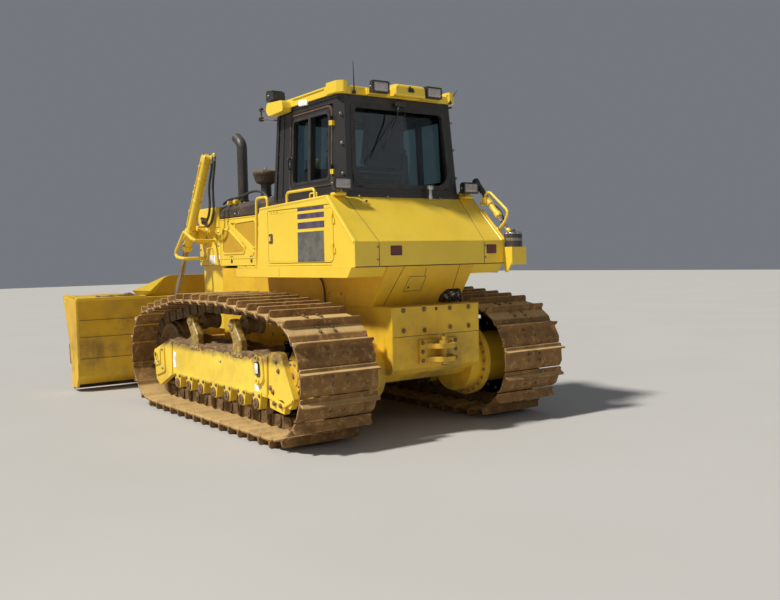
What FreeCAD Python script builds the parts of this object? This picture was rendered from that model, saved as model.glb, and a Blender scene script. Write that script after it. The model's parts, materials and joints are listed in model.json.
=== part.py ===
import FreeCAD, Part
import math
import os

# Crawler bulldozer with an inside-mounted power angle and tilt blade.
# Millimetres. X points forward, Y to the machine's left, Z up from the ground.
# While it is modelled X is counted from the sprocket's centre.
# At the end everything is slid along X so that the origin lies under the middle of the whole machine.

Vector = FreeCAD.Vector
AXIS_X = Vector(1, 0, 0)
AXIS_Y = Vector(0, 1, 0)
AXIS_Z = Vector(0, 0, 1)

# Clearances
RUNNING_GAP = 8.0
SEAT_GAP = 0.3
PANEL_GAP = 6.0
BORE_GAP = 0.5
ROD_GAP = 0.4
HINGE_RADIUS = 9.0
HINGE_LENGTH = 44.0
HINGE_LEAF = 34.0

# Crawler chain
GAUGE = 2230.0
SHOE_WIDTH = 760.0
LINK_PITCH = 203.2
TRACK_ON_GROUND = 2970.0
GROUSER_HEIGHT = 65.0
GROUSER_BASE = 30.0
GROUSER_PLACE = 137.0
PIN_TO_SHOE_TOP = 90.0
SHOE_THICKNESS = 14.0
SHOE_GAP = 6.0
SHOE_NOTCH = 10.0
RAIL_BELOW_PIN = 55.0
RAIL_INTO_SHOE = 4.0
RAIL_WIDTH = 46.0
RAIL_OFFSET = 72.0

# Sprocket, idler and rollers
SPROCKET_TEETH = 27
BUSHING_RADIUS = 33.0
TOOTH_ABOVE_PIN = 18.0
TOOTH_TIP_WIDTH = 16.0
SPROCKET_WIDTH = 76.0
SPROCKET_HUB_RADIUS = 250.0
IDLER_TREAD_RADIUS = 350.0
IDLER_RIM = 45.0
IDLER_WEB = 50.0
IDLER_HUB_RADIUS = 95.0
ROLLER_COUNT = 7
ROLLER_RADIUS = 100.0
ROLLER_CHEEK = 21.0
ROLLER_SHAFT_RADIUS = 40.0
ROLLER_LEG = 95.0
FIRST_ROLLER_X = 560.0
LAST_ROLLER_TO_IDLER = 505.0
CARRIER_RADIUS = 90.0
CARRIER_Z = 990.0
CARRIER_X = (1040.0, TRACK_ON_GROUND - 930.0)
CARRIER_SHAFT_RADIUS = 38.0

# Track frame
FRAME_HALF_WIDTH = 215.0
FRAME_PLATE = 60.0
FRAME_LOW = 382.0
FRAME_HIGH = 752.0
FRAME_REAR = 430.0
FRAME_FRONT_TO_IDLER = 266.0
BEAM_TOP = 760.0
YOKE_PAST_IDLER = 165.0
YOKE_LOW = 225.0
PIVOT_SHAFT_X = 700.0
PIVOT_SHAFT_RADIUS = 75.0
EQUALISER_X = 1430.0
EQUALISER_Z = 560.0
EQUALISER_HEIGHT = 150.0
EQUALISER_LENGTH = 130.0
FINAL_DRIVE_RADIUS = 300.0
FINAL_DRIVE_FLANGE = 350.0
FINAL_DRIVE_INNER = 640.0

# Hull
HULL_HALF_WIDTH = 500.0
HULL_LOW = 470.0
HULL_REAR = -282.0
HULL_FRONT = 3026.0
RECESS_X = -110.0
REAR_PLATE_X = -407.0
REAR_PLATE_LOW = 567.0
REAR_PLATE_HIGH = 1166.0
PAD_PROUD = 3.0
PAD_LOW = 905.0
HITCH_BASE_HALF = 220.0
HITCH_HALF = 115.0
HITCH_REACH = 165.0
HITCH_JAW = 42.0
HITCH_LOW = 640.0
HITCH_HIGH = 850.0
HITCH_PIN_RADIUS = 26.0

# Rear body and side boxes
BODY_HALF_WIDTH = 859.0
SIDE_BOX_WIDTH = 254.0
TANK_HALF_WIDTH = BODY_HALF_WIDTH - SIDE_BOX_WIDTH
BODY_REAR = -388.0
BODY_LOW = 1529.0
CREASE_Z = 1748.0
BODY_TOP = 2168.0
SLOPE_TOP_X = 43.0
TANK_FRONT = 190.0
FENDER_FRONT_TOP = 1339.0
FENDER_FRONT_LOW = 1421.0
FENDER_FRONT_DROP = 40.0
STRIP_PROUD = 13.0
STRIP_HALF_WIDTH = BODY_HALF_WIDTH + STRIP_PROUD
STRIP_LOW = 1441.0
STRIP_FRONT = 1885.0
STRIP_REAR = -284.0
STRIP_TAIL = 70.0
DOOR_REAR = -53.0
DOOR_FRONT = 1157.0
DOOR_LOW = 1578.0
DOOR_HIGH = 2085.0
DOOR_PLATE = 24.0
LOCKER_DEPTH = 170.0
DOOR_HINGES = (1700.0, 1960.0)

# Engine bay and nose
NOSE_HALF_WIDTH = 520.0
NOSE_LOWER_HALF = 470.0
NOSE_STEP_Z = 1560.0
NOSE_REAR = 3026.0
NOSE_FRONT = 3628.0
NOSE_LOW = 1180.0
NOSE_TOP = 2255.0
NOSE_WALL = 36.0
GUARD_RADIUS = 21.0
GUARD_BEND = 48.0
GUARD_REAR = (3085.0, 1858.0)
GUARD_TIP = (3375.0, 1978.0)
GUARD_TOE = (3729.0, 1687.0)
GUARD_FOOT = (3420.0, 1652.0)
HOOD_REAR = 1330.0
HOOD_LOW = 2118.0
HOOD_TOP_REAR = 2305.0
HOOD_TOP_FRONT = 2262.0
HOOD_CHAMFER = 60.0
PANEL_REAR = 2037.0
PANEL_FRONT = 3020.0
PANEL_LOW = 1555.0
PANEL_HIGH = 2108.0
PANEL_PLATE = 30.0
PANEL_HINGES = (1680.0, 1980.0)
ENGINE_HALF_WIDTH = 300.0
FAN_X = 3400.0
FAN_Z = 1740.0
FAN_RADIUS = 395.0
FAN_BLADES = 8
RADIATOR_REAR = 3150.0
RADIATOR_DEPTH = 130.0
GRILLE_DEPTH = 30.0
GRILLE_BAR = 12.0
GRILLE_BARS = 15
EXHAUST_X = 2946.0
EXHAUST_Y = 250.0
EXHAUST_RADIUS = 73.0
EXHAUST_COLLAR = 25.0
EXHAUST_TOP = 3123.0
EXHAUST_KNEE = 2985.0
CLEANER_X = 2375.0
CLEANER_RADIUS = 140.0
CLEANER_STACK = 75.0
CLEANER_TOP = 2639.0

# Cab
CAB_FLOOR_Z = BODY_TOP + SEAT_GAP
CAB_FLOOR_THICK = 34.0
CAB_REAR_LOW = 35.0
CAB_REAR_HIGH = 110.0
CAB_FRONT_LOW = 1308.0
CAB_FRONT_HIGH = 1240.0
CAB_HALF_LOW = 690.0
CAB_HALF_HIGH = 655.0
CAB_WALL = 70.0
CAB_SILL = 2330.0
CAB_HEAD = 2965.0
CAB_HEADER = 130.0
CAB_TOP_Z = CAB_HEAD + CAB_HEADER
REAR_WINDOW_LOW = 2262.0
REAR_WINDOW_HALF_LOW = 565.0
REAR_WINDOW_HALF_HIGH = 530.0
CAB_DOOR_FRONT = 1010.0
CAB_DOOR_REAR = 215.0
CAB_DOOR_BAR_X = 629.0
CAB_DOOR_RAIL = 55.0
CAB_HINGES = (CAB_SILL + 90.0, CAB_HEAD - 105.0)
CAB_SEAM = 62.0
GLASS_THICK = 6.0
ROOF_THICK = 85.0
ROOF_OVERHANG = 25.0
ROOF_TAIL = 30.0
CAP_WIDTH = 95.0
CAP_LENGTH = 230.0
CAP_PROUD = 10.0
CORNER_BOX_LENGTH = 330.0
CORNER_BOX_DROP = 55.0
CORNER_BOX_PROUD = 95.0
HUMP_REAR = -18.0
HUMP_LEFT = 105.0
HUMP_RIGHT = -225.0
ROOF_LAMP_Y = (282.0, -336.0)
LAMP_HALF = 92.0
LAMP_HEIGHT = 108.0
LAMP_DEPTH = 95.0
CORNER_LAMP_RISE = 92.0
LOW_LAMP_X = -60.0
LOW_LAMP_Z = 2216.0

# Handrails
RAIL_RADIUS = 13.0
RAIL_BEND = 45.0
BAR_SIDES = 8
PIPE_SIDES = 16
RAIL_INSET = 30.0
FOOT_GAP = 0.8
GRAB_FRONT = 812.0
GRAB_REAR = 295.0
GRAB_TOP = 2250.0
STEP_RAIL_FOOT = 1490.0
STEP_RAIL_REAR = 1215.0
STEP_RAIL_TOP = 2240.0

# Right rear corner
CANISTER_PLACE = (-414.0, -BODY_HALF_WIDTH - 99.0)
CANISTER_RADIUS = 86.0
CANISTER_LOW = 1683.0
CANISTER_HIGH = 1823.0
BRACKET_LOW = 1441.0
STRAP_LENGTH = 420.0
CORNER_RAIL = ((-68.0, 2118.0), (-134.0, 2252.0), (-425.0, 2022.0), (-372.0, 1925.0), (-290.0, 1858.0))
JACK_TOP = (-112.0, -BODY_HALF_WIDTH - 46.0, 2150.0)
JACK_MIDDLE = (-262.0, -BODY_HALF_WIDTH - 56.0, 1990.0)
JACK_FOOT = (-392.0, -BODY_HALF_WIDTH - 66.0, 1836.0)
ROD_BREAK = 6.0
JACK_RADIUS = 27.0

# Blade gear
LIFT_PIVOT_X = 1900.0
LIFT_PIVOT_Z = 600.0
LIFT_PIN_RADIUS = 55.0
ARM_INNER = 545.0
ARM_THICK = 120.0
ARM_DEPTH = 190.0
ARM_FRONT = 4000.0
ARM_FRONT_Z = 560.0
CROSS_REAR = 3830.0
NECK_HALF = 55.0
YOKE_AXIS_X = 4300.0
YOKE_AXIS_Z = 470.0
NECK_EYE_RADIUS = 105.0
NECK_EYE_HEIGHT = 130.0
YOKE_BRIDGE_HALF = 120.0
YOKE_BRIDGE = 45.0
YOKE_PIN_RADIUS = 55.0
YOKE_CHEEK = 40.0
TILT_PIN_RADIUS = 60.0
TILT_PIN_FRONT = 4640.0
YOKE_WEB_X = 4556.0
YOKE_WEB = 16.0
YOKE_BEAM_REAR = 4440.0
YOKE_BEAM_HALF = 440.0
YOKE_HALF = 625.0
YOKE_PLATE = 18.0
BLADE_WIDTH = 3580.0
BLADE_BACK = 4580.0
BLADE_TOP = 1165.0
BLADE_LOW = 90.0
END_PLATE = 32.0
END_TOP_DEPTH = 585.0
END_TOP_RISE = 45.0
BOWL_DEPTH = 120.0
EDGE_CLEAR = 12.0
EDGE_THICK = 28.0
EDGE_REACH = 345.0
GUARD_HALF_LOW = 880.0
GUARD_HALF_HIGH = 515.0
GUARD_TOP = 1438.0

# Hydraulic cylinders
TRUNNION_X = 3446.0
TRUNNION_Z = 1938.0
TRUNNION_RADIUS = 38.0
TRUNNION_BLOCK = 100.0
TRUNNION_COLLAR = 8.0
LIFT_Y = 720.0
LIFT_EYE_X = 4100.0
LIFT_EYE_Z = 951.0
LIFT_EYE_RADIUS = 60.0
LIFT_EYE_WIDTH = 64.0
LIFT_EAR = 18.0
LIFT_TUBE_RADIUS = 62.0
LIFT_ROD_RADIUS = 35.0
LIFT_TUBE_ABOVE = 1057.0
LIFT_TUBE_BELOW = 210.0
LIFT_ROD_INSIDE = -197.0
ANGLE_REAR_X = 3560.0
ANGLE_REAR_Y = 580.0
ANGLE_EYE_X = 4480.0
ANGLE_EYE_Y = 560.0
ANGLE_Z = 740.0
ANGLE_EYE_RADIUS = 42.0
ANGLE_EYE_WIDTH = 72.0
ANGLE_PIN_RADIUS = 24.0
ANGLE_TUBE_RADIUS = 46.0
ANGLE_ROD_RADIUS = 26.0
ANGLE_TUBE_START = 35.0
ANGLE_TUBE_END = 580.0
ANGLE_ROD_INSIDE = 300.0
TILT_REAR_Y = -150.0
TILT_EYE_Y = 520.0
TILT_X = 4436.0
TILT_Z = 1010.0
TILT_EYE_RADIUS = 40.0
TILT_EYE_WIDTH = 60.0
TILT_PIVOT_RADIUS = 24.0
TILT_TUBE_RADIUS = 46.0
TILT_ROD_RADIUS = 26.0
TILT_TUBE_START = 33.0
TILT_TUBE_END = 470.0
TILT_ROD_INSIDE = 260.0
TUBE_CAP = 40.0
TUBE_COLLAR = 6.0


def on_xz(a, b):
    return Vector(a, 0, b)


def on_xy(a, b):
    return Vector(a, b, 0)


def on_yz(a, b):
    return Vector(0, a, b)


def corner_cut(before, here, after, radius):
    """The two tangent points and the middle of a corner's arc."""
    towards_before = (before - here).normalize()
    towards_after = (after - here).normalize()
    half = towards_before.getAngle(towards_after) / 2
    reach = radius / math.tan(half)
    middle = (towards_before + towards_after).normalize() * (radius / math.sin(half) - radius)
    return here + towards_before * reach, here + middle, here + towards_after * reach


def outline(points, place):
    """A closed wire through corners (a, b) or (a, b, corner radius)."""
    places = [place(point[0], point[1]) for point in points]
    ends = []
    edges = []
    for index, point in enumerate(points):
        here = places[index]
        if len(point) == 2:
            ends.append((here, here))
            continue
        after = places[(index + 1) % len(points)]
        first, middle, last = corner_cut(places[index - 1], here, after, point[2])
        edges.append(Part.Arc(first, middle, last).toShape())
        ends.append((first, last))
    for index in range(len(points)):
        start = ends[index - 1][1]
        stop = ends[index][0]
        if start.distanceToPoint(stop) > 0.001:
            edges.append(Part.LineSegment(start, stop).toShape())
    return Part.Wire(Part.__sortEdges__(edges))


def prism(points, place, direction, low, high):
    face = Part.Face(outline(points, place))
    face.translate(direction * low)
    return face.extrude(direction * (high - low))


def prism_x(points, low, high):
    return prism(points, on_yz, AXIS_X, low, high)


def prism_y(points, low, high):
    return prism(points, on_xz, AXIS_Y, low, high)


def prism_z(points, low, high):
    return prism(points, on_xy, AXIS_Z, low, high)


def box(x_low, x_high, y_low, y_high, z_low, z_high):
    corner = Vector(x_low, y_low, z_low)
    return Part.makeBox(x_high - x_low, y_high - y_low, z_high - z_low, corner)


def round_bar(start, stop, radius):
    start = Vector(*start)
    run = Vector(*stop) - start
    return Part.makeCylinder(radius, run.Length, start, run)


def flat_ring(centre, direction, radius, sides):
    """Regular polygon round a centre, square to a direction."""
    across = direction.cross(AXIS_Z if abs(direction.normalize().z) < 0.9 else AXIS_X).normalize()
    up = direction.cross(across)
    corners = []
    for index in range(sides):
        angle = 2 * math.pi * (index + 0.5) / sides
        corners.append(centre + across * (radius * math.cos(angle)) + up * (radius * math.sin(angle)))
    return Part.makePolygon(corners + corners[:1])


def bent_bar(points, radius, bend, sides=BAR_SIDES):
    """A bar with flats all round along straight runs; each bend is drawn as two chords."""
    places = [Vector(*point) for point in points]
    path = [places[0]]
    for before, here, after in zip(places, places[1:], places[2:]):
        path += corner_cut(before, here, after, bend)
    path.append(places[-1])
    ring = flat_ring(path[0], path[1] - path[0], radius, sides)
    return Part.makePolygon(path).makePipeShell([ring], True, False, 1)


def spun(points, centre_x, centre_y, centre_z):
    """A solid of revolution about a line along Y; points are (radius, y)."""
    face = Part.Face(outline([(point[0], point[1]) for point in points], on_xy))
    solid = face.revolve(Vector(0, 0, 0), AXIS_Y, 360)
    solid.translate(Vector(centre_x, centre_y, centre_z))
    return solid


def joined(shapes):
    solid = shapes[0]
    if len(shapes) > 1:
        solid = shapes[0].multiFuse(shapes[1:])
    return solid.removeSplitter()


def group(shapes):
    return Part.makeCompound(shapes)


def mirror(shape):
    return shape.mirror(Vector(0, 0, 0), AXIS_Y)


def both(shape):
    return group([shape, mirror(shape)])


# Crawler chain: the pins lie on a belt round the sprocket, two carrier rollers and the idler

TRACK_Y = GAUGE / 2
PIN_GROUND_Z = GROUSER_HEIGHT + PIN_TO_SHOE_TOP
PITCH_TURN = 4 * math.pi / SPROCKET_TEETH
SPROCKET_PIN_RADIUS = LINK_PITCH / 2 / math.sin(PITCH_TURN / 2)
SPROCKET_Z = PIN_GROUND_Z + SPROCKET_PIN_RADIUS
IDLER_PIN_RADIUS = math.hypot(IDLER_TREAD_RADIUS + RAIL_BELOW_PIN, LINK_PITCH / 2)
IDLER_Z = PIN_GROUND_Z + IDLER_PIN_RADIUS
CARRIER_PIN_RADIUS = CARRIER_RADIUS + RAIL_BELOW_PIN
ROLLER_Z = PIN_GROUND_Z + RAIL_BELOW_PIN + ROLLER_RADIUS


def belt(idler_x):
    """Arcs and lines of the pins' path, each as (length counted in links, function of its share)."""
    wheels = [(0.0, SPROCKET_Z, SPROCKET_PIN_RADIUS)]
    wheels += [(x, CARRIER_Z, CARRIER_PIN_RADIUS) for x in CARRIER_X]
    wheels += [(idler_x, IDLER_Z, IDLER_PIN_RADIUS)]
    headings = []
    for index, (x, z, radius) in enumerate(wheels):
        next_x, next_z, next_radius = wheels[(index + 1) % len(wheels)]
        distance = math.hypot(next_x - x, next_z - z)
        bearing = math.atan2(next_z - z, next_x - x)
        headings.append((bearing - math.asin((radius - next_radius) / distance), distance))
    stretches = []
    for index, (x, z, radius) in enumerate(wheels):
        arriving = headings[index - 1][0]
        leaving, distance = headings[index]
        turn = (arriving - leaving) % (2 * math.pi)
        link_turn = 2 * math.asin(min(1.0, LINK_PITCH / 2 / radius))

        def arc(share, x=x, z=z, radius=radius, arriving=arriving, turn=turn):
            angle = arriving + math.pi / 2 - turn * share
            return x + radius * math.cos(angle), z + radius * math.sin(angle)

        next_x, next_z, next_radius = wheels[(index + 1) % len(wheels)]
        side = (-math.sin(leaving), math.cos(leaving))
        start = (x + radius * side[0], z + radius * side[1])
        stop = (next_x + next_radius * side[0], next_z + next_radius * side[1])

        def line(share, start=start, stop=stop):
            return start[0] + (stop[0] - start[0]) * share, start[1] + (stop[1] - start[1]) * share

        stretches.append((turn / link_turn, arc))
        stretches.append((math.hypot(stop[0] - start[0], stop[1] - start[1]) / LINK_PITCH, line))
    return stretches


def belt_links(idler_x):
    return sum(length for length, place in belt(idler_x))


LINK_COUNT = round(belt_links(TRACK_ON_GROUND))


def tensioned_idler():
    """The idler slides along its frame until a whole number of links closes the chain."""
    idler_x = TRACK_ON_GROUND
    for step in range(20):
        idler_x += (LINK_COUNT - belt_links(idler_x)) * LINK_PITCH / 2
    return idler_x


IDLER_X = tensioned_idler()
LAST_ROLLER_X = IDLER_X - LAST_ROLLER_TO_IDLER
FRAME_FRONT = IDLER_X - FRAME_FRONT_TO_IDLER
YOKE_FRONT = IDLER_X + YOKE_PAST_IDLER


def pin_places():
    """Each pin's (x, z), from the sprocket's lowest point round its rear."""
    stretches = belt(IDLER_X)
    places = []
    passed = 0.0
    index = 0
    for link in range(LINK_COUNT):
        while link > passed + stretches[index][0]:
            passed += stretches[index][0]
            index += 1
        length, place = stretches[index]
        places.append(place((link - passed) / length))
    return places


PINS = pin_places()


def shoe_outline(first, second):
    """Outer outline of one link's shoe: a plate with its grouser, and a notch before it."""
    lengthwise = Vector(second[0] - first[0], second[1] - first[1], 0).normalize()
    out = Vector(-lengthwise.y, lengthwise.x, 0)
    start = Vector(first[0], first[1], 0)
    top = PIN_TO_SHOE_TOP
    profile = [
        (0, top - SHOE_NOTCH), (SHOE_GAP, top), (GROUSER_PLACE, top),
        (GROUSER_PLACE + GROUSER_BASE / 2, top + GROUSER_HEIGHT), (GROUSER_PLACE + GROUSER_BASE, top),
        (LINK_PITCH - SHOE_GAP, top),
    ]
    places = [start + lengthwise * a + out * b for a, b in profile]
    return [(place.x, place.y) for place in places]


def offset_loop(distance):
    """The pins' polygon, moved outwards by a distance, with mitred corners."""
    places = []
    for index, here in enumerate(PINS):
        before = PINS[index - 1]
        after = PINS[(index + 1) % len(PINS)]
        first = Vector(here[0] - before[0], here[1] - before[1], 0).normalize()
        second = Vector(after[0] - here[0], after[1] - here[1], 0).normalize()
        out = Vector(-first.y - second.y, first.x + second.x, 0).normalize()
        reach = distance / math.cos(first.getAngle(second) / 2)
        places.append((here[0] + out.x * reach, here[1] + out.y * reach))
    return places


def loop_band(outer, inner, low, high):
    """A closed band between two polygons, from low to high across the track."""
    face = Part.Face(outline(outer, on_xz)).cut(Part.Face(outline(inner, on_xz)))
    face.translate(AXIS_Y * low)
    return face.extrude(AXIS_Y * (high - low))


def track():
    """The chain as one loop: all shoes in one outline, with two rows of link plates inside."""
    shoes = []
    for index, pin in enumerate(PINS):
        shoes += shoe_outline(pin, PINS[(index + 1) % LINK_COUNT])
    plate_inside = offset_loop(PIN_TO_SHOE_TOP - SHOE_THICKNESS)
    belt_of_shoes = loop_band(shoes, plate_inside, TRACK_Y - SHOE_WIDTH / 2, TRACK_Y + SHOE_WIDTH / 2)
    rail_outside = offset_loop(PIN_TO_SHOE_TOP - SHOE_THICKNESS + RAIL_INTO_SHOE)
    rail_inside = offset_loop(-RAIL_BELOW_PIN)
    rails = []
    for middle in (TRACK_Y - RAIL_OFFSET, TRACK_Y + RAIL_OFFSET):
        rails.append(loop_band(rail_outside, rail_inside, middle - RAIL_WIDTH / 2, middle + RAIL_WIDTH / 2))
    return belt_of_shoes.multiFuse(rails)


def sprocket():
    """Toothed ring on the final drive; a tooth stands between every two bushing seats."""
    step = 2 * math.pi / SPROCKET_TEETH
    root = SPROCKET_PIN_RADIUS - BUSHING_RADIUS - 1
    tip = SPROCKET_PIN_RADIUS + TOOTH_ABOVE_PIN
    half_gap = math.asin(BUSHING_RADIUS / SPROCKET_PIN_RADIUS)
    half_tip = TOOTH_TIP_WIDTH / 2 / tip
    points = []
    for tooth in range(SPROCKET_TEETH):
        middle = -math.pi / 2 + (tooth + 0.5) * step
        corners = [
            (root, middle - step / 2 + half_gap * 0.6),
            (tip, middle - half_tip),
            (tip, middle + half_tip),
            (root, middle + step / 2 - half_gap * 0.6),
        ]
        points += [(radius * math.cos(a), SPROCKET_Z + radius * math.sin(a)) for radius, a in corners]
    low = TRACK_Y - SPROCKET_WIDTH / 2
    return prism_y(points, low, low + SPROCKET_WIDTH)


def idler():
    """Smooth tread on both rails, with a deep dish outside the hub."""
    edge = RAIL_OFFSET + RAIL_WIDTH / 2 + 4
    tread = IDLER_TREAD_RADIUS - SEAT_GAP
    points = [
        (0.0, -edge),
        (tread, -edge), (tread, edge), (tread - IDLER_RIM, edge), (tread - IDLER_RIM, IDLER_WEB / 2),
        (IDLER_HUB_RADIUS, IDLER_WEB / 2), (IDLER_HUB_RADIUS, edge), (0.0, edge),
    ]
    return spun(points, IDLER_X, TRACK_Y, IDLER_Z)


def roller(x):
    """A track roller between the square end collars of its shaft, which reach to the frame's side plates."""
    cheek = RAIL_OFFSET + RAIL_WIDTH / 2 + ROLLER_CHEEK
    seat = FRAME_HALF_WIDTH - FRAME_PLATE - SEAT_GAP
    half = ROLLER_SHAFT_RADIUS
    ring = flat_ring(
        Vector(x, TRACK_Y - cheek, ROLLER_Z), Vector(0, 1, 0), ROLLER_RADIUS - SEAT_GAP, PIPE_SIDES)
    drum = Part.Face(ring).extrude(AXIS_Y * (2 * cheek))
    shaft = box(x - half, x + half, TRACK_Y - seat, TRACK_Y + seat, ROLLER_Z - half, ROLLER_Z + half)
    return joined([drum, shaft])


def roller_places():
    step = (LAST_ROLLER_X - FIRST_ROLLER_X) / (ROLLER_COUNT - 1)
    return [FIRST_ROLLER_X + step * index for index in range(ROLLER_COUNT)]


def track_rollers():
    """All lower and upper rollers of one side."""
    return group([roller(x) for x in roller_places()] + [carrier_roller(x) for x in CARRIER_X])


def rail_height(x):
    """Distance from a carrier roller's axis to the nearest link plate above it."""
    inner = offset_loop(-RAIL_BELOW_PIN)
    nearest = CARRIER_RADIUS
    for index, after in enumerate(inner):
        before = inner[index - 1]
        run = Vector(after[0] - before[0], after[1] - before[1], 0)
        to_axis = Vector(x - before[0], CARRIER_Z - before[1], 0)
        share = min(1.0, max(0.0, to_axis.dot(run) / run.dot(run)))
        nearest = min(nearest, (to_axis - run * share).Length)
    return nearest


def carrier_roller(x):
    """Upper roller on a shaft held at its outer end only."""
    edge = RAIL_OFFSET + RAIL_WIDTH / 2 + 3
    tread = rail_height(x) - SEAT_GAP
    arm = FRAME_HALF_WIDTH - FRAME_PLATE - SEAT_GAP
    points = [
        (0.0, -edge), (tread, -edge), (tread, edge), (CARRIER_SHAFT_RADIUS, edge),
        (CARRIER_SHAFT_RADIUS, arm), (0.0, arm),
    ]
    return spun(points, x, TRACK_Y, CARRIER_Z)


def front_yoke():
    """Corners of a side plate from its top edge round the idler's axle to its lower edge."""
    return [
        (FRAME_FRONT, FRAME_HIGH),
        (IDLER_X - 120, 715), (YOKE_FRONT, IDLER_Z + 60, 90), (YOKE_FRONT, YOKE_LOW + 60),
        (YOKE_FRONT - 110, YOKE_LOW), (IDLER_X - 180, FRAME_LOW - 60), (FRAME_FRONT - 60, FRAME_LOW),
    ]


def track_frame():
    """Box beam between two side plates, with roller legs, the sprocket guard and the carrier rollers' arms."""
    plate_low = FRAME_HALF_WIDTH - FRAME_PLATE
    guard = [
        (FRAME_REAR - 86, FRAME_LOW),
        (FRAME_LOW - 290, FRAME_LOW + 8), (-36, 325), (-120, 400, 40), (110, 801, 60),
        (250, 801, 40), (FRAME_REAR, FRAME_HIGH),
    ]
    outer = prism_y(guard + front_yoke(), TRACK_Y + plate_low, TRACK_Y + FRAME_HALF_WIDTH)
    inner_profile = [(FRAME_REAR, FRAME_LOW), (FRAME_REAR, FRAME_HIGH)] + front_yoke()
    inner = prism_y(inner_profile, TRACK_Y - FRAME_HALF_WIDTH, TRACK_Y - plate_low)
    beam_low = ROLLER_Z + ROLLER_RADIUS + RUNNING_GAP
    beam_rear = SPROCKET_PIN_RADIUS + TOOTH_ABOVE_PIN + RUNNING_GAP
    beam_front = IDLER_X - IDLER_TREAD_RADIUS - RUNNING_GAP
    beam = box(beam_rear, beam_front, TRACK_Y - plate_low, TRACK_Y + plate_low, beam_low, BEAM_TOP - 40)
    pieces = [outer, inner, beam]
    leg_low = ROLLER_Z - ROLLER_SHAFT_RADIUS - 8
    for x in roller_places():
        leg = [
            (x - ROLLER_LEG, FRAME_LOW + 20),
            (x - ROLLER_LEG * 0.6, leg_low), (x + ROLLER_LEG * 0.6, leg_low),
            (x + ROLLER_LEG, FRAME_LOW + 20),
        ]
        pieces.append(prism_y(leg, TRACK_Y + plate_low, TRACK_Y + FRAME_HALF_WIDTH))
        pieces.append(prism_y(leg, TRACK_Y - FRAME_HALF_WIDTH, TRACK_Y - plate_low))
    for x in CARRIER_X:
        pieces.append(carrier_arm(x, plate_low))
    yoke_axle = round_bar(
        (IDLER_X, TRACK_Y - plate_low, IDLER_Z), (IDLER_X, TRACK_Y + plate_low, IDLER_Z), 42)
    return joined(pieces + yoke_axle_stubs(yoke_axle))


def yoke_axle_stubs(axle):
    """The idler's axle shows only between its hub and the yoke's plates."""
    edge = RAIL_OFFSET + RAIL_WIDTH / 2 + 4 + SEAT_GAP
    hub = box(IDLER_X - 60, IDLER_X + 60, TRACK_Y - edge, TRACK_Y + edge, IDLER_Z - 60, IDLER_Z + 60)
    return axle.cut(hub).Solids


def carrier_arm(x, plate_low):
    """Curved arm that leans forward from the frame to the carrier roller's shaft."""
    root_x = x - 165
    arm = [
        (root_x, FRAME_HIGH - 30),
        (root_x + 12, 860, 60), (x - 50, CARRIER_Z - 10), (x - 40, CARRIER_Z + 55),
        (x + 62, CARRIER_Z + 55),
        (x + 58, CARRIER_Z - 40), (root_x + 150, 850, 70), (root_x + 165, FRAME_HIGH - 30),
    ]
    return prism_y(arm, TRACK_Y + plate_low, TRACK_Y + plate_low + FRAME_PLATE)


def final_drive():
    """Round case from the hull's side to the sprocket, with a flange, and the sprocket's outer cover."""
    inner = FINAL_DRIVE_INNER
    sprocket_side = TRACK_Y - SPROCKET_WIDTH / 2 - SEAT_GAP
    points = [
        (0.0, HULL_HALF_WIDTH), (FINAL_DRIVE_RADIUS, HULL_HALF_WIDTH), (FINAL_DRIVE_RADIUS, inner),
        (FINAL_DRIVE_FLANGE, inner), (FINAL_DRIVE_FLANGE, inner + 60), (SPROCKET_HUB_RADIUS, inner + 60),
        (SPROCKET_HUB_RADIUS, sprocket_side), (0.0, sprocket_side),
    ]
    outer_side = TRACK_Y + SPROCKET_WIDTH / 2 + SEAT_GAP
    cover_end = TRACK_Y + FRAME_HALF_WIDTH - FRAME_PLATE - SEAT_GAP
    cover = [
        (0.0, outer_side), (SPROCKET_HUB_RADIUS, outer_side), (SPROCKET_HUB_RADIUS, outer_side + 30),
        (SPROCKET_HUB_RADIUS - 110, outer_side + 30),
        (SPROCKET_HUB_RADIUS - 110, cover_end), (0.0, cover_end),
    ]
    return [spun(points, 0, 0, SPROCKET_Z), spun(cover, 0, 0, SPROCKET_Z)]


def axles():
    """Pivot shafts and the equaliser bar that carry the track frames on the hull."""
    frame_inner = TRACK_Y - FRAME_HALF_WIDTH
    shaft = round_bar((PIVOT_SHAFT_X, HULL_HALF_WIDTH, SPROCKET_Z), (PIVOT_SHAFT_X, frame_inner,
        SPROCKET_Z), PIVOT_SHAFT_RADIUS)
    bar = box(
        EQUALISER_X - EQUALISER_LENGTH / 2, EQUALISER_X + EQUALISER_LENGTH / 2, HULL_HALF_WIDTH,
        frame_inner,
        EQUALISER_Z - EQUALISER_HEIGHT / 2, EQUALISER_Z + EQUALISER_HEIGHT / 2,
    )
    return group([shaft, bar, mirror(shaft), mirror(bar)])


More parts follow.
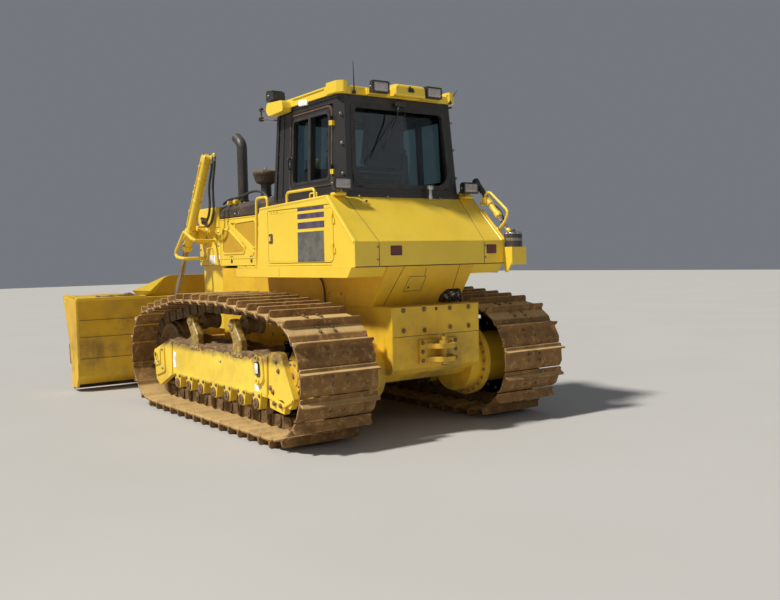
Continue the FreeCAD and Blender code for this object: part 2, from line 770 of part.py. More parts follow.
def hull():
    """Main frame: steering case at the rear, belly box and engine bed, with the blade frame's pivots."""
    side = [
        (HULL_REAR, HULL_LOW + 90, 40), (HULL_REAR, REAR_PLATE_HIGH), (RECESS_X, REAR_PLATE_HIGH),
        (BODY_REAR + 20, BODY_LOW - SEAT_GAP),
        (HULL_FRONT, BODY_LOW - SEAT_GAP), (HULL_FRONT, HULL_LOW + 260, 80),
        (HULL_FRONT - 300, HULL_LOW, 120), (HULL_REAR + 160, HULL_LOW, 60),
    ]
    body = prism_y(side, -HULL_HALF_WIDTH, HULL_HALF_WIDTH)
    pieces = [body]
    for sign in (-1, 1):
        pieces.append(round_bar(
            (LIFT_PIVOT_X, sign * HULL_HALF_WIDTH, LIFT_PIVOT_Z),
            (LIFT_PIVOT_X, sign * (ARM_INNER - RUNNING_GAP), LIFT_PIVOT_Z), 120))
        pieces.append(round_bar(
            (LIFT_PIVOT_X, sign * HULL_HALF_WIDTH, LIFT_PIVOT_Z),
            (LIFT_PIVOT_X, sign * (ARM_INNER + ARM_THICK + 14), LIFT_PIVOT_Z), LIFT_PIN_RADIUS))
    return joined(pieces)


def rear_plate():
    """Thick plate box at the rear: a raised pad for attachments above, the hitch bolted on below."""
    side = [
        (REAR_PLATE_X, REAR_PLATE_LOW + 50, 30),
        (REAR_PLATE_X, REAR_PLATE_HIGH), (HULL_REAR - SEAT_GAP, REAR_PLATE_HIGH),
        (HULL_REAR - SEAT_GAP, REAR_PLATE_LOW), (REAR_PLATE_X + 60, REAR_PLATE_LOW),
    ]
    pad = box(REAR_PLATE_X - PAD_PROUD, REAR_PLATE_X, -HULL_HALF_WIDTH + 1, HULL_HALF_WIDTH - 1, PAD_LOW,
        REAR_PLATE_HIGH)
    return joined([prism_y(side, -HULL_HALF_WIDTH + 1, HULL_HALF_WIDTH - 1), pad])


def hitch():
    """Bolted base with two drawbar jaws and their drop pin."""
    face = REAR_PLATE_X - SEAT_GAP
    base = box(face - 30, face, -HITCH_BASE_HALF, HITCH_BASE_HALF, HITCH_LOW + 15, HITCH_HIGH + 15)
    tip = face - HITCH_REACH
    pieces = [base]
    jaw = [
        (face - 30, -HITCH_HALF - 40), (face - 90, -HITCH_HALF), (tip, -HITCH_HALF, 70),
        (tip, HITCH_HALF, 70), (face - 90, HITCH_HALF), (face - 30, HITCH_HALF + 40),
    ]
    for low in (HITCH_LOW + 30, HITCH_HIGH - 20 - HITCH_JAW):
        pieces.append(prism_z(jaw, low, low + HITCH_JAW))
    pin_x = tip + 70
    pieces.append(round_bar((pin_x, 0, HITCH_LOW), (pin_x, 0, HITCH_HIGH + 40), HITCH_PIN_RADIUS))
    pieces.append(round_bar((pin_x, 0, HITCH_HIGH - 20), (pin_x, 0, HITCH_HIGH + 5), HITCH_PIN_RADIUS + 16))
    return joined(pieces)


def rear_profile(front):
    return [
        (BODY_REAR, BODY_LOW), (BODY_REAR, CREASE_Z, 12), (SLOPE_TOP_X, BODY_TOP, 16), (front, BODY_TOP),
        (front, BODY_LOW),
    ]


def fuel_tank():
    """Rear body between the side boxes, with the sloped back."""
    return prism_y(rear_profile(TANK_FRONT), -TANK_HALF_WIDTH + SEAT_GAP, TANK_HALF_WIDTH - SEAT_GAP)


def fender():
    """Side box over the track with an equipment locker behind its door."""
    side = [
        (BODY_REAR, BODY_LOW), (BODY_REAR, CREASE_Z, 12), (SLOPE_TOP_X, BODY_TOP, 16),
        (FENDER_FRONT_TOP, BODY_TOP - FENDER_FRONT_DROP, 60), (FENDER_FRONT_LOW, BODY_LOW),
    ]
    solid = prism_y(side, TANK_HALF_WIDTH, BODY_HALF_WIDTH)
    opening = [
        (DOOR_REAR - PANEL_GAP, DOOR_LOW - PANEL_GAP, 60),
        (DOOR_REAR - PANEL_GAP, DOOR_HIGH + PANEL_GAP, 60),
        (DOOR_FRONT + PANEL_GAP, DOOR_HIGH + PANEL_GAP, 20),
        (DOOR_FRONT + PANEL_GAP, DOOR_LOW - PANEL_GAP, 20),
    ]
    locker = prism_y(opening, BODY_HALF_WIDTH - LOCKER_DEPTH, BODY_HALF_WIDTH)
    return solid.cut(locker)


def running_board():
    """Narrow step that runs along under each side box, with a tapered tail."""
    side = [
        (STRIP_REAR, STRIP_LOW),
        (STRIP_REAR - STRIP_TAIL, BODY_LOW - SEAT_GAP), (STRIP_FRONT, BODY_LOW - SEAT_GAP),
        (STRIP_FRONT, STRIP_LOW, 25),
    ]
    return prism_y(side, HULL_HALF_WIDTH + SEAT_GAP, STRIP_HALF_WIDTH)


def hinge_lug(x, face_y, axis_y, z):
    """The fixed half of a strap hinge, on the face behind the hinge line and below the knuckle."""
    low = z - HINGE_LENGTH
    high = z - SEAT_GAP
    pin = Part.makeCylinder(HINGE_RADIUS, high - low, Vector(x, axis_y, low), AXIS_Z)
    return joined([pin, box(x - HINGE_LEAF, x, face_y + SEAT_GAP, axis_y, low, high)])


def hinge_knuckle(x, face_y, axis_y, z):
    """The moving half of a strap hinge, let into the door's face."""
    pin = Part.makeCylinder(HINGE_RADIUS, HINGE_LENGTH, Vector(x, axis_y, z), AXIS_Z)
    return joined([pin, box(x, x + HINGE_LEAF, face_y - 2, axis_y, z, z + HINGE_LENGTH)])


def flush_hinge(rear_x, face_y, z, half):
    """Half a hinge of a door whose outer face is flush with its frame's."""
    return half(rear_x - PANEL_GAP / 2, face_y, face_y + HINGE_RADIUS + SEAT_GAP, z)


def cab_hinge(z, half):
    """Half a hinge of the left cab door, whose wall leans inwards."""
    low = z - HINGE_LENGTH if half is hinge_lug else z + HINGE_LENGTH
    return half(CAB_DOOR_REAR - PANEL_GAP / 2, cab_x_low(low, CAB_HALF_LOW, CAB_HALF_HIGH),
        CAB_HALF_LOW + HINGE_RADIUS, z)


def door_hinges():
    """Fixed hinge halves of all doors on the left side."""
    lugs = [flush_hinge(DOOR_REAR, BODY_HALF_WIDTH, z, hinge_lug) for z in DOOR_HINGES]
    lugs += [flush_hinge(PANEL_REAR, NOSE_HALF_WIDTH, z, hinge_lug) for z in PANEL_HINGES]
    lugs += [cab_hinge(z, hinge_lug) for z in CAB_HINGES]
    return group(lugs)


def service_door():
    """Rounded plate door with a latch and strap hinges at its rear edge."""
    face = [
        (DOOR_REAR, DOOR_LOW, 60), (DOOR_REAR, DOOR_HIGH, 60), (DOOR_FRONT, DOOR_HIGH, 20),
        (DOOR_FRONT, DOOR_LOW, 20),
    ]
    plate = prism_y(face, BODY_HALF_WIDTH - DOOR_PLATE, BODY_HALF_WIDTH)
    latch = box(DOOR_FRONT - 80, DOOR_FRONT - 25, BODY_HALF_WIDTH - 10, BODY_HALF_WIDTH + 12, 1795, 1840)
    knuckles = [flush_hinge(DOOR_REAR, BODY_HALF_WIDTH, z, hinge_knuckle) for z in DOOR_HINGES]
    return joined([plate, latch] + knuckles)


def engine():
    """Engine, pump drive and transmission as one plain block on the engine bed."""
    front = box(
        FENDER_FRONT_LOW + 60, NOSE_REAR - 80, -ENGINE_HALF_WIDTH, ENGINE_HALF_WIDTH, BODY_LOW,
        HOOD_LOW - 60)
    rear = box(
        TANK_FRONT + 100, FENDER_FRONT_LOW - 60, -ENGINE_HALF_WIDTH, ENGINE_HALF_WIDTH, BODY_LOW,
        HOOD_LOW - 160)
    return group([front, rear])


def hood():
    """Black upper hood with chamfered edges, sloping down to the nose."""
    half = NOSE_HALF_WIDTH - 4
    section = [
        (-half, HOOD_LOW),
        (-half, HOOD_TOP_REAR - HOOD_CHAMFER, 20), (-half + HOOD_CHAMFER, HOOD_TOP_REAR, 20),
        (half - HOOD_CHAMFER, HOOD_TOP_REAR, 20),
        (half, HOOD_TOP_REAR - HOOD_CHAMFER, 20), (half, HOOD_LOW),
    ]
    front = [
        (p[0], p[1] - (HOOD_TOP_REAR - HOOD_TOP_FRONT if p[1] > HOOD_LOW else 0)) + p[2:] for p in section]
    wires = [outline(section, on_yz), outline(front, on_yz)]
    wires[0].translate(AXIS_X * HOOD_REAR)
    wires[1].translate(AXIS_X * (NOSE_REAR - SEAT_GAP))
    solid = Part.makeLoft(wires, True, True)
    inner = box(HOOD_REAR - 1, NOSE_REAR, -half + 30, half - 30, HOOD_LOW - 1, HOOD_LOW + 60)
    return solid.cut(inner)


def cowl():
    """Fixed plates between the side boxes and the engine panels, with the bulkhead under the cab's front."""
    high = HOOD_LOW - SEAT_GAP
    rear = FENDER_FRONT_LOW + 4
    bulkhead = box(rear, rear + 25, -TANK_HALF_WIDTH, TANK_HALF_WIDTH, BODY_LOW, high)
    side = box(rear, PANEL_REAR - PANEL_GAP, NOSE_HALF_WIDTH - PANEL_PLATE, NOSE_HALF_WIDTH, BODY_LOW, high)
    return joined([bulkhead, side, mirror(side)])


def engine_panel():
    """Yellow side panel with two triangular mesh openings split by a diagonal bar."""
    y_low = NOSE_HALF_WIDTH - PANEL_PLATE
    plate = box(PANEL_REAR, PANEL_FRONT, y_low, NOSE_HALF_WIDTH, PANEL_LOW, PANEL_HIGH)
    margin = 90
    low = PANEL_LOW + 190
    high = PANEL_HIGH - 60
    left = PANEL_REAR + margin
    right = PANEL_FRONT - margin
    upper = [(left, low + 70), (left, high), (right - 120, high)]
    lower = [(left + 110, low), (right, high - 60), (right, low)]
    pocket_depth = NOSE_HALF_WIDTH - 14
    for triangle in (upper, lower):
        plate = plate.cut(prism_y(triangle, pocket_depth, NOSE_HALF_WIDTH + 1))
    knuckles = [flush_hinge(PANEL_REAR, NOSE_HALF_WIDTH, z, hinge_knuckle) for z in PANEL_HINGES]
    return joined([plate] + knuckles)


def nose():
    """Radiator guard: narrower below, hollow behind its mouth, with the lift cylinders' bearing blocks."""
    half = NOSE_HALF_WIDTH
    upper = [
        (NOSE_REAR, NOSE_STEP_Z), (NOSE_REAR, NOSE_TOP), (NOSE_FRONT - 20, NOSE_TOP, 70),
        (NOSE_FRONT - 5, NOSE_STEP_Z),
    ]
    lower = [
        (NOSE_REAR, HULL_LOW + 330), (NOSE_REAR, NOSE_STEP_Z), (NOSE_FRONT - 5, NOSE_STEP_Z),
        (NOSE_FRONT, NOSE_LOW + 60),
        (NOSE_FRONT - 40, NOSE_LOW - 60, 60), (NOSE_FRONT - 180, HULL_LOW + 330, 80),
    ]
    solid = prism_y(upper, -half, half).fuse(prism_y(lower, -NOSE_LOWER_HALF, NOSE_LOWER_HALF))
    inner = NOSE_LOWER_HALF - NOSE_WALL
    rear = box(NOSE_REAR - 1, NOSE_FRONT - 60, -inner, inner, NOSE_LOW + 80, NOSE_TOP - NOSE_WALL)
    mouth_half = inner - NOSE_WALL
    mouth = box(NOSE_FRONT - 61, NOSE_FRONT + 30, -mouth_half, mouth_half, NOSE_LOW + 130, NOSE_TOP - 110)
    solid = solid.cut(rear).cut(mouth)
    pieces = [solid]
    block_end = LIFT_Y - LIFT_TUBE_RADIUS - 20
    for sign in (-1, 1):
        start = (TRUNNION_X, sign * (half - 1), TRUNNION_Z)
        pieces.append(round_bar(start, (TRUNNION_X, sign * block_end, TRUNNION_Z), TRUNNION_BLOCK))
    solid = joined(pieces)
    for sign in (-1, 1):
        start = (TRUNNION_X, sign * (half + 20), TRUNNION_Z)
        bore = round_bar(
            start, (TRUNNION_X, sign * (block_end + 1), TRUNNION_Z), TRUNNION_RADIUS + BORE_GAP)
        solid = solid.cut(bore)
    return joined([solid, guard_tube(), mirror(guard_tube())])


def guard_tube():
    """Tube outboard of a lift cylinder that shields its trunnion; both ends stand on the nose's side."""
    outer = LIFT_Y + LIFT_TUBE_RADIUS + TRUNNION_COLLAR + RUNNING_GAP + GUARD_RADIUS
    rear_x, rear_z = GUARD_REAR
    top_x, top_z = GUARD_TIP
    low_x, low_z = GUARD_TOE
    foot_x, foot_z = GUARD_FOOT
    route = [
        (rear_x + 60, NOSE_HALF_WIDTH - 2, rear_z), (rear_x, outer, rear_z), (top_x, outer, top_z),
        (low_x, outer, low_z), (foot_x, outer, foot_z), (foot_x, NOSE_HALF_WIDTH - 2, foot_z),
    ]
    return bent_bar(route, GUARD_RADIUS, GUARD_BEND)


def radiator():
    return box(
        RADIATOR_REAR, RADIATOR_REAR + RADIATOR_DEPTH, -NOSE_LOWER_HALF + NOSE_WALL + SEAT_GAP,
        NOSE_LOWER_HALF - NOSE_WALL - SEAT_GAP, NOSE_LOW + 80 + SEAT_GAP, NOSE_TOP - NOSE_WALL - 60)


def grille():
    """Frame with level bars in the nose's mouth."""
    half = NOSE_LOWER_HALF - 2 * NOSE_WALL - SEAT_GAP
    low = NOSE_LOW + 130 + SEAT_GAP
    high = NOSE_TOP - 110 - SEAT_GAP
    x_low = NOSE_FRONT - 58
    x_high = x_low + GRILLE_DEPTH
    rim = 28
    frame = box(x_low, x_high, -half, half, low, high)
    frame = frame.cut(box(x_low - 1, x_high + 1, -half + rim, half - rim, low + rim, high - rim))
    pieces = [frame, box(x_low, x_high, -rim / 2, rim / 2, low, high)]
    step = (high - low - 2 * rim) / (GRILLE_BARS + 1)
    for index in range(GRILLE_BARS):
        z = low + rim + step * (index + 1)
        pieces.append(box(x_low, x_high, -half + 2, half - 2, z - GRILLE_BAR / 2, z + GRILLE_BAR / 2))
    return joined(pieces)


def fan():
    """Cooling fan with pitched blades, on a hub that turns on a stub behind it."""
    pieces = [Part.makeCylinder(95, 70, Vector(FAN_X - 35, 0, FAN_Z), AXIS_X)]
    for index in range(FAN_BLADES):
        blade = box(FAN_X - 5, FAN_X + 5, -48, 48, FAN_Z + 80, FAN_Z + FAN_RADIUS)
        blade.rotate(Vector(FAN_X, 0, FAN_Z), AXIS_Z, 38)
        blade.rotate(Vector(FAN_X, 0, FAN_Z), AXIS_X, 360 / FAN_BLADES * index)
        pieces.append(blade)
    return joined(pieces)


def fan_stub():
    """Fan motor on the radiator's face."""
    start = RADIATOR_REAR + RADIATOR_DEPTH
    return round_bar((start, 0, FAN_Z), (FAN_X - 35 - SEAT_GAP, 0, FAN_Z), 60)


def exhaust():
    """Upright pipe with a forward-bent outlet, on a collar on the hood."""
    height = hood_height(EXHAUST_X - EXHAUST_RADIUS - EXHAUST_COLLAR)
    pipe = bent_bar(
        [(EXHAUST_X, EXHAUST_Y, height), (EXHAUST_X, EXHAUST_Y, EXHAUST_KNEE + 55), (EXHAUST_X + 210,
            EXHAUST_Y, EXHAUST_TOP - 10)],
        EXHAUST_RADIUS, 100, PIPE_SIDES)
    bore = bent_bar(
        [(EXHAUST_X, EXHAUST_Y, height + 400), (EXHAUST_X, EXHAUST_Y, EXHAUST_KNEE + 55), (EXHAUST_X + 210,
            EXHAUST_Y, EXHAUST_TOP - 10)],
        EXHAUST_RADIUS - 8, 100, PIPE_SIDES)
    collar = round_bar((EXHAUST_X, EXHAUST_Y, height), (EXHAUST_X, EXHAUST_Y, height + 120),
        EXHAUST_RADIUS + EXHAUST_COLLAR)
    return joined([pipe, collar]).cut(bore)


def hood_height(x):
    share = (x - HOOD_REAR) / (NOSE_REAR - HOOD_REAR)
    return HOOD_TOP_REAR + (HOOD_TOP_FRONT - HOOD_TOP_REAR) * share + SEAT_GAP


def pre_cleaner():
    """Round dust bowl on an intake stack."""
    height = hood_height(CLEANER_X - CLEANER_STACK)
    wide = CLEANER_RADIUS
    points = [
        (0.0, 0.0),
        (CLEANER_STACK, 0.0), (CLEANER_STACK, 105.0), (wide, 105.0), (wide, CLEANER_TOP - height - 35),
        (wide - 25, CLEANER_TOP - height - 35),
        (wide - 25, CLEANER_TOP - height), (0.0, CLEANER_TOP - height),
    ]
    face = Part.Face(outline(points, on_xz))
    solid = face.revolve(Vector(0, 0, 0), AXIS_Z, 360)
    solid.translate(Vector(CLEANER_X, EXHAUST_Y, height))
    return solid


def cab_x_low(z, low, high):
    """A cab edge's place at a height, between its lower and upper place."""
    return low + (high - low) * (z - CAB_FLOOR_Z) / (CAB_TOP_Z - CAB_FLOOR_Z)


def cab_block(inset, z_low, z_high):
    """The cab's tapered envelope, inset all round by a distance."""
    wires = []
    for z in (z_low, z_high):
        rear = cab_x_low(z, CAB_REAR_LOW, CAB_REAR_HIGH) + inset
        front = cab_x_low(z, CAB_FRONT_LOW, CAB_FRONT_HIGH) - inset
        half = cab_x_low(z, CAB_HALF_LOW, CAB_HALF_HIGH) - inset
        corner = 50
        points = [
            (rear, -half + corner), (rear, half - corner), (rear + corner, half), (front - corner, half),
            (front, half - corner),
            (front, -half + corner), (front - corner, -half), (rear + corner, -half),
        ]
        wire = outline(points, on_xy)
        wire.translate(AXIS_Z * z)
        wires.append(wire)
    return Part.makeLoft(wires, True, True)


def door_face():
    return [
        (CAB_DOOR_REAR, CAB_SILL - 50, 50), (CAB_DOOR_REAR, CAB_HEAD + 50, 90),
        (CAB_DOOR_FRONT - 15, CAB_HEAD + 50, 50), (CAB_DOOR_FRONT, CAB_SILL - 50, 50),
    ]


def inset_face(corners, inset):
    """Corners of a four-sided face moved inwards; corners run low rear, high rear, high front, low front."""
    (a, b), (c, d), (e, f), (g, h) = [corner[:2] for corner in corners]
    return [(a + inset, b + inset, 25), (c + inset, d - inset, 25), (e - inset, f - inset, 25), (g - inset,
        h + inset, 25)]


def cab_walls():
    """The cab's tapered wall ring between floor and roof, with door and window openings."""
    low = CAB_FLOOR_Z + CAB_FLOOR_THICK + SEAT_GAP
    walls = cab_block(0, low, CAB_TOP_Z).cut(cab_block(CAB_WALL, low - 1, CAB_TOP_Z + 1))
    wide = CAB_HALF_LOW + 50
    opening = [
        (c[0] + (-PANEL_GAP if i < 2 else PANEL_GAP), c[1] + (PANEL_GAP if i in (1, 2) else -PANEL_GAP), 30)
               for i, c in enumerate(door_face())]
    walls = walls.cut(prism_y(opening, -wide, wide))
    window = [
        (-REAR_WINDOW_HALF_LOW, REAR_WINDOW_LOW, 60), (REAR_WINDOW_HALF_LOW, REAR_WINDOW_LOW, 60),
        (REAR_WINDOW_HALF_HIGH, CAB_HEAD + 40, 30), (-REAR_WINDOW_HALF_HIGH, CAB_HEAD + 40, 30),
    ]
    return walls.cut(prism_x(window, CAB_REAR_LOW - 50, CAB_FRONT_LOW + 50))


def cab_parts():
    """Floor, side walls and end walls with their posts; the panels meet behind and before the doors."""
    walls = cab_walls()
    rear_seam = CAB_DOOR_REAR - CAB_SEAM
    front_seam = CAB_DOOR_FRONT + CAB_SEAM
    wide = CAB_HALF_LOW + 50
    high = CAB_TOP_Z + 1
    sides = walls.common(box(rear_seam, front_seam, -wide, wide, CAB_FLOOR_Z, high))
    ends = walls.cut(box(rear_seam - SEAT_GAP, front_seam + SEAT_GAP, -wide, wide, CAB_FLOOR_Z, high))
    return {
        "cab_floor": cab_block(
            0, CAB_FLOOR_Z, CAB_FLOOR_Z + CAB_FLOOR_THICK), "cab_sides": group(sides.Solids),
        "cab_ends": group(ends.Solids),
    }


def cab_glass():
    """Fixed panes of the rear and front windows."""
    panes = []
    grow = 12
    layer = cab_block(CAB_WALL + SEAT_GAP, CAB_FLOOR_Z + CAB_FLOOR_THICK, CAB_TOP_Z)
    layer = layer.cut(cab_block(CAB_WALL + SEAT_GAP + GLASS_THICK, CAB_FLOOR_Z, CAB_TOP_Z + 1))
    end = [
        (-REAR_WINDOW_HALF_LOW - grow, REAR_WINDOW_LOW - grow),
        (REAR_WINDOW_HALF_LOW + grow, REAR_WINDOW_LOW - grow),
        (REAR_WINDOW_HALF_HIGH + grow, CAB_HEAD + 40 + grow),
        (-REAR_WINDOW_HALF_HIGH - grow, CAB_HEAD + 40 + grow),
    ]
    middle = (CAB_REAR_LOW + CAB_FRONT_LOW) / 2
    panes.append(layer.common(prism_x(end, CAB_REAR_LOW - 50, middle - 300)))
    panes.append(layer.common(prism_x(end, middle + 300, CAB_FRONT_LOW + 50)))
    solids = []
    for pane in panes:
        solids += pane.Solids
    return group(solids)


def cab_door():
    """Left door: a framed plate as thick as the wall, with its pane's opening."""
    face = door_face()
    slab = cab_block(
        0, CAB_FLOOR_Z, CAB_TOP_Z).cut(cab_block(CAB_DOOR_RAIL, CAB_FLOOR_Z - 1, CAB_TOP_Z + 1))
    door = slab.common(prism_y(face, 100, CAB_HALF_LOW + 50))
    door = door.cut(prism_y(inset_face(face, CAB_DOOR_RAIL), 100, CAB_HALF_LOW + 50))
    bar = box(
        CAB_DOOR_BAR_X - 16, CAB_DOOR_BAR_X + 16, 100, CAB_HALF_LOW + 50, CAB_SILL - 40, CAB_HEAD + 40)
    knuckles = [cab_hinge(z, hinge_knuckle) for z in CAB_HINGES]
    return joined([door, slab.common(bar)] + knuckles)


def door_glass():
    face = inset_face(door_face(), CAB_DOOR_RAIL - 10)
    outer = CAB_DOOR_RAIL + SEAT_GAP
    layer = cab_block(outer, CAB_FLOOR_Z, CAB_TOP_Z)
    layer = layer.cut(cab_block(outer + GLASS_THICK, CAB_FLOOR_Z - 1, CAB_TOP_Z + 1))
    return layer.common(prism_y(face, 100, CAB_HALF_LOW + 50))


def roof_rear():
    return CAB_REAR_HIGH - ROOF_OVERHANG - ROOF_TAIL


def cab_roof():
    """Roof pan with rear corner caps, front corner boxes and the air unit's hump between the lamps."""
    z = CAB_TOP_Z + SEAT_GAP
    top = z + ROOF_THICK
    rear = roof_rear()
    front = CAB_FRONT_HIGH + ROOF_OVERHANG
    half = CAB_HALF_HIGH + ROOF_OVERHANG
    side = [
        (rear + 30, z), (rear + 30, top - 12, 14),
        (rear + 150, top, 60), (front - 120, top - 8, 80), (front, top - 40, 20),
        (front, z),
    ]
    plan = [
        (rear, -half + 90, 40), (rear, half - 90, 40), (rear + 90, half, 40), (front - 60, half, 30),
        (front, half - 60, 30), (front, -half + 60, 30), (front - 60, -half, 30), (rear + 90, -half, 40),
    ]
    pan = prism_z(plan, z, top + 1).common(prism_y(side, -half - 1, half + 1))
    pieces = [pan]
    cap = [
        (rear + 4, half - CAP_WIDTH, 20), (rear + 4, half - 40, 30), (rear + 60, half + CAP_PROUD, 30),
        (rear + CAP_LENGTH, half + CAP_PROUD, 12), (rear + CAP_LENGTH, half - CAP_WIDTH, 20),
    ]
    corner_cap = prism_z(cap, z + 6, top + 24)
    front_box = [
        (front - CORNER_BOX_LENGTH, z - CORNER_BOX_DROP + 12, 30),
        (front - CORNER_BOX_LENGTH + 25, z + 62, 36),
        (front + 6, z + 78, 46), (front + 30, z - 6, 46), (front - 30, z - CORNER_BOX_DROP, 40),
    ]
    corner_box = prism_y(front_box, half - 60, half + CORNER_BOX_PROUD)
    room = box(front - CORNER_BOX_LENGTH - 1, front - 2, half - 61, half - 2, z - CORNER_BOX_DROP - 1, z + 4)
    corner_box = corner_box.cut(room)
    pieces += [corner_cap, mirror(corner_cap), corner_box, mirror(corner_box)]
    hump_side = [
        (HUMP_REAR, z + 4, 20), (HUMP_REAR + 10, top + 30, 40), (HUMP_REAR + 150, top + 58, 60),
        (HUMP_REAR + 620, top + 40, 60), (HUMP_REAR + 680, top - 20), (rear + 60, z + 16),
    ]
    hump_face = [
        (HUMP_RIGHT - 12, z - 60), (HUMP_RIGHT, top + 20, 30), (HUMP_RIGHT + 70, top + 60, 40),
        (HUMP_LEFT - 80, top + 60, 40), (HUMP_LEFT, top + 6, 30), (HUMP_LEFT + 12, z - 60),
    ]
    hump = prism_y(hump_side, -half, half).common(prism_x(hump_face, HUMP_REAR - 10, front))
    pieces.append(hump)
    for middle in ROOF_LAMP_Y:
        tray = [(rear - 30, z + 2), (rear - 30, z + 14), (rear + 40, z + 14), (rear + 40, z + 2)]
        pieces.append(prism_y(tray, middle - LAMP_HALF - 14, middle + LAMP_HALF + 14))
        for side_y in (middle - LAMP_HALF - 14, middle + LAMP_HALF + 4):
            ear = [(rear - 30, z + 2), (rear - 30, z + 50, 12), (rear + 40, z + 70), (rear + 40, z + 2)]
            pieces.append(prism_y(ear, side_y, side_y + 10))
    return joined(pieces)


def lamp_body(x, middle, z, rear_facing):
    """Rectangular work lamp with a tapered back."""
    depth = LAMP_DEPTH if rear_facing else -LAMP_DEPTH
    half = LAMP_HALF
    wires = []
    for share, inset in ((0.0, 0.0), (0.45, 0.0), (1.0, 26.0)):
        low = z + inset * 0.6
        high = z + LAMP_HEIGHT - inset * 0.6
        points = [
            (middle - half + inset, low), (middle - half + inset, high), (middle + half - inset, high),
            (middle + half - inset, low),
        ]
        wire = outline(points, on_yz)
        wire.translate(AXIS_X * (x + depth * share))
        wires.append(wire)
    return joined([Part.makeLoft(wires[:2], True, True), Part.makeLoft(wires[1:], True, True)])


def lamps():
    """Work lamps on the roof's rear edge and front corners, and one low on each rear corner."""
    z = CAB_TOP_Z + SEAT_GAP
    half = CAB_HALF_HIGH + ROOF_OVERHANG
    front = CAB_FRONT_HIGH + ROOF_OVERHANG
    pieces = [lamp_body(roof_rear() - 75, middle, z + 14 + SEAT_GAP, True) for middle in ROOF_LAMP_Y]
    low_y = CAB_HALF_LOW + 54
    for sign in (-1, 1):
        y = sign * (half - 4)
        post = box(front - 110, front - 60, y - 14, y + 14, z + 74.9, z + CORNER_LAMP_RISE + 8)
        pieces.append(joined([lamp_body(front + 20, y, z + CORNER_LAMP_RISE, False), post]))
        low = BODY_TOP + SEAT_GAP
        y = sign * low_y
        foot = box(LOW_LAMP_X + 40, SLOPE_TOP_X + 40, y - 20, y + 20, low, low + 12)
        post = box(LOW_LAMP_X + 40, LOW_LAMP_X + 70, y - 20, y + 20, low, LOW_LAMP_Z + 6)
        pieces.append(joined([lamp_body(LOW_LAMP_X, y, LOW_LAMP_Z, True), foot, post]))
    return group(pieces)


def corner_gear():
    """Right rear corner: a bracket for the canister, a rail along the slope and the tube of a jack."""
    x, y = CANISTER_PLACE
    wall = -BODY_HALF_WIDTH - SEAT_GAP
    plate = [
        (BODY_REAR + 120, CANISTER_LOW - SEAT_GAP), (x - CANISTER_RADIUS, CANISTER_LOW - SEAT_GAP),
        (x - CANISTER_RADIUS, CANISTER_LOW - 130), (x - CANISTER_RADIUS + 70, BRACKET_LOW),
        (x + 10, BRACKET_LOW), (BODY_REAR + 20, BODY_LOW + 4), (BODY_REAR + 120, BODY_LOW + 4),
    ]
    shelf = box(
        x - CANISTER_RADIUS, x + CANISTER_RADIUS, y - CANISTER_RADIUS, wall, CANISTER_LOW - SEAT_GAP - 12,
        CANISTER_LOW - SEAT_GAP)
    back = box(
        x - CANISTER_RADIUS, x - CANISTER_RADIUS + 12, y - CANISTER_RADIUS, wall, CANISTER_LOW - 170,
        CANISTER_LOW - SEAT_GAP)
    bracket = joined([prism_y(plate, wall - 14, wall), shelf, back])
    slope = (Vector(SLOPE_TOP_X, 0, BODY_TOP) - Vector(BODY_REAR, 0, CREASE_Z)).normalize()
    strap = prism_y([
        (BODY_REAR, CREASE_Z + 20),
        (BODY_REAR + slope.x * STRAP_LENGTH, CREASE_Z + 20 + slope.z * STRAP_LENGTH),
        (BODY_REAR + slope.x * STRAP_LENGTH, CREASE_Z - 30 + slope.z * STRAP_LENGTH),
        (BODY_REAR, CREASE_Z - 30),
    ], wall - 14, wall)
    rail = bent_bar([(a, wall - RAIL_RADIUS - 18, b) for a, b in CORNER_RAIL], RAIL_RADIUS, RAIL_BEND)
    feet = []
    for a, b in (CORNER_RAIL[0], CORNER_RAIL[-1]):
        feet.append(box(a - 16, a + 16, wall - 2 * RAIL_RADIUS - 18, wall - 4, b - 16, b + 16))
    tube = round_bar(JACK_TOP, JACK_MIDDLE, JACK_RADIUS)
    tube_foot = box(
        JACK_TOP[0] - 30, JACK_TOP[0] + 30, JACK_TOP[1] - 20, wall - 4, JACK_TOP[2] - 30, JACK_TOP[2] + 26)
    return joined([bracket, strap, rail, tube, tube_foot] + feet)


def canister():
    x, y = CANISTER_PLACE
    return Part.makeCylinder(
        CANISTER_RADIUS, CANISTER_HIGH - CANISTER_LOW, Vector(x, y, CANISTER_LOW), AXIS_Z)


def seat():
    """Operator's seat with arm pods on a pedestal."""
    floor = CAB_FLOOR_Z + CAB_FLOOR_THICK + SEAT_GAP
    base = box(440, 760, -170, 170, floor, floor + 190)
    cushion_side = [(390, floor + 185), (390, floor + 300, 40), (900, floor + 320, 50), (900, floor + 185, 30)]
    cushion = prism_y(cushion_side, -250, 250)
    back = prism_y(
        [(390, floor + 250), (300, floor + 800, 50), (400, floor + 820, 50), (500, floor + 290)], -240, 240)
    pods = [box(440, 860, s * 330 - 60, s * 330 + 60, floor, floor + 480) for s in (-1, 1)]
    return group([joined([base, cushion, back])] + pods)


def console():
    """Dashboard under the front window."""
    floor = CAB_FLOOR_Z + CAB_FLOOR_THICK + SEAT_GAP
    side = [
        (1130, floor), (1010, floor + 250, 30), (1060, floor + 330, 30), (1160, floor + 330), (1200, floor)]
    return prism_y(side, -420, 420)


def side_box_top(x):
    """Height of the side boxes' top at a place along them."""
    share = (x - SLOPE_TOP_X) / (FENDER_FRONT_TOP - SLOPE_TOP_X)
    return BODY_TOP - FENDER_FRONT_DROP * share


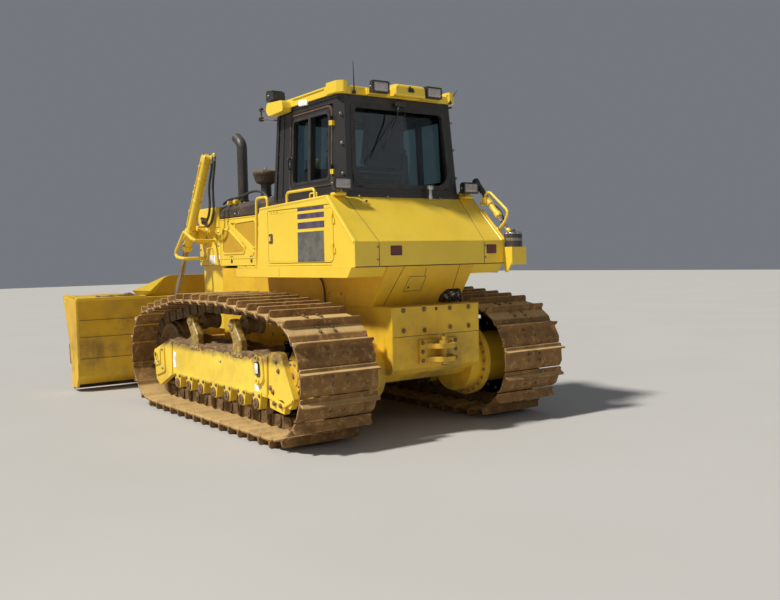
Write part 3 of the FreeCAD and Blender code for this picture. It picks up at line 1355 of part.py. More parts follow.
def handrails():
    """Grab rails on the side boxes' tops and step rails from the running boards to their front corners."""
    pieces = []
    y = BODY_HALF_WIDTH - RAIL_INSET
    low = side_box_top(GRAB_REAR) + FOOT_GAP
    long_rail = [
        (GRAB_FRONT, y, side_box_top(GRAB_FRONT) + FOOT_GAP), (GRAB_FRONT, y, GRAB_TOP),
        (GRAB_REAR, y, GRAB_TOP), (GRAB_REAR, y, low),
    ]
    step_rail = [
        (STEP_RAIL_FOOT, y, BODY_LOW - SEAT_GAP + FOOT_GAP),
        (STEP_RAIL_FOOT - 40, y, STEP_RAIL_TOP), (STEP_RAIL_REAR, y, STEP_RAIL_TOP),
        (STEP_RAIL_REAR, y, side_box_top(STEP_RAIL_REAR) + FOOT_GAP),
    ]
    pieces.append(bent_bar(long_rail, RAIL_RADIUS, RAIL_BEND))
    pieces.append(bent_bar(step_rail, RAIL_RADIUS, RAIL_BEND))
    return both(group(pieces))


def arm_profile():
    """C-frame side arm: pivot boss to the front cross box."""
    half = ARM_DEPTH / 2
    return [
        (LIFT_PIVOT_X - 105, LIFT_PIVOT_Z - 60, 80), (LIFT_PIVOT_X - 105, LIFT_PIVOT_Z + 105, 80),
        (LIFT_PIVOT_X + 200, LIFT_PIVOT_Z + 95, 200),
        (3400, ARM_FRONT_Z + half, 400), (ARM_FRONT, ARM_FRONT_Z + half),
        (ARM_FRONT, ARM_FRONT_Z - half),
        (3400, ARM_FRONT_Z - half - 20, 400), (LIFT_PIVOT_X + 150, LIFT_PIVOT_Z - 105, 200),
    ]


def lift_ear():
    """One plate of the bracket that holds a lift cylinder's rod."""
    return [
        (CROSS_REAR + 20, ARM_FRONT_Z + 60),
        (LIFT_EYE_X - 130, LIFT_EYE_Z - 20, 120), (LIFT_EYE_X - 45, LIFT_EYE_Z + 70, 60),
        (LIFT_EYE_X + 62, LIFT_EYE_Z + 58, 60),
        (LIFT_EYE_X + 62, LIFT_EYE_Z - 90, 60), (ARM_FRONT + 30, ARM_FRONT_Z - 60, 60),
        (CROSS_REAR + 20, ARM_FRONT_Z - 60),
    ]


def c_frame():
    """Blade push frame: two arms outside the hull, a front cross box and a neck that carries the yoke."""
    half = ARM_DEPTH / 2
    outer = ARM_INNER + ARM_THICK
    arm = prism_y(arm_profile(), ARM_INNER, outer)
    bore = round_bar(
        (LIFT_PIVOT_X, ARM_INNER - 1, LIFT_PIVOT_Z), (LIFT_PIVOT_X, outer + 1, LIFT_PIVOT_Z),
        LIFT_PIN_RADIUS + BORE_GAP)
    pin = round_bar(
        (ANGLE_REAR_X, ANGLE_REAR_Y, ARM_FRONT_Z),
        (ANGLE_REAR_X, ANGLE_REAR_Y, ANGLE_Z + ANGLE_EYE_WIDTH / 2 + 14),
        ANGLE_PIN_RADIUS)
    pin_seat = round_bar(
        (ANGLE_REAR_X, ANGLE_REAR_Y, ARM_FRONT_Z),
        (ANGLE_REAR_X, ANGLE_REAR_Y, ANGLE_Z - ANGLE_TUBE_RADIUS - RUNNING_GAP),
        ANGLE_EYE_RADIUS + 8)
    arm = joined([arm.cut(bore), pin, pin_seat])
    bracket_outer = LIFT_Y + LIFT_EYE_WIDTH / 2 + PANEL_GAP + LIFT_EAR
    cross = box(CROSS_REAR, ARM_FRONT, -outer, outer, ARM_FRONT_Z - half, ARM_FRONT_Z + half)
    wing = box(CROSS_REAR + 20, ARM_FRONT, outer - 1, bracket_outer, ARM_FRONT_Z - 60, ARM_FRONT_Z + 60)
    gusset = [
        (ARM_FRONT - 1, -330),
        (YOKE_AXIS_X - 190, -NECK_HALF), (YOKE_AXIS_X - 190, NECK_HALF), (ARM_FRONT - 1, 330),
    ]
    neck_side = [
        (ARM_FRONT - 1, ARM_FRONT_Z + 60),
        (YOKE_AXIS_X - 190, YOKE_AXIS_Z + 60), (YOKE_AXIS_X - 40, YOKE_AXIS_Z + 55),
        (YOKE_AXIS_X - 40, YOKE_AXIS_Z - 55),
        (YOKE_AXIS_X - 190, YOKE_AXIS_Z - 60), (ARM_FRONT - 1, ARM_FRONT_Z - half),
    ]
    neck = prism_y(neck_side, -NECK_HALF, NECK_HALF)
    neck_eye = Part.makeCylinder(
        NECK_EYE_RADIUS, NECK_EYE_HEIGHT, Vector(YOKE_AXIS_X, 0, YOKE_AXIS_Z - NECK_EYE_HEIGHT / 2), AXIS_Z)
    pieces = [arm, mirror(arm), cross, wing, mirror(wing), neck, neck_eye]
    pieces.append(prism_z(gusset, YOKE_AXIS_Z - 5, YOKE_AXIS_Z + 35))
    for sign in (-1, 1):
        for side in (-1, 1):
            middle = sign * LIFT_Y + side * (LIFT_EYE_WIDTH / 2 + PANEL_GAP + LIFT_EAR / 2)
            pieces.append(prism_y(lift_ear(), middle - LIFT_EAR / 2, middle + LIFT_EAR / 2))
    pin_bore = Part.makeCylinder(
        YOKE_PIN_RADIUS + BORE_GAP, NECK_EYE_HEIGHT + 2, Vector(
            YOKE_AXIS_X, 0, YOKE_AXIS_Z - NECK_EYE_HEIGHT / 2 - 1), AXIS_Z)
    return joined(pieces).cut(pin_bore)


def blade_mount():
    """Yoke that swings on the neck's pin: two cheeks, tilt pin, mast and the angle cylinders' beam."""
    reach = NECK_EYE_HEIGHT / 2 + RUNNING_GAP
    yoke_pin = Part.makeCylinder(
        YOKE_PIN_RADIUS, 2 * reach + 2, Vector(YOKE_AXIS_X, 0, YOKE_AXIS_Z - reach - 1), AXIS_Z)
    root = YOKE_AXIS_X + NECK_EYE_RADIUS + RUNNING_GAP
    bridge_half = reach + YOKE_CHEEK
    bridge = box(
        root, root + YOKE_BRIDGE, -YOKE_BRIDGE_HALF, YOKE_BRIDGE_HALF, YOKE_AXIS_Z - bridge_half,
        YOKE_AXIS_Z + bridge_half)
    pieces = [yoke_pin, bridge]
    for low in (YOKE_AXIS_Z - reach - YOKE_CHEEK, YOKE_AXIS_Z + reach):
        round_end = Part.makeCylinder(NECK_EYE_RADIUS, YOKE_CHEEK, Vector(YOKE_AXIS_X, 0, low), AXIS_Z)
        tongue = box(YOKE_AXIS_X, root + 1, -NECK_EYE_RADIUS, NECK_EYE_RADIUS, low, low + YOKE_CHEEK)
        pieces += [round_end, tongue]
    pin_root = (root + 12, 0, YOKE_AXIS_Z)
    pin = round_bar(pin_root, (TILT_PIN_FRONT, 0, YOKE_AXIS_Z), TILT_PIN_RADIUS)
    collar = round_bar(pin_root, (YOKE_WEB_X, 0, YOKE_AXIS_Z), TILT_PIN_RADIUS + 36)
    eye_half = ANGLE_EYE_WIDTH / 2 + PANEL_GAP
    beam_low = ANGLE_Z - eye_half - YOKE_PLATE
    beam_high = ANGLE_Z + eye_half + YOKE_PLATE
    mast_rear = TILT_X + TILT_TUBE_RADIUS + TUBE_COLLAR + RUNNING_GAP
    mast = box(YOKE_BEAM_REAR, YOKE_WEB_X, -75, 75, YOKE_AXIS_Z, TILT_Z - 130)
    crown_plan = [
        (-75, TILT_Z - 131), (TILT_REAR_Y - 55, TILT_Z - 50, 40), (TILT_REAR_Y - 55, TILT_Z + 55, 40),
        (TILT_REAR_Y + 60, TILT_Z + 55, 40), (75, TILT_Z - 131),
    ]
    crown = prism_x(crown_plan, mast_rear, YOKE_WEB_X)
    stub_root = (mast_rear + 1, TILT_REAR_Y, TILT_Z)
    stub = round_bar((TILT_X - TILT_EYE_WIDTH / 2 - 12, TILT_REAR_Y, TILT_Z), stub_root, TILT_PIVOT_RADIUS)
    stub_shoulder = (TILT_X + TILT_EYE_WIDTH / 2 + SEAT_GAP, TILT_REAR_Y, TILT_Z)
    stub_seat = round_bar(stub_shoulder, stub_root, TILT_PIVOT_RADIUS + 5)
    beam = box(YOKE_BEAM_REAR, YOKE_WEB_X + YOKE_WEB, -YOKE_BEAM_HALF, YOKE_BEAM_HALF, beam_low, beam_high)
    web = box(YOKE_WEB_X, YOKE_WEB_X + YOKE_WEB, -YOKE_HALF, YOKE_HALF, beam_low, beam_high)
    lug_rear = ANGLE_EYE_X - ANGLE_EYE_RADIUS
    plate_low = box(lug_rear, YOKE_WEB_X + 1, -YOKE_HALF, YOKE_HALF, beam_low, beam_low + YOKE_PLATE)
    plate_high = box(lug_rear, YOKE_WEB_X + 1, -YOKE_HALF, YOKE_HALF, beam_high - YOKE_PLATE, beam_high)
    return joined(pieces + [pin, collar, mast, crown, stub, stub_seat, beam, web, plate_low, plate_high])


def moldboard_section():
    """Curved face in front, flat back, as a closed section across the blade."""
    back = BLADE_BACK
    front_top = back + END_TOP_DEPTH - 15
    bowl = back + BOWL_DEPTH
    toe = back + EDGE_REACH - 60
    start = Vector(toe, 0, BLADE_LOW)
    middle = Vector(bowl, 0, BLADE_LOW + 0.42 * (BLADE_TOP - BLADE_LOW))
    stop = Vector(front_top, 0, BLADE_TOP + END_TOP_RISE)
    curve = Part.Arc(start, middle, stop).toShape()
    corners = [stop, Vector(back, 0, BLADE_TOP), Vector(back, 0, BLADE_LOW + 110), Vector(back + 90, 0,
        BLADE_LOW), start]
    edges = [curve] + [Part.LineSegment(a, b).toShape() for a, b in zip(corners, corners[1:])]
    return Part.Face(Part.Wire(Part.__sortEdges__(edges)))


def blade():
    """Moldboard with end plates and the spill guard."""
    half = BLADE_WIDTH / 2
    face = moldboard_section()
    face.translate(AXIS_Y * (-half + END_PLATE))
    board = face.extrude(AXIS_Y * (BLADE_WIDTH - 2 * END_PLATE))
    end = [
        (BLADE_BACK, BLADE_LOW + 110),
        (BLADE_BACK, BLADE_TOP, 10), (BLADE_BACK + END_TOP_DEPTH * 0.7, BLADE_TOP + 66, 60),
        (BLADE_BACK + END_TOP_DEPTH, BLADE_TOP + 45, 30), (BLADE_BACK + 510, BLADE_TOP - 90, 60),
        (BLADE_BACK + 330, 600, 400),
        (BLADE_BACK + 290, 330, 150), (BLADE_BACK + EDGE_REACH - 50, EDGE_CLEAR + 40),
        (BLADE_BACK + 90, BLADE_LOW - 40, 30),
    ]
    pieces = [board]
    for low in (-half, half - END_PLATE):
        pieces.append(prism_y(end, low, low + END_PLATE))
    guard_plan = [
        (-GUARD_HALF_LOW, BLADE_TOP - 40),
        (-GUARD_HALF_LOW, BLADE_TOP + 70, 40), (-GUARD_HALF_HIGH, GUARD_TOP, 60),
        (GUARD_HALF_HIGH, GUARD_TOP, 60),
        (GUARD_HALF_LOW, BLADE_TOP + 70, 40), (GUARD_HALF_LOW, BLADE_TOP - 40),
    ]
    pieces.append(prism_x(guard_plan, BLADE_BACK + 130, BLADE_BACK + 158))
    boss_rear = TILT_X + TILT_EYE_WIDTH / 2 + PANEL_GAP
    pieces.append(round_bar((boss_rear, TILT_EYE_Y, TILT_Z), (BLADE_BACK + 5, TILT_EYE_Y, TILT_Z),
        TILT_EYE_RADIUS + 8))
    bore = round_bar(
        (BLADE_BACK - 1, 0, YOKE_AXIS_Z), (TILT_PIN_FRONT + 5, 0, YOKE_AXIS_Z), TILT_PIN_RADIUS + BORE_GAP)
    return joined(pieces).cut(bore)


def cutting_edge():
    """Bolted edge strip with wider end bits, just clear of the ground."""
    half = BLADE_WIDTH / 2
    toe = BLADE_BACK + EDGE_REACH
    side = [
        (toe - 8, EDGE_CLEAR),
        (toe - EDGE_THICK - 8, EDGE_CLEAR + 10), (toe - EDGE_THICK - 62 + 8, BLADE_LOW + 120),
        (toe - 62 + 14, BLADE_LOW + 120),
    ]
    return prism_y(side, -half + END_PLATE + SEAT_GAP, half - END_PLATE - SEAT_GAP)


def along(start, stop, distance):
    start = Vector(*start)
    return start + (Vector(*stop) - start).normalize() * distance


def cylinder_tube(start, stop, low, high, radius, rod_radius):
    """Hydraulic tube from low to high along a line, with a head and a bore for its rod."""
    a = along(start, stop, low)
    b = along(start, stop, high)
    run = b - a
    solid = Part.makeCylinder(radius, run.Length - TUBE_CAP / 2, a, run)
    head = Part.makeCylinder(radius + TUBE_COLLAR, TUBE_CAP, along(start, stop, high - TUBE_CAP), run)
    bore_start = along(start, stop, low + TUBE_CAP / 2)
    bore = Part.makeCylinder(rod_radius + ROD_GAP, (b - bore_start).Length + 1, bore_start, run)
    return joined([solid, head]).cut(bore)


def cylinder_rod(start, stop, low, rod_radius, eye_radius, eye_width, eye_axis):
    """Chrome rod from its inner end to its eye at stop."""
    a = along(start, stop, low)
    b = Vector(*stop)
    rod = Part.makeCylinder(rod_radius, (b - a).Length, a, b - a)
    eye = Part.makeCylinder(eye_radius, eye_width, b - eye_axis * (eye_width / 2), eye_axis)
    return joined([rod, eye])


def pivot_eye(place, radius, width, pin_radius, eye_axis):
    """Eye at a tube's foot, bored for its pin."""
    start = Vector(*place) - eye_axis * (width / 2)
    eye = Part.makeCylinder(radius, width, start, eye_axis)
    bore = Part.makeCylinder(pin_radius + BORE_GAP, width, start, eye_axis)
    return eye, bore


LIFT_START = (TRUNNION_X, LIFT_Y, TRUNNION_Z)
LIFT_STOP = (LIFT_EYE_X, LIFT_Y, LIFT_EYE_Z)
ANGLE_START = (ANGLE_REAR_X, ANGLE_REAR_Y, ANGLE_Z)
ANGLE_STOP = (ANGLE_EYE_X, ANGLE_EYE_Y, ANGLE_Z)
TILT_START = (TILT_X, TILT_REAR_Y, TILT_Z)
TILT_STOP = (TILT_X, TILT_EYE_Y, TILT_Z)


def lift_barrel():
    """Long tube that swings on a trunnion beside the nose."""
    tube = cylinder_tube(
        LIFT_START, LIFT_STOP, -LIFT_TUBE_ABOVE, LIFT_TUBE_BELOW, LIFT_TUBE_RADIUS, LIFT_ROD_RADIUS)
    a = along(LIFT_START, LIFT_STOP, -70)
    b = along(LIFT_START, LIFT_STOP, 70)
    ring = Part.makeCylinder(LIFT_TUBE_RADIUS + TRUNNION_COLLAR, 140, a, b - a)
    stub = round_bar((TRUNNION_X, NOSE_HALF_WIDTH + 25, TRUNNION_Z), LIFT_START, TRUNNION_RADIUS)
    whole = Part.makeCylinder(LIFT_ROD_RADIUS + ROD_GAP, 142, along(LIFT_START, LIFT_STOP, -71), b - a)
    return joined([tube, ring, stub]).cut(whole)


def lift_rod():
    return cylinder_rod(
        LIFT_START, LIFT_STOP, LIFT_ROD_INSIDE, LIFT_ROD_RADIUS, LIFT_EYE_RADIUS, LIFT_EYE_WIDTH, AXIS_Y)


def angle_barrel():
    tube = cylinder_tube(
        ANGLE_START, ANGLE_STOP, ANGLE_TUBE_START, ANGLE_TUBE_END, ANGLE_TUBE_RADIUS, ANGLE_ROD_RADIUS)
    eye, bore = pivot_eye(ANGLE_START, ANGLE_EYE_RADIUS, ANGLE_EYE_WIDTH, ANGLE_PIN_RADIUS, AXIS_Z)
    return joined([tube, eye]).cut(bore)


def angle_rod():
    return cylinder_rod(
        ANGLE_START, ANGLE_STOP, ANGLE_ROD_INSIDE, ANGLE_ROD_RADIUS, ANGLE_EYE_RADIUS, ANGLE_EYE_WIDTH,
        AXIS_Z)


def tilt_barrel():
    tube = cylinder_tube(
        TILT_START, TILT_STOP, TILT_TUBE_START, TILT_TUBE_END, TILT_TUBE_RADIUS, TILT_ROD_RADIUS)
    eye, bore = pivot_eye(TILT_START, TILT_EYE_RADIUS, TILT_EYE_WIDTH, TILT_PIVOT_RADIUS, AXIS_X)
    return joined([tube, eye]).cut(bore)


def tilt_rod():
    return cylinder_rod(
        TILT_START, TILT_STOP, TILT_ROD_INSIDE, TILT_ROD_RADIUS, TILT_EYE_RADIUS, TILT_EYE_WIDTH, AXIS_X)


def side_pair(name, shape):
    return {name + "_left": shape, name + "_right": mirror(shape)}


def build():
    nodes = {}
    nodes.update(side_pair("track", track()))
    nodes.update(side_pair("track_frame", track_frame()))
    nodes["sprockets"] = both(sprocket())
    nodes["idlers"] = both(idler())
    nodes["track_rollers"] = both(track_rollers())
    nodes["final_drives"] = both(group(final_drive()))
    nodes["axles"] = axles()
    nodes["main_frame"] = hull()
    nodes["rear_plate"] = rear_plate()
    nodes["hitch"] = hitch()
    nodes["fuel_tank"] = fuel_tank()
    nodes.update(side_pair("side_box", fender()))
    nodes["running_boards"] = both(running_board())
    nodes.update(side_pair("service_door", service_door()))
    nodes["door_hinges"] = both(door_hinges())
    nodes["engine"] = engine()
    nodes["hood"] = hood()
    nodes["cowl"] = cowl()
    nodes.update(side_pair("engine_panel", engine_panel()))
    nodes["nose"] = nose()
    nodes["radiator"] = joined([radiator(), fan_stub()])
    nodes["grille"] = grille()
    nodes["fan"] = fan()
    nodes["exhaust"] = exhaust()
    nodes["pre_cleaner"] = pre_cleaner()
    nodes.update(cab_parts())
    nodes["cab_roof"] = cab_roof()
    nodes["cab_glass"] = cab_glass()
    nodes.update(side_pair("cab_door", cab_door()))
    nodes.update(side_pair("door_glass", door_glass()))
    nodes["seat"] = seat()
    nodes["console"] = console()
    nodes["lamps"] = lamps()
    nodes["handrails"] = handrails()
    nodes["corner_gear"] = corner_gear()
    nodes["canister"] = canister()
    nodes["jack_rod"] = round_bar(
        along(Vector(*JACK_MIDDLE), Vector(*JACK_FOOT), ROD_BREAK), JACK_FOOT, JACK_RADIUS - 11)
    nodes["c_frame"] = c_frame()
    nodes["blade"] = blade()
    nodes["cutting_edge"] = cutting_edge()
    nodes.update(side_pair("lift_barrel", lift_barrel()))
    nodes.update(side_pair("lift_rod", lift_rod()))
    nodes["blade_mount"] = blade_mount()
    nodes.update(side_pair("angle_barrel", angle_barrel()))
    nodes.update(side_pair("angle_rod", angle_rod()))
    nodes["tilt_barrel"] = tilt_barrel()
    nodes["tilt_rod"] = tilt_rod()
    return nodes


def whole_box(nodes):
    total = FreeCAD.BoundBox()
    for shape in nodes.values():
        total.add(shape.optimalBoundingBox(False))
    return total


def main():
    os.makedirs("parts", exist_ok=True)
    nodes = build()
    total = whole_box(nodes)
    slide = Vector(-(total.XMin + total.XMax) / 2, 0, 0)
    for name, shape in nodes.items():
        moved = shape.copy()
        moved.translate(slide)
        moved.exportStep(os.path.join("parts", name + ".step"))
    print("links", LINK_COUNT, "idler x", round(IDLER_X, 1), "slide", round(slide.x, 2))
    print("size", round(total.XLength), round(total.YLength), round(total.ZLength), "low", round(total.ZMin,
        2))


main()
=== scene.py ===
import json
import math
import random
import bmesh
import bpy
from mathutils import Matrix, Vector, noise


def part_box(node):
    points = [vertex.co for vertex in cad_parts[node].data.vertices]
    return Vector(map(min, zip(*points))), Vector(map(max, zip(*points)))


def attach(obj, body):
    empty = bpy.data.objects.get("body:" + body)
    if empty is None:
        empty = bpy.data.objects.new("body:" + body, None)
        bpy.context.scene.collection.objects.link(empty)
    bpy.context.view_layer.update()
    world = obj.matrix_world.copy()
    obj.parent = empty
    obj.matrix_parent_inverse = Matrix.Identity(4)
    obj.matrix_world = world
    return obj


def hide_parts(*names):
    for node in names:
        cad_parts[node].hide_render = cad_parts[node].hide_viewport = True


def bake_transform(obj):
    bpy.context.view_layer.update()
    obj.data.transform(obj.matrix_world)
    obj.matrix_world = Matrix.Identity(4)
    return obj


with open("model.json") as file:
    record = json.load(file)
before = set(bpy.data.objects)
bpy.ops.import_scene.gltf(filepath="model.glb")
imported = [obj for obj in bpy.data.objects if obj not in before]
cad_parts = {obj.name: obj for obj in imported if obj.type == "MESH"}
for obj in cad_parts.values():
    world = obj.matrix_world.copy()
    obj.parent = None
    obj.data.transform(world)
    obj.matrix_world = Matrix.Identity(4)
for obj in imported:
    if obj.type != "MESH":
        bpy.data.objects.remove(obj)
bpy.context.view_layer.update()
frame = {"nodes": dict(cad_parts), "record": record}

SLIDE = -2285.12
LEFT, RIGHT = 1, -1
SIDES = ((LEFT, "left"), (RIGHT, "right"))
UP, DOWN = (0, 0, 1), (0, 0, -1)
FORE, AFT = (1, 0, 0), (-1, 0, 0)
LEFTWARD = (0, 1, 0)


def P(x, y, z):
    """A place given in millimetres, with x counted from the sprocket's centre."""
    return Vector(((x + SLIDE) / 1000, y / 1000, z / 1000))


# materials


class Net:
    """A material's node tree, built by short calls."""

    def __init__(self, name):
        self.mat = bpy.data.materials.new(name)
        self.mat.use_nodes = True
        self.tree = self.mat.node_tree
        self.tree.nodes.clear()
        self.out = self.tree.nodes.new("ShaderNodeOutputMaterial")
        self.bsdf = self.tree.nodes.new("ShaderNodeBsdfPrincipled")
        self.tree.links.new(self.bsdf.outputs[0], self.out.inputs[0])
        coords = self.tree.nodes.new("ShaderNodeTexCoord")
        self.place = coords.outputs["Object"]
        self.geo = self.tree.nodes.new("ShaderNodeNewGeometry")
        split = self.node("ShaderNodeSeparateXYZ", (self.place,))
        self.y, self.z = split.outputs[1:]
        tilt = self.node("ShaderNodeSeparateXYZ", (self.geo.outputs["Normal"],))
        self.up = tilt.outputs[2]

    def put(self, socket, value):
        if isinstance(value, bpy.types.NodeSocket):
            self.tree.links.new(value, socket)
        elif isinstance(value, tuple) and len(value) == 3 and socket.type == "RGBA":
            socket.default_value = (*value, 1)
        else:
            socket.default_value = value

    def node(self, kind, inputs=(), **fields):
        made = self.tree.nodes.new(kind)
        for key, value in fields.items():
            setattr(made, key, value)
        pairs = inputs.items() if isinstance(inputs, dict) else enumerate(inputs)
        for key, value in pairs:
            self.put(made.inputs[key], value)
        return made

    def noise(self, scale, detail=4.0, rough=0.55, place=None):
        return self.node("ShaderNodeTexNoise", {
            "Vector": place or self.place, "Scale": scale, "Detail": detail, "Roughness": rough}).outputs[0]

    def cells(self, scale):
        return self.node("ShaderNodeTexVoronoi", {"Vector": self.place, "Scale": scale}).outputs[0]

    def stretched(self, x, y, z):
        inputs = {0: self.place, 1: (x, y, z)}
        return self.node("ShaderNodeVectorMath", inputs, operation="MULTIPLY").outputs[0]

    def math(self, operation, a, b=0.0, clamp=False):
        return self.node("ShaderNodeMath", {0: a, 1: b}, operation=operation, use_clamp=clamp).outputs[0]

    def span(self, value, low, high, new_low=0.0, new_high=1.0):
        return self.node("ShaderNodeMapRange", {
            0: value, 1: low, 2: high, 3: new_low, 4: new_high}, interpolation_type="SMOOTHSTEP").outputs[0]

    def mix(self, share, a, b):
        made = self.node("ShaderNodeMix", data_type="RGBA")
        self.put(made.inputs[0], share)
        self.put(made.inputs[6], a)
        self.put(made.inputs[7], b)
        return made.outputs[2]

    def bump(self, height, strength, distance, under=None):
        inputs = {"Height": height, "Strength": strength, "Distance": distance}
        if under is not None:
            inputs["Normal"] = under
        return self.node("ShaderNodeBump", inputs).outputs[0]

    def soft_edge(self, radius):
        return self.node("ShaderNodeBevel", {"Radius": radius}, samples=4).outputs[0]

    def edge(self, rounded):
        """Large where the surface turns sharply: where paint wears and dust is rubbed off, and where the track steel
        gets its painted highlight.
        """
        inputs = {0: rounded, 1: self.geo.outputs["Normal"]}
        meet = self.node("ShaderNodeVectorMath", inputs, operation="DOT_PRODUCT")
        return self.span(self.math("SUBTRACT", 1.0, meet.outputs["Value"]), 0.02, 0.12)

    def set(self, **inputs):
        names = {
            "color": "Base Color", "rough": "Roughness", "metal": "Metallic", "normal": "Normal", "ior": "IOR",
            "clear": "Transmission Weight", "coat": "Coat Weight", "coat_rough": "Coat Roughness",
            "sheen": "Sheen Weight"}
        for key, value in inputs.items():
            self.put(self.bsdf.inputs[names[key]], value)
        return self.mat


DUST = (0.30, 0.185, 0.085)
MUD = (0.115, 0.062, 0.026)
BAND_SOIL = (0.21, 0.125, 0.045)
CHIP_BROWN = (0.16, 0.12, 0.09)
CHIP_GREY = (0.2, 0.17, 0.14)


def dusty(n, paint, rough, amount, low=0.25, high=1.5):
    """Adds the site's brown dust to a paint: on ledges, low down and in streaks."""
    ledge = n.span(n.up, 0.35, 0.95)
    depth = n.span(n.z, low, high, 1.0, 0.12)
    cloud = n.noise(2.2, 6, 0.62)
    grain = n.noise(38, 5, 0.7)
    streak = n.noise(7, 5, 0.6, n.stretched(1, 1, 0.16))
    film = n.math("MULTIPLY", n.span(cloud, 0.38, 0.72), depth)
    film = n.math("ADD", film, n.math("MULTIPLY", n.span(streak, 0.52, 0.78, 0, 0.35), depth))
    film = n.math("ADD", film, n.math("MULTIPLY", ledge, n.span(cloud, 0.3, 0.75, 0.05, 0.6)))
    film = n.math("MULTIPLY", film, n.span(grain, 0.25, 0.7, 0.55, 1.1))
    film = n.math("MULTIPLY", film, amount, clamp=True)
    colour = n.mix(n.span(grain, 0.35, 0.7), MUD, DUST)
    shade = n.mix(film, paint, colour)
    return shade, n.mix(film, (rough, rough, rough), (0.9, 0.9, 0.9)), film, grain


def painted(name, light, deep, rough, amount, chips=CHIP_BROWN, wear=0.35, coat=0.0, low=0.25, high=1.5,
            band=None):
    """Machine paint: slight fade, orange peel, rounded edges, chips, and dust where it gathers."""
    n = Net(name)
    fade = n.noise(1.3, 3, 0.5)
    paint = n.mix(n.span(fade, 0.3, 0.7), light, deep)
    rounded = n.soft_edge(0.005)
    chip = n.math("MULTIPLY", n.edge(rounded), n.span(n.noise(24, 6, 0.75), 0.56, 0.66))
    paint = n.mix(n.math("MULTIPLY", chip, wear), paint, chips)
    fleck = n.span(n.noise(60, 3, 0.8), 0.72, 0.78, 0, wear * 0.6)
    paint = n.mix(fleck, paint, chips)
    if band:
        edge = n.math("ADD", n.z, n.math("MULTIPLY", n.noise(6, 5, 0.6), 0.10))
        patches = n.span(n.noise(26, 5, 0.7), 0.3, 0.6, 0.45, 0.95)
        soiled = n.math("MULTIPLY", n.span(edge, band[0], band[1]), patches)
        paint = n.mix(soiled, paint, BAND_SOIL)
    shade, finish, film, grain = dusty(n, paint, rough, amount, low, high)
    peel = n.bump(n.noise(140, 2, 0.5), 0.05, 0.002, rounded)
    normal = n.bump(n.math("MULTIPLY", film, grain), 0.5, 0.006, peel)
    dent = n.bump(n.noise(3.1, 2, 0.5), 0.10, 0.02, normal)
    return n.set(color=shade, rough=finish, normal=dent, coat=coat, coat_rough=0.25)


YELLOW = painted("yellow_paint", (0.88, 0.63, 0.052), (0.82, 0.56, 0.036), 0.38, 0.42, coat=0.25)
FRAME_YELLOW = painted(
    "dirty_yellow_paint", (0.84, 0.53, 0.026), (0.74, 0.43, 0.018), 0.5, 0.85, wear=0.8, low=0.15, high=1.9)
TRACK_YELLOW = painted(
    "track_frame_paint", (0.89, 0.65, 0.062), (0.83, 0.58, 0.044), 0.42, 0.36, wear=0.5, low=0.15, high=1.9,
    band=(0.695, 0.775))
BLADE_YELLOW = painted(
    "blade_yellow_paint", (0.80, 0.50, 0.030), (0.68, 0.40, 0.022), 0.45, 0.85, wear=0.7, low=0.2, high=1.7)
HOOD_BLACK = painted(
    "hood_black_paint", (0.028, 0.027, 0.027), (0.04, 0.037, 0.034), 0.45, 0.6, CHIP_GREY, 0.3, low=0.5, high=4.5)
CAB_DARK = painted(
    "cab_dark_paint", (0.017, 0.017, 0.020), (0.027, 0.025, 0.025), 0.42, 0.30, CHIP_GREY, 0.25, coat=0.1)
SMOOTH_GREY = painted(
    "stack_grey", (0.030, 0.032, 0.034), (0.042, 0.042, 0.042), 0.38, 0.32, (0.2, 0.12, 0.07), 0.5, low=1.5,
    high=6.0)
BOWL_BROWN = painted(
    "bowl_brown", (0.040, 0.028, 0.022), (0.060, 0.040, 0.028), 0.5, 0.7, CHIP_GREY, 0.3, low=0.5, high=4.5)


def metal(name, light, deep, rough, shine, dust=0.5, scale=9.0):
    """Bare or worn metal: cloudy tone, paler edges, fine scratches and dust."""
    n = Net(name)
    base = n.mix(n.span(n.noise(scale, 6, 0.65), 0.35, 0.68), deep, light)
    rounded = n.soft_edge(0.003)
    bright = tuple(min(1, c * 2.2 + 0.05) for c in light)
    base = n.mix(n.math("MULTIPLY", n.edge(rounded), 0.45), base, bright)
    shade, finish, film, grain = dusty(n, base, rough, dust, 0.2, 2.2)
    scratch = n.noise(30, 4, 0.7, n.stretched(1, 0.2, 3))
    normal = n.bump(scratch, 0.12, 0.002, rounded)
    normal = n.bump(n.math("MULTIPLY", film, grain), 0.5, 0.005, normal)
    return n.set(color=shade, rough=finish, metal=n.span(film, 0.1, 0.6, shine, 0.0), normal=normal)


STEEL = metal("bright_bolt_steel", (0.36, 0.33, 0.28), (0.20, 0.17, 0.13), 0.42, 0.85, 0.6, 30)
IRON = metal("worn_iron", (0.30, 0.195, 0.090), (0.150, 0.090, 0.038), 0.62, 0.45, 1.0)
CAST = metal("dark_cast_iron", (0.185, 0.108, 0.042), (0.085, 0.048, 0.019), 0.7, 0.25, 0.9)
CHROME = metal("hard_chrome", (0.78, 0.79, 0.80), (0.66, 0.67, 0.68), 0.14, 1.0, 0.12, 4)
ROD_STEEL = metal("dusty_rod", (0.50, 0.43, 0.34), (0.34, 0.27, 0.19), 0.24, 0.9, 0.4, 5)
BREATHER = metal("breather_zinc", (0.62, 0.63, 0.64), (0.45, 0.46, 0.47), 0.3, 0.85, 0.15, 20)


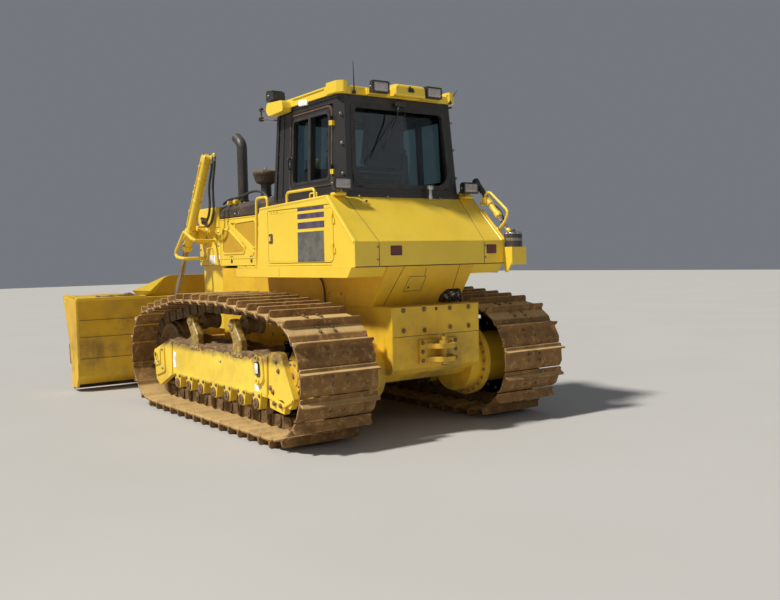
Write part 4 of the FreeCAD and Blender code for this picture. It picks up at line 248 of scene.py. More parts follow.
def shoe_material():
    """Track steel: brown with dark specks of dried soil and paler dust patches, up-facing faces painted paler (partly
    dust, partly painted sunlight) and edges painted brighter (partly polished grouser tips, partly painted highlight).
    """
    n = Net("track_shoe_steel")
    cloud = n.noise(5.5, 7, 0.66)
    grain = n.noise(55, 5, 0.72)
    base = n.mix(n.span(cloud, 0.3, 0.7), (0.155, 0.076, 0.020), (0.300, 0.160, 0.048))
    base = n.mix(n.span(n.noise(17, 6, 0.7), 0.52, 0.66, 0, 0.7), base, (0.50, 0.300, 0.110))
    base = n.mix(n.span(grain, 0.56, 0.72, 0, 0.5), base, (0.080, 0.043, 0.017))
    # up-facing faces mixed towards pale tan: partly dust, partly painted sunlight on the tops
    dust_and_sunlit_top = n.math("MULTIPLY", n.span(n.up, 0.45, 0.95), n.span(cloud, 0.25, 0.6, 0.5, 0.95))
    base = n.mix(dust_and_sunlit_top, base, (0.60, 0.41, 0.165))
    rounded = n.soft_edge(0.006)
    # edges mixed towards bright tan: partly polished wear, partly a painted highlight
    polish_and_edge_highlight = n.math("MULTIPLY", n.edge(rounded), n.span(cloud, 0.3, 0.6, 0.4, 0.95))
    base = n.mix(polish_and_edge_highlight, base, (0.70, 0.50, 0.25))
    height = n.math("ADD", n.math("MULTIPLY", cloud, 0.7), n.math("MULTIPLY", grain, 0.4))
    normal = n.bump(height, 0.7, 0.012, rounded)
    rough = n.mix(n.edge(rounded), (0.82, 0.82, 0.82), (0.45, 0.45, 0.45))
    return n.set(color=base, rough=rough, metal=n.math("MULTIPLY", n.edge(rounded), 0.5), normal=normal)


SHOE = shoe_material()


def soil_material():
    """Dried brown soil with lumps and dark grains."""
    n = Net("dried_soil")
    cloud = n.noise(9, 8, 0.7)
    grain = n.noise(70, 6, 0.75)
    base = n.mix(n.span(cloud, 0.3, 0.7), (0.13, 0.072, 0.031), (0.33, 0.205, 0.098))
    base = n.mix(n.span(grain, 0.5, 0.7, 0, 0.6), base, (0.075, 0.042, 0.020))
    height = n.math("ADD", cloud, n.math("MULTIPLY", grain, 0.5))
    return n.set(color=base, rough=0.95, normal=n.bump(height, 1.0, 0.02))


SOIL = soil_material()


def rubber(name, colour, rough=0.55):
    """Rubber, plastic or film: one tone with a fine grain and a little dust."""
    n = Net(name)
    base = n.mix(n.span(n.noise(12, 5, 0.6), 0.35, 0.7), colour, tuple(c * 1.7 + 0.008 for c in colour))
    shade, finish, film, grain = dusty(n, base, rough, 0.5, 0.3, 3.2)
    normal = n.bump(n.noise(220, 2, 0.6), 0.2, 0.0015)
    return n.set(color=shade, rough=finish, normal=normal)


RUBBER = rubber("black_rubber", (0.018, 0.018, 0.019))
PLASTIC = rubber("black_plastic", (0.022, 0.022, 0.024), 0.42)
DECAL = rubber("dark_decal_film", (0.055, 0.043, 0.078), 0.35)
DECAL_GREY = rubber("grey_decal_film", (0.082, 0.086, 0.080), 0.4)
SEAM = rubber("dark_seam", (0.030, 0.018, 0.007), 0.8)
WHITE = rubber("blank_white_plate", (0.72, 0.72, 0.70), 0.45)


def glass_material():
    """Tinted safety glass with a thin dusty film."""
    n = Net("tinted_glass")
    dirt = 0.025
    film = n.math("MULTIPLY", n.span(n.noise(3.2, 6, 0.62), 0.42, 0.8), dirt)
    film = n.math("ADD", film, n.span(n.noise(90, 3, 0.7), 0.68, 0.8, 0, dirt * 0.4), clamp=True)
    colour = n.mix(film, (0.33, 0.44, 0.46), (0.52, 0.42, 0.30))
    finish = n.mix(film, (0.02, 0.02, 0.02), (0.6, 0.6, 0.6))
    return n.set(color=colour, rough=finish, clear=n.math("SUBTRACT", 1.0, film), ior=1.45)


GLASS = glass_material()


def fabric_material():
    """Dark woven seat cloth."""
    n = Net("woven_seat_fabric")
    weave = n.node("ShaderNodeTexWave", {"Vector": n.place, "Scale": 160, "Distortion": 1.5, "Detail": 2})
    cross = n.node(
        "ShaderNodeTexWave", {"Vector": n.place, "Scale": 150, "Distortion": 1.2}, bands_direction="Z")
    knit = n.math("MULTIPLY", weave.outputs[0], cross.outputs[0])
    base = n.mix(knit, (0.022, 0.022, 0.026), (0.075, 0.073, 0.078))
    base = n.mix(n.span(n.noise(4, 4), 0.4, 0.7, 0, 0.4), base, (0.12, 0.10, 0.08))
    return n.set(color=base, rough=0.9, sheen=0.3, normal=n.bump(knit, 0.5, 0.002))


FABRIC = fabric_material()
BROWN_RUBBER = rubber("dusty_brown_rubber", (0.070, 0.036, 0.018), 0.75)
TRIM_GREY = rubber("cab_lining", (0.050, 0.050, 0.052), 0.8)


def lens_material():
    """Fluted lamp glass over its bowl."""
    n = Net("fluted_lens")
    wave = n.math("SINE", n.math("MULTIPLY", n.y, 420.0))
    base = n.mix(n.span(n.z, 0.0, 4.0), (0.30, 0.26, 0.24), (0.46, 0.40, 0.37))
    base = n.mix(n.span(n.noise(14, 3), 0.4, 0.7, 0, 0.5), base, (0.62, 0.58, 0.55))
    fluted = n.bump(wave, 0.35, 0.003)
    return n.set(color=base, rough=0.16, metal=0.35, coat=1.0, coat_rough=0.04, normal=fluted)


LENS_FACE = lens_material()


def reflector_material():
    """Red reflector with its small prisms."""
    n = Net("red_reflector")
    cell = n.cells(260)
    base = n.mix(n.span(cell, 0.1, 0.6), (0.30, 0.012, 0.008), (0.10, 0.004, 0.004))
    return n.set(color=base, rough=0.18, coat=1.0, coat_rough=0.05, normal=n.bump(cell, 0.4, 0.002))


REFLECTOR = reflector_material()


def mesh_material(name, light, deep):
    """Expanded steel mesh behind the engine panels' openings; the holes get the deep colour as painted shade of the
    space behind.
    """
    n = Net(name)
    turn = n.node("ShaderNodeVectorRotate", {"Vector": n.place, "Axis": LEFTWARD, "Angle": math.radians(45)})
    parts = n.node("ShaderNodeSeparateXYZ", (turn.outputs[0],)).outputs
    holes = []
    for part in (parts[0], parts[2]):
        wave = n.math("SINE", n.math("MULTIPLY", part, 560.0))
        holes.append(n.span(wave, -0.2, 0.5))
    hole = n.math("MULTIPLY", holes[0], holes[1])
    # holes take the deep colour: painted shade of the dark space behind the mesh or between the fins
    base = n.mix(hole, light, deep)
    shade, finish, film, grain = dusty(n, base, 0.5, 0.5, 0.3, 3.0)
    return n.set(color=shade, rough=finish, normal=n.bump(hole, 0.8, -0.004))


YELLOW_MESH = mesh_material("yellow_mesh", (0.72, 0.41, 0.012), (0.07, 0.045, 0.012))
CORE = mesh_material("radiator_core", (0.05, 0.05, 0.05), (0.008, 0.008, 0.008))


def concrete():
    """The plain pale floor."""
    n = Net("pale_floor")
    base = n.mix(n.span(n.noise(0.5, 5, 0.5), 0.3, 0.7), (0.46, 0.445, 0.42), (0.475, 0.46, 0.44))
    return n.set(color=base, rough=0.85, normal=n.bump(n.noise(30, 4, 0.6), 0.08, 0.004))


FLOOR = concrete()

# shapes


def rim_inset(points, distance):
    """A flat outline moved inwards by a distance (outwards where negative), corner by corner."""
    area = sum(a[0] * b[1] - b[0] * a[1] for a, b in zip(points, points[1:] + points[:1]))
    sign = 1 if area > 0 else -1
    moved = []
    for index, here in enumerate(points):
        before, after = points[index - 1], points[(index + 1) % len(points)]
        a = Vector((here[0] - before[0], here[1] - before[1])).normalized()
        b = Vector((after[0] - here[0], after[1] - here[1])).normalized()
        normal = Vector((-a.y - b.y, a.x + b.x))
        if normal.length < 1e-6:
            normal = Vector((-a.y, a.x))
        normal.normalize()
        reach = distance * sign / max(0.35, math.sqrt(max(0.0, (1 + a.dot(b)) / 2)))
        moved.append((here[0] + normal.x * reach, here[1] + normal.y * reach))
    return moved


def corner_arc(before, here, after, radius, steps):
    """Points of the arc that rounds the corner at here."""
    a, b = before - here, after - here
    half = a.angle(b) / 2
    reach = min(radius / math.tan(half), a.length * 0.48, b.length * 0.48)
    radius = reach * math.tan(half)
    a, b = a.normalized(), b.normalized()
    start, stop = here + a * reach, here + b * reach
    centre = here + (a + b).normalized() * (radius / math.sin(half))
    arc = []
    for step in range(steps + 1):
        share = step / steps
        spoke = ((start - centre) * (1 - share) + (stop - centre) * share).normalized()
        arc.append(centre + spoke * radius)
    return arc


def rounded(points, radius, steps=4):
    """A flat outline with its corners rounded; a point may carry its own radius as a third value."""
    made = []
    count = len(points)
    for index, point in enumerate(points):
        own = point[2] if len(point) > 2 else radius
        here = Vector(point[:2])
        before, after = Vector(points[index - 1][:2]), Vector(points[(index + 1) % count][:2])
        if own <= 0:
            made.append(tuple(here))
        else:
            made += [tuple(spot) for spot in corner_arc(before, here, after, own, steps)]
    return made


def rect(a, b, c, d):
    """A rectangle's outline, from one corner to the opposite one."""
    return [(a, b), (c, b), (c, d), (a, d)]


def softened(outline, radii, steps):
    """An outline with a radius of its own for each corner."""
    return rounded([(*spot, radius) for spot, radius in zip(outline, radii)], 0, steps)


def around(count, start=0.0):
    """Cosine and sine of angles evenly spaced round a circle; start is in steps."""
    angles = [2 * math.pi * (i + start) / count for i in range(count)]
    return [(math.cos(angle), math.sin(angle)) for angle in angles]


PLANES = {
    "x": lambda a, b, h: Vector((h, a, b)),
    "y": lambda a, b, h: Vector((a, h, b)),
    "z": lambda a, b, h: Vector((a, b, h)),
}


class Kit:
    """Collects plain shapes in millimetres and turns them into one object that rides on a body."""

    def __init__(self, name, body, material, slot, more=()):
        self.name, self.body, self.slot = name, body, slot
        self.materials = [material, *more]
        self.verts, self.faces, self.marks = [], [], []
        self.mat = 0

    def add(self, verts, faces):
        base = len(self.verts)
        self.verts += [Vector(v) for v in verts]
        self.faces += [tuple(i + base for i in face) for face in faces]
        self.marks += [self.mat] * len(faces)

    def stack(self, rings, caps=True, loop=False):
        """Skins between rings of equal length; a loop joins the last ring to the first."""
        count = len(rings[0])
        verts = [v for ring in rings for v in ring]
        faces = []
        spans = len(rings) if loop else len(rings) - 1
        for level in range(spans):
            a, b = level * count, (level + 1) % len(rings) * count
            for i in range(count):
                j = (i + 1) % count
                faces.append((a + i, a + j, b + j, b + i))
        if caps and not loop:
            faces.append(tuple(reversed(range(count))))
            faces.append(tuple(range((len(rings) - 1) * count, len(rings) * count)))
        self.add(verts, faces)

    def plate(self, axis, points, low, high, chamfer=2.0):
        """A flat outline between two heights, its rims chamfered."""
        place = PLANES[axis]
        chamfer = min(chamfer, (high - low) * 0.45)
        if chamfer <= 0:
            levels = [(low, 0), (high, 0)]
        else:
            levels = [(low, chamfer), (low + chamfer, 0), (high - chamfer, 0), (high, chamfer)]
        rings = []
        for height, inset in levels:
            outline = rim_inset(points, inset) if inset else points
            rings.append([place(a, b, height) for a, b in outline])
        self.stack(rings)

    def panel(self, side, points, inner, outer, chamfer=2.0):
        """A plate on the left or right side, between two distances from the middle."""
        self.plate("y", points, *sorted((side * inner, side * outer)), chamfer)

    def block(self, low, high, chamfer=2.0, axis="z"):
        """A box from its low to its high corner."""
        a, b, h = {"x": (1, 2, 0), "y": (0, 2, 1), "z": (0, 1, 2)}[axis]
        corners = [(low[a], low[b]), (high[a], low[b]), (high[a], high[b]), (low[a], high[b])]
        if chamfer > 0:
            reach = min(high[a] - low[a], high[b] - low[b], high[h] - low[h])
            chamfer = min(chamfer, reach * 0.3)
            corners = rounded(corners, chamfer, 1)
        self.plate(axis, corners, low[h], high[h], chamfer)

    def lathe(self, start, along, profile, sides=28, loop=False):
        """A turned shape: profile is (distance along, radius) from a start place."""
        along = Vector(along).normalized()
        across = along.orthogonal().normalized()
        other = along.cross(across)
        rings = []
        for distance, radius in profile:
            centre = Vector(start) + along * distance
            rings.append([centre + (across * c + other * s) * radius for c, s in around(sides)])
        self.stack(rings, loop=loop)

    def turn(self, start, along, profile, sides=48):
        """A turned ring: profile is a closed run of (distance along, radius)."""
        self.lathe(start, along, profile, sides, True)

    def rod(self, start, stop, radius, sides=24, chamfer=2.0):
        start, stop = Vector(start), Vector(stop)
        length = (stop - start).length
        c = min(chamfer, radius * 0.4, length * 0.4)
        profile = [(0, radius - c), (c, radius), (length - c, radius), (length, radius - c)]
        self.lathe(start, stop - start, profile, sides)

    def bolt(self, place, along, radius=14.0, height=11.0, washer=True):
        """A hexagon head on a washer."""
        along = Vector(along).normalized()
        place = Vector(place)
        if washer:
            self.lathe(place, along, [(-1, radius * 1.3), (2.2, radius * 1.3), (3, radius * 1.22)], 14)
        self.lathe(place, along, [(2, radius), (height - 2.5, radius), (height, radius * 0.82)], 6)

    def bolts(self, places, along, radius=14.0, height=11.0):
        for place in places:
            self.bolt(place, along, radius, height)

    def bolt_ring(self, centre, along, reach, count, radius, height, start=0.0):
        """A circle of bolts round an axis that runs across the machine (y) or upwards (z)."""
        x, y, z = centre
        for c, s in around(count, start):
            place = (x + reach * c, y + reach * s, z) if along == UP else (x + reach * c, y, z + reach * s)
            self.bolt(place, along, radius, height)

    def sweep(self, path, radius, sides=14, caps=True):
        """A round bar along a path of places."""
        path = [Vector(p) for p in path]
        tangents = []
        for i in range(len(path)):
            a, b = path[max(0, i - 1)], path[min(len(path) - 1, i + 1)]
            tangents.append((b - a).normalized())
        up = tangents[0].orthogonal().normalized()
        rings = []
        for i, (place, tangent) in enumerate(zip(path, tangents)):
            up = (up - tangent * up.dot(tangent)).normalized()
            side = tangent.cross(up)
            size = radius[i] if isinstance(radius, (list, tuple)) else radius
            rings.append([place + (up * a + side * b) * size for a, b in around(sides)])
        self.stack(rings, caps)

    def line(self, start, stop, normal, width=5.0, height=0.8, sunk=2.0):
        """A narrow flat strip along a surface: a seam, a weld or a moulding."""
        start, stop, normal = Vector(start), Vector(stop), Vector(normal).normalized()
        side = (stop - start).normalized().cross(normal) * (width / 2)
        rings = []
        for place in (start, stop):
            rings.append([
                place - side - normal * sunk, place + side - normal * sunk,
                place + side * 0.8 + normal * height, place - side * 0.8 + normal * height])
        self.stack(rings)

    def weld(self, start, stop, normal, size=7.0, step=14.0):
        """A run of overlapping beads."""
        start, stop, normal = Vector(start), Vector(stop), Vector(normal).normalized()
        run = (stop - start).normalized()
        side = run.cross(normal)
        count = max(2, int((stop - start).length / step))
        rings = []
        for i in range(count * 2 + 1):
            place = start + (stop - start) * (i / (count * 2))
            wide = size * (1.0 if i % 2 else 0.72)
            foot, shoulder = side * wide, side * wide * 0.7
            rings.append([
                place - foot - normal * 3, place - shoulder + normal * wide * 0.5, place + normal * wide * 0.8,
                place + shoulder + normal * wide * 0.5, place + foot - normal * 3])
        self.stack(rings)

    def pipe(self, points, radius, bend, sides=14, steps=7):
        """A bar along straight runs with round bends."""
        self.sweep(round_path(points, bend, steps), radius, sides)

    def mirrored(self):
        """Adds the same shapes on the machine's other side."""
        count = len(self.verts)
        self.verts += [Vector((v.x, -v.y, v.z)) for v in self.verts]
        self.faces += [tuple(count + i for i in reversed(face)) for face in self.faces]
        self.marks += list(self.marks)

    def flipped(self, first=0):
        """Moves the shapes added since first to the machine's other side."""
        for spot in self.verts[first:]:
            spot.y = -spot.y

    def make(self, replaces=(), sharp=32.0):
        """Builds the object, which rides on its body and may stand for CAD nodes."""
        mesh = bpy.data.meshes.new(self.name)
        verts = [((v.x + SLIDE) / 1000, v.y / 1000, v.z / 1000) for v in self.verts]
        mesh.from_pydata(verts, [], self.faces)
        for material in self.materials:
            mesh.materials.append(material)
        mesh.polygons.foreach_set("material_index", self.marks)
        made = bmesh.new()
        made.from_mesh(mesh)
        bmesh.ops.recalc_face_normals(made, faces=made.faces)
        made.to_mesh(mesh)
        made.free()
        mesh.shade_smooth()
        mesh.set_sharp_from_angle(angle=math.radians(sharp))
        mesh.update()
        obj = bpy.data.objects.new(self.name, mesh)
        bpy.context.scene.collection.objects.link(obj)
        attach(obj, self.body)
        if replaces:
            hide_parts(*replaces)
        return obj


def round_path(points, bend, steps=7):
    """Straight runs joined by arcs."""
    places = [Vector(p) for p in points]
    path = [places[0]]
    for index in range(1, len(places) - 1):
        before, here, after = places[index - 1:index + 2]
        if (before - here).angle(after - here) > math.radians(176):
            path.append(here)
        else:
            path += corner_arc(before, here, after, bend, steps)
    path.append(places[-1])
    return path


def baked(obj):
    """A new mesh of the object as its modifiers leave it."""
    return bpy.data.meshes.new_from_object(obj.evaluated_get(bpy.context.evaluated_depsgraph_get()))


def hose(name, points, radius, between=None):
    """A smooth hose on the chassis; given between = (other body, start, end), it is instead baked to a plain mesh that
    rides on no body, and the other body, start and end go unused.
    """
    data = bpy.data.curves.new(name, "CURVE")
    data.dimensions = "3D"
    spline = data.splines.new("NURBS")
    spline.points.add(len(points) - 1)
    for spot, point in zip(spline.points, points):
        spot.co = (*P(*point), 1)
    spline.order_u = 3
    spline.use_endpoint_u = True
    spline.resolution_u = 10
    data.bevel_depth = radius / 1000
    data.bevel_resolution = 4
    data.use_fill_caps = True
    data.materials.append(RUBBER)
    obj = bpy.data.objects.new(name, data)
    bpy.context.scene.collection.objects.link(obj)
    if between:
        bpy.context.view_layer.update()
        shape = baked(obj)
        bpy.data.objects.remove(obj)
        obj = bpy.data.objects.new(name, shape)
        shape.shade_smooth()
        bpy.context.scene.collection.objects.link(obj)
        other, start, end = between
        tuple(P(*start))
        tuple(P(*end))
        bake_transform(obj)
    else:
        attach(obj, "chassis")

# crawler chain

PITCH, TEETH, HALF_GAUGE = 203.2, 27, 1115.0
PIN_LOW = 65.0 + 90.0
SPROCKET_R = PITCH / 2 / math.sin(2 * math.pi / TEETH)
SPROCKET_Z = PIN_LOW + SPROCKET_R
IDLER_R = math.hypot(350.0 + 55.0, PITCH / 2)
IDLER_Z = PIN_LOW + IDLER_R
CARRIERS, CARRIER_Z, CARRIER_R = (1040.0, 2040.0), 990.0, 145.0
ROLLER_Z = PIN_LOW + 155.0


def belt(idler_x):
    """Arcs and runs of the pins' path round sprocket, carrier rollers and idler."""
    wheels = [(0.0, SPROCKET_Z, SPROCKET_R)] + [(x, CARRIER_Z, CARRIER_R) for x in CARRIERS]
    wheels.append((idler_x, IDLER_Z, IDLER_R))
    leave = []
    for index, (x, z, r) in enumerate(wheels):
        nx, nz, nr = wheels[(index + 1) % 4]
        distance = math.hypot(nx - x, nz - z)
        leave.append(math.atan2(nz - z, nx - x) - math.asin((r - nr) / distance))
    runs = []
    for index, (x, z, r) in enumerate(wheels):
        arrive, go = leave[index - 1], leave[index]
        turn = (arrive - go) % (2 * math.pi)

        def arc(share, x=x, z=z, r=r, arrive=arrive, turn=turn):
            angle = arrive + math.pi / 2 - turn * share
            return x + r * math.cos(angle), z + r * math.sin(angle)

        runs.append((turn / (2 * math.asin(min(1.0, PITCH / 2 / r))), arc))
        nx, nz, nr = wheels[(index + 1) % 4]
        side = (-math.sin(go), math.cos(go))
        a, b = (x + r * side[0], z + r * side[1]), (nx + nr * side[0], nz + nr * side[1])

        def straight(share, a=a, b=b):
            return a[0] + (b[0] - a[0]) * share, a[1] + (b[1] - a[1]) * share

        runs.append((math.dist(a, b) / PITCH, straight))
    return runs


LINKS = round(sum(length for length, place in belt(2970.0)))
IDLER_X = 2970.0
for turn in range(20):
    IDLER_X += (LINKS - sum(length for length, place in belt(IDLER_X))) * PITCH / 2


def pins():
    """Places of all pins, one pitch apart along the belt."""
    runs, places, passed, index = belt(IDLER_X), [], 0.0, 0
    for link in range(LINKS):
        while link > passed + runs[index][0]:
            passed += runs[index][0]
            index += 1
        places.append(runs[index][1]((link - passed) / runs[index][0]))
    return places


PINS = pins()

SHOE_OUT = [
    (-31, 56), (-21, 63), (-11, 68.5), (-2, 73), (6, 79.5), (14, 85.5), (24, 89), (40, 90), (84, 90), (128, 90.5),
    (135, 93.5), (140, 101), (143.5, 146), (146, 152), (151, 155), (157, 154.5), (161, 150), (164.5, 101),
    (169, 94), (176, 91), (186, 90), (195, 87.5), (199.5, 82), (200.3, 76),
]
SHOE_IN = [(197, 73), (180, 75.5), (90, 76), (30, 76), (16, 73.5), (4, 67), (-8, 60), (-20, 53), (-28, 48.5)]
HALF_SHOE = 380
PLATE_TOP = 92
RAIL = 72


def shoe(kit, frame_of, wobble):
    """One shoe: a curled plate with its grouser, clipped corners and four bolts."""
    def ring(y, drop=1.0, inset=0):
        spots = []
        for u, w in SHOE_OUT:
            if w > PLATE_TOP:
                w = PLATE_TOP + (w - PLATE_TOP) * drop
            spots.append((min(max(u, -31 + inset), 200.3 - inset), w))
        spots += [(min(max(u, -28 + inset), 197 - inset), w) for u, w in SHOE_IN]
        return [frame_of(u, y, w) for u, w in spots]

    ends = ((0, 0.74, 10), (2, 0.80, 7), (9, 0.95, 2), (20, 1.0, 0))
    rings = [ring(-HALF_SHOE + reach, drop, inset) for reach, drop, inset in ends]
    for y in (-240, -130, -40, 60, 150, 250):
        rings.append(ring(y, 1.0 - wobble * 0.03 * abs(math.sin(y * 0.017 + wobble * 9))))
    rings += [ring(HALF_SHOE - reach, drop, inset) for reach, drop, inset in reversed(ends)]
    kit.mat = 0
    kit.stack(rings)
    kit.mat = 1
    for y in (-RAIL, RAIL):
        for u in (50, 112):
            place = frame_of(u, y, 89.0)
            out = (frame_of(u, y, 100.0) - place).normalized()
            kit.lathe(place, out, [(0, 21), (3, 21), (3.5, 17), (15, 17), (18, 13)], 6)


def link_plates(kit, frame_of):
    """Two rails of a link with their bosses, pin ends and the bushing between them."""
    near = rounded([(-44, -36, 30), (-34, 42, 34), (20, 76, 10), (118, 76, 4), (118, -55, 4), (4, -55, 18)], 4, 3)
    far = rounded([(86, -55, 4), (86, 76, 4), (180, 76, 10), (238, 40, 34), (248, -36, 30), (198, -55, 18)], 4, 3)
    for rail in (-RAIL, RAIL):
        outward = 1 if rail > 0 else -1
        for outline, low, high in ((near, -23, 4), (far, -4, 23)):
            a, b = sorted((rail + outward * low, rail + outward * high))
            rings = []
            for y, inset in ((a, 2.5), (a + 2.5, 0), (b - 2.5, 0), (b, 2.5)):
                spots = rim_inset(outline, inset) if inset else outline
                rings.append([frame_of(u, y, w) for u, w in spots])
            kit.stack(rings)
        start = frame_of(PITCH, rail + outward * 18, 0)
        along = frame_of(PITCH, rail + outward * 40, 0) - start
        kit.lathe(start, along, [(0, 24), (9, 24), (11, 20), (11, 9), (8, 7)], 14)
    kit.rod(frame_of(0, -50, 0), frame_of(0, 50, 0), 32, 16, 2)


def chain(side, name):
    """A track's shoes and links, one of each at every pin."""
    rng = random.Random(41 if side > 0 else 83)
    shoes = Kit("shoes_" + name, "chassis", SHOE, "track", (IRON,))
    links = Kit("links_" + name, "chassis", CAST, "track")
    for index, pin in enumerate(PINS):
        after = PINS[(index + 1) % LINKS]
        length = Vector((after[0] - pin[0], 0, after[1] - pin[1])).normalized()
        out = Vector((-length.z, 0, length.x))
        origin = Vector((pin[0], side * HALF_GAUGE, pin[1]))

        def frame_of(u, y, w, length=length, out=out, origin=origin):
            return origin + length * u + out * w + Vector((0, y * side, 0))

        shoe(shoes, frame_of, rng.random())
        link_plates(links, frame_of)
    shoes.make(["track_" + name], sharp=40)
    links.make()


def sprocket(side, name):
    """Toothed segments bolted on a dished hub."""
    kit = Kit("sprocket_ring_" + name, "chassis", CAST, "worn_steel", (STEEL,))
    points = []
    step = 2 * math.pi / TEETH
    for tooth in range(TEETH):
        middle = -math.pi / 2 + (tooth + 0.5) * step
        flank = [(-33 + 3 * (0.5 - share) ** 2, share) for share in (0.42, 0.34, 0.24)]
        flank += [(-12, 0.19), (12, 0.12), (18, 0.06)]
        points += [(SPROCKET_R + rise, middle - share * step) for rise, share in flank]
        points += [(SPROCKET_R + rise, middle + share * step) for rise, share in reversed(flank)]
    outline = [(r * math.cos(a), SPROCKET_Z + r * math.sin(a)) for r, a in points]
    y = side * HALF_GAUGE
    kit.plate("y", outline, y - 38, y + 38, 6)
    kit.mat = 1
    for face in (-1, 1):
        kit.bolt_ring((0, y + face * 38, SPROCKET_Z), (0, face, 0), 335, 18, 15, 13, 0.5)
    kit.make()


for side, name in SIDES:
    chain(side, name)
    sprocket(side, name)

# tracks' frames, rollers, idlers, drives and soil


def track_frame_trim(side, name):
    """Roller caps, the yoke's box, plates, the tie-down loop and the guard's bolts."""
    kit = Kit("frame_trim_" + name, "chassis", TRACK_YELLOW, "yellow", (STEEL, WHITE, IRON, PLASTIC))
    face = 1330
    kit.plate("y", rounded([(2792, 392), (3072, 318), (3072, 622), (2815, 690)], 34), face - 2, face + 16, 5)
    kit.plate("y", rounded([(2895, 470), (3060, 440), (3060, 632), (2895, 660)], 26), face + 12, face + 30, 5)
    kit.plate("y", rounded([(2585, 392), (2612, 392), (2596, 740), (2569, 740)], 8), face - 2, face + 13, 4)
    kit.plate("y", rounded(rect(655, 392, 2560, 420), 8), face - 2, face + 6, 3)
    kit.lathe((3003, face + 30, 568), (0, 1, 0), [(-2, 52), (7, 52), (10, 46), (10, 34), (2, 33)], 32)
    kit.mat = 4
    kit.lathe((3003, face + 24, 568), (0, 1, 0), [(0, 31), (9, 31)], 24)
    kit.mat = 1
    for x, z in ((2930, 500), (2850, 640), (2850, 430), (3045, 470)):
        kit.bolt((x, face + (30 if x > 2895 else 16), z), (0, 1, 0), 15, 12)
    kit.bolt((1342, face, 628), (0, 1, 0), 12, 8)
    kit.mat = 2
    kit.block((2482, face - 1, 462), (2560, face + 4, 634), 3, "y")
    kit.block((518, face + 10, 583), (604, face + 15, 678), 3, "y")
    kit.block((520, face - 1, 400), (612, face + 4, 478), 3, "y")
    kit.mat = 0
    loop_out = rounded([(400, 500), (610, 486), (628, 742), (430, 756)], 70, 7)
    loop_in = rounded([(448, 548), (570, 540), (582, 694), (470, 702)], 44, 7)
    loop_rings = []
    for y, spread in ((face - 2, 0), (face + 14, 0), (face + 22, 7)):
        loop_rings.append([Vector((a, y, b)) for a, b in rim_inset(loop_out, spread)])
    for y, spread in ((face + 22, -7), (face + 14, 0), (face - 2, 0)):
        loop_rings.append([Vector((a, y, b)) for a, b in rim_inset(loop_in, spread)])
    kit.stack(loop_rings, loop=True)
    for x, z, r in ((512, 726, 36), (508, 517, 34)):
        kit.lathe((x, face + 4, z), (0, 1, 0), [(0, r), (28, r), (32, r - 4), (32, 17), (20, 16)], 26)
    kit.mat = 4
    kit.plate("y", loop_in, face - 4, face + 3, 1)
    kit.mat = 0
    kit.plate("y", rounded([(344, 396), (374, 392), (382, 740), (330, 762)], 12), face - 2, face + 20, 5)
    kit.plate("y", rounded([(-100, 392), (44, 330), (330, 384), (330, 420), (50, 366), (-104, 424)], 10), face - 2, face + 16, 5)
    kit.plate("y", rounded([(60, 268), (320, 296), (330, 392), (44, 338)], 14), face - 58, face + 4, 6)
    kit.mat = 3
    for x, z in ((303, 477), (257, 444), (216, 352), (96, 345), (150, 640), (190, 720)):
        kit.bolt((x, face + (16 if z < 400 else 0), z), (0, 1, 0), 19, 15)
    for index, x in enumerate(ROLLER_PLACES):
        kit.mat = 0
        for inner in (False, True):
            low, high = (face - 3, face + 13) if not inner else (900 - 13, 900 + 3)
            out = 1 if not inner else -1
            y = face + 13 if not inner else 900 - 13
            kit.mat = 0
            cap = [(x - 88, 424), (x - 88, 392), (x - 62, 276), (x - 40, 256), (x + 40, 256), (x + 62, 276), (x + 88, 392), (x + 88, 424)]
            kit.plate("y", rounded(cap, 16), low, high, 4)
            kit.mat = 3
            kit.lathe((x, y, ROLLER_Z), (0, out, 0), [(-2, 50), (12, 50), (16, 45), (16, 26), (10, 24)], 28)
            kit.lathe((x, y, ROLLER_Z), (0, out, 0), [(-1, 20), (20, 20), (22, 16)], 6)
            for dx in (-60, 60):
                kit.bolt((x + dx, y, 385), (0, out, 0), 15, 13)
            kit.rod((x - 46, face - 30 if not inner else 930, 240), (x - 46, face - 30 if not inner else 930, 264), 15, 6)
            kit.rod((x + 46, face - 30 if not inner else 930, 240), (x + 46, face - 30 if not inner else 930, 264), 15, 6)
    kit.mat = 0
    for x in CARRIERS:
        arm = [(x - 176, 716), (x - 168, 862), (x - 62, 985), (x - 54, 1056), (x + 74, 1056), (x + 70, 940), (x - 2, 846), (x + 12, 716)]
        kit.plate("y", rounded(arm, 46, 6), 1262, 1338, 12)
        kit.lathe((x + 10, 1336, 994), (0, 1, 0), [(-2, 48), (12, 48), (16, 42), (16, 20), (10, 18)], 30)
        kit.plate("y", rounded([(x - 200, 700), (x + 36, 700), (x + 20, 742), (x - 184, 742)], 10), face - 2, face + 12, 4)
    kit.mat = 1
    for x in CARRIERS:
        kit.bolt((x + 10, 1348, 994), (0, 1, 0), 17, 10)
        for dx in (-150, -60):
            kit.bolt((x + dx, face + 12, 722), (0, 1, 0), 13, 11)
    if side == RIGHT:
        for spot in kit.verts:
            spot.y = -spot.y
    kit.make()


ROLLER_PLACES = [560.0 + (IDLER_X - 505.0 - 560.0) / 6 * i for i in range(7)]
track_frame_trim(LEFT, "left")
track_frame_trim(RIGHT, "right")


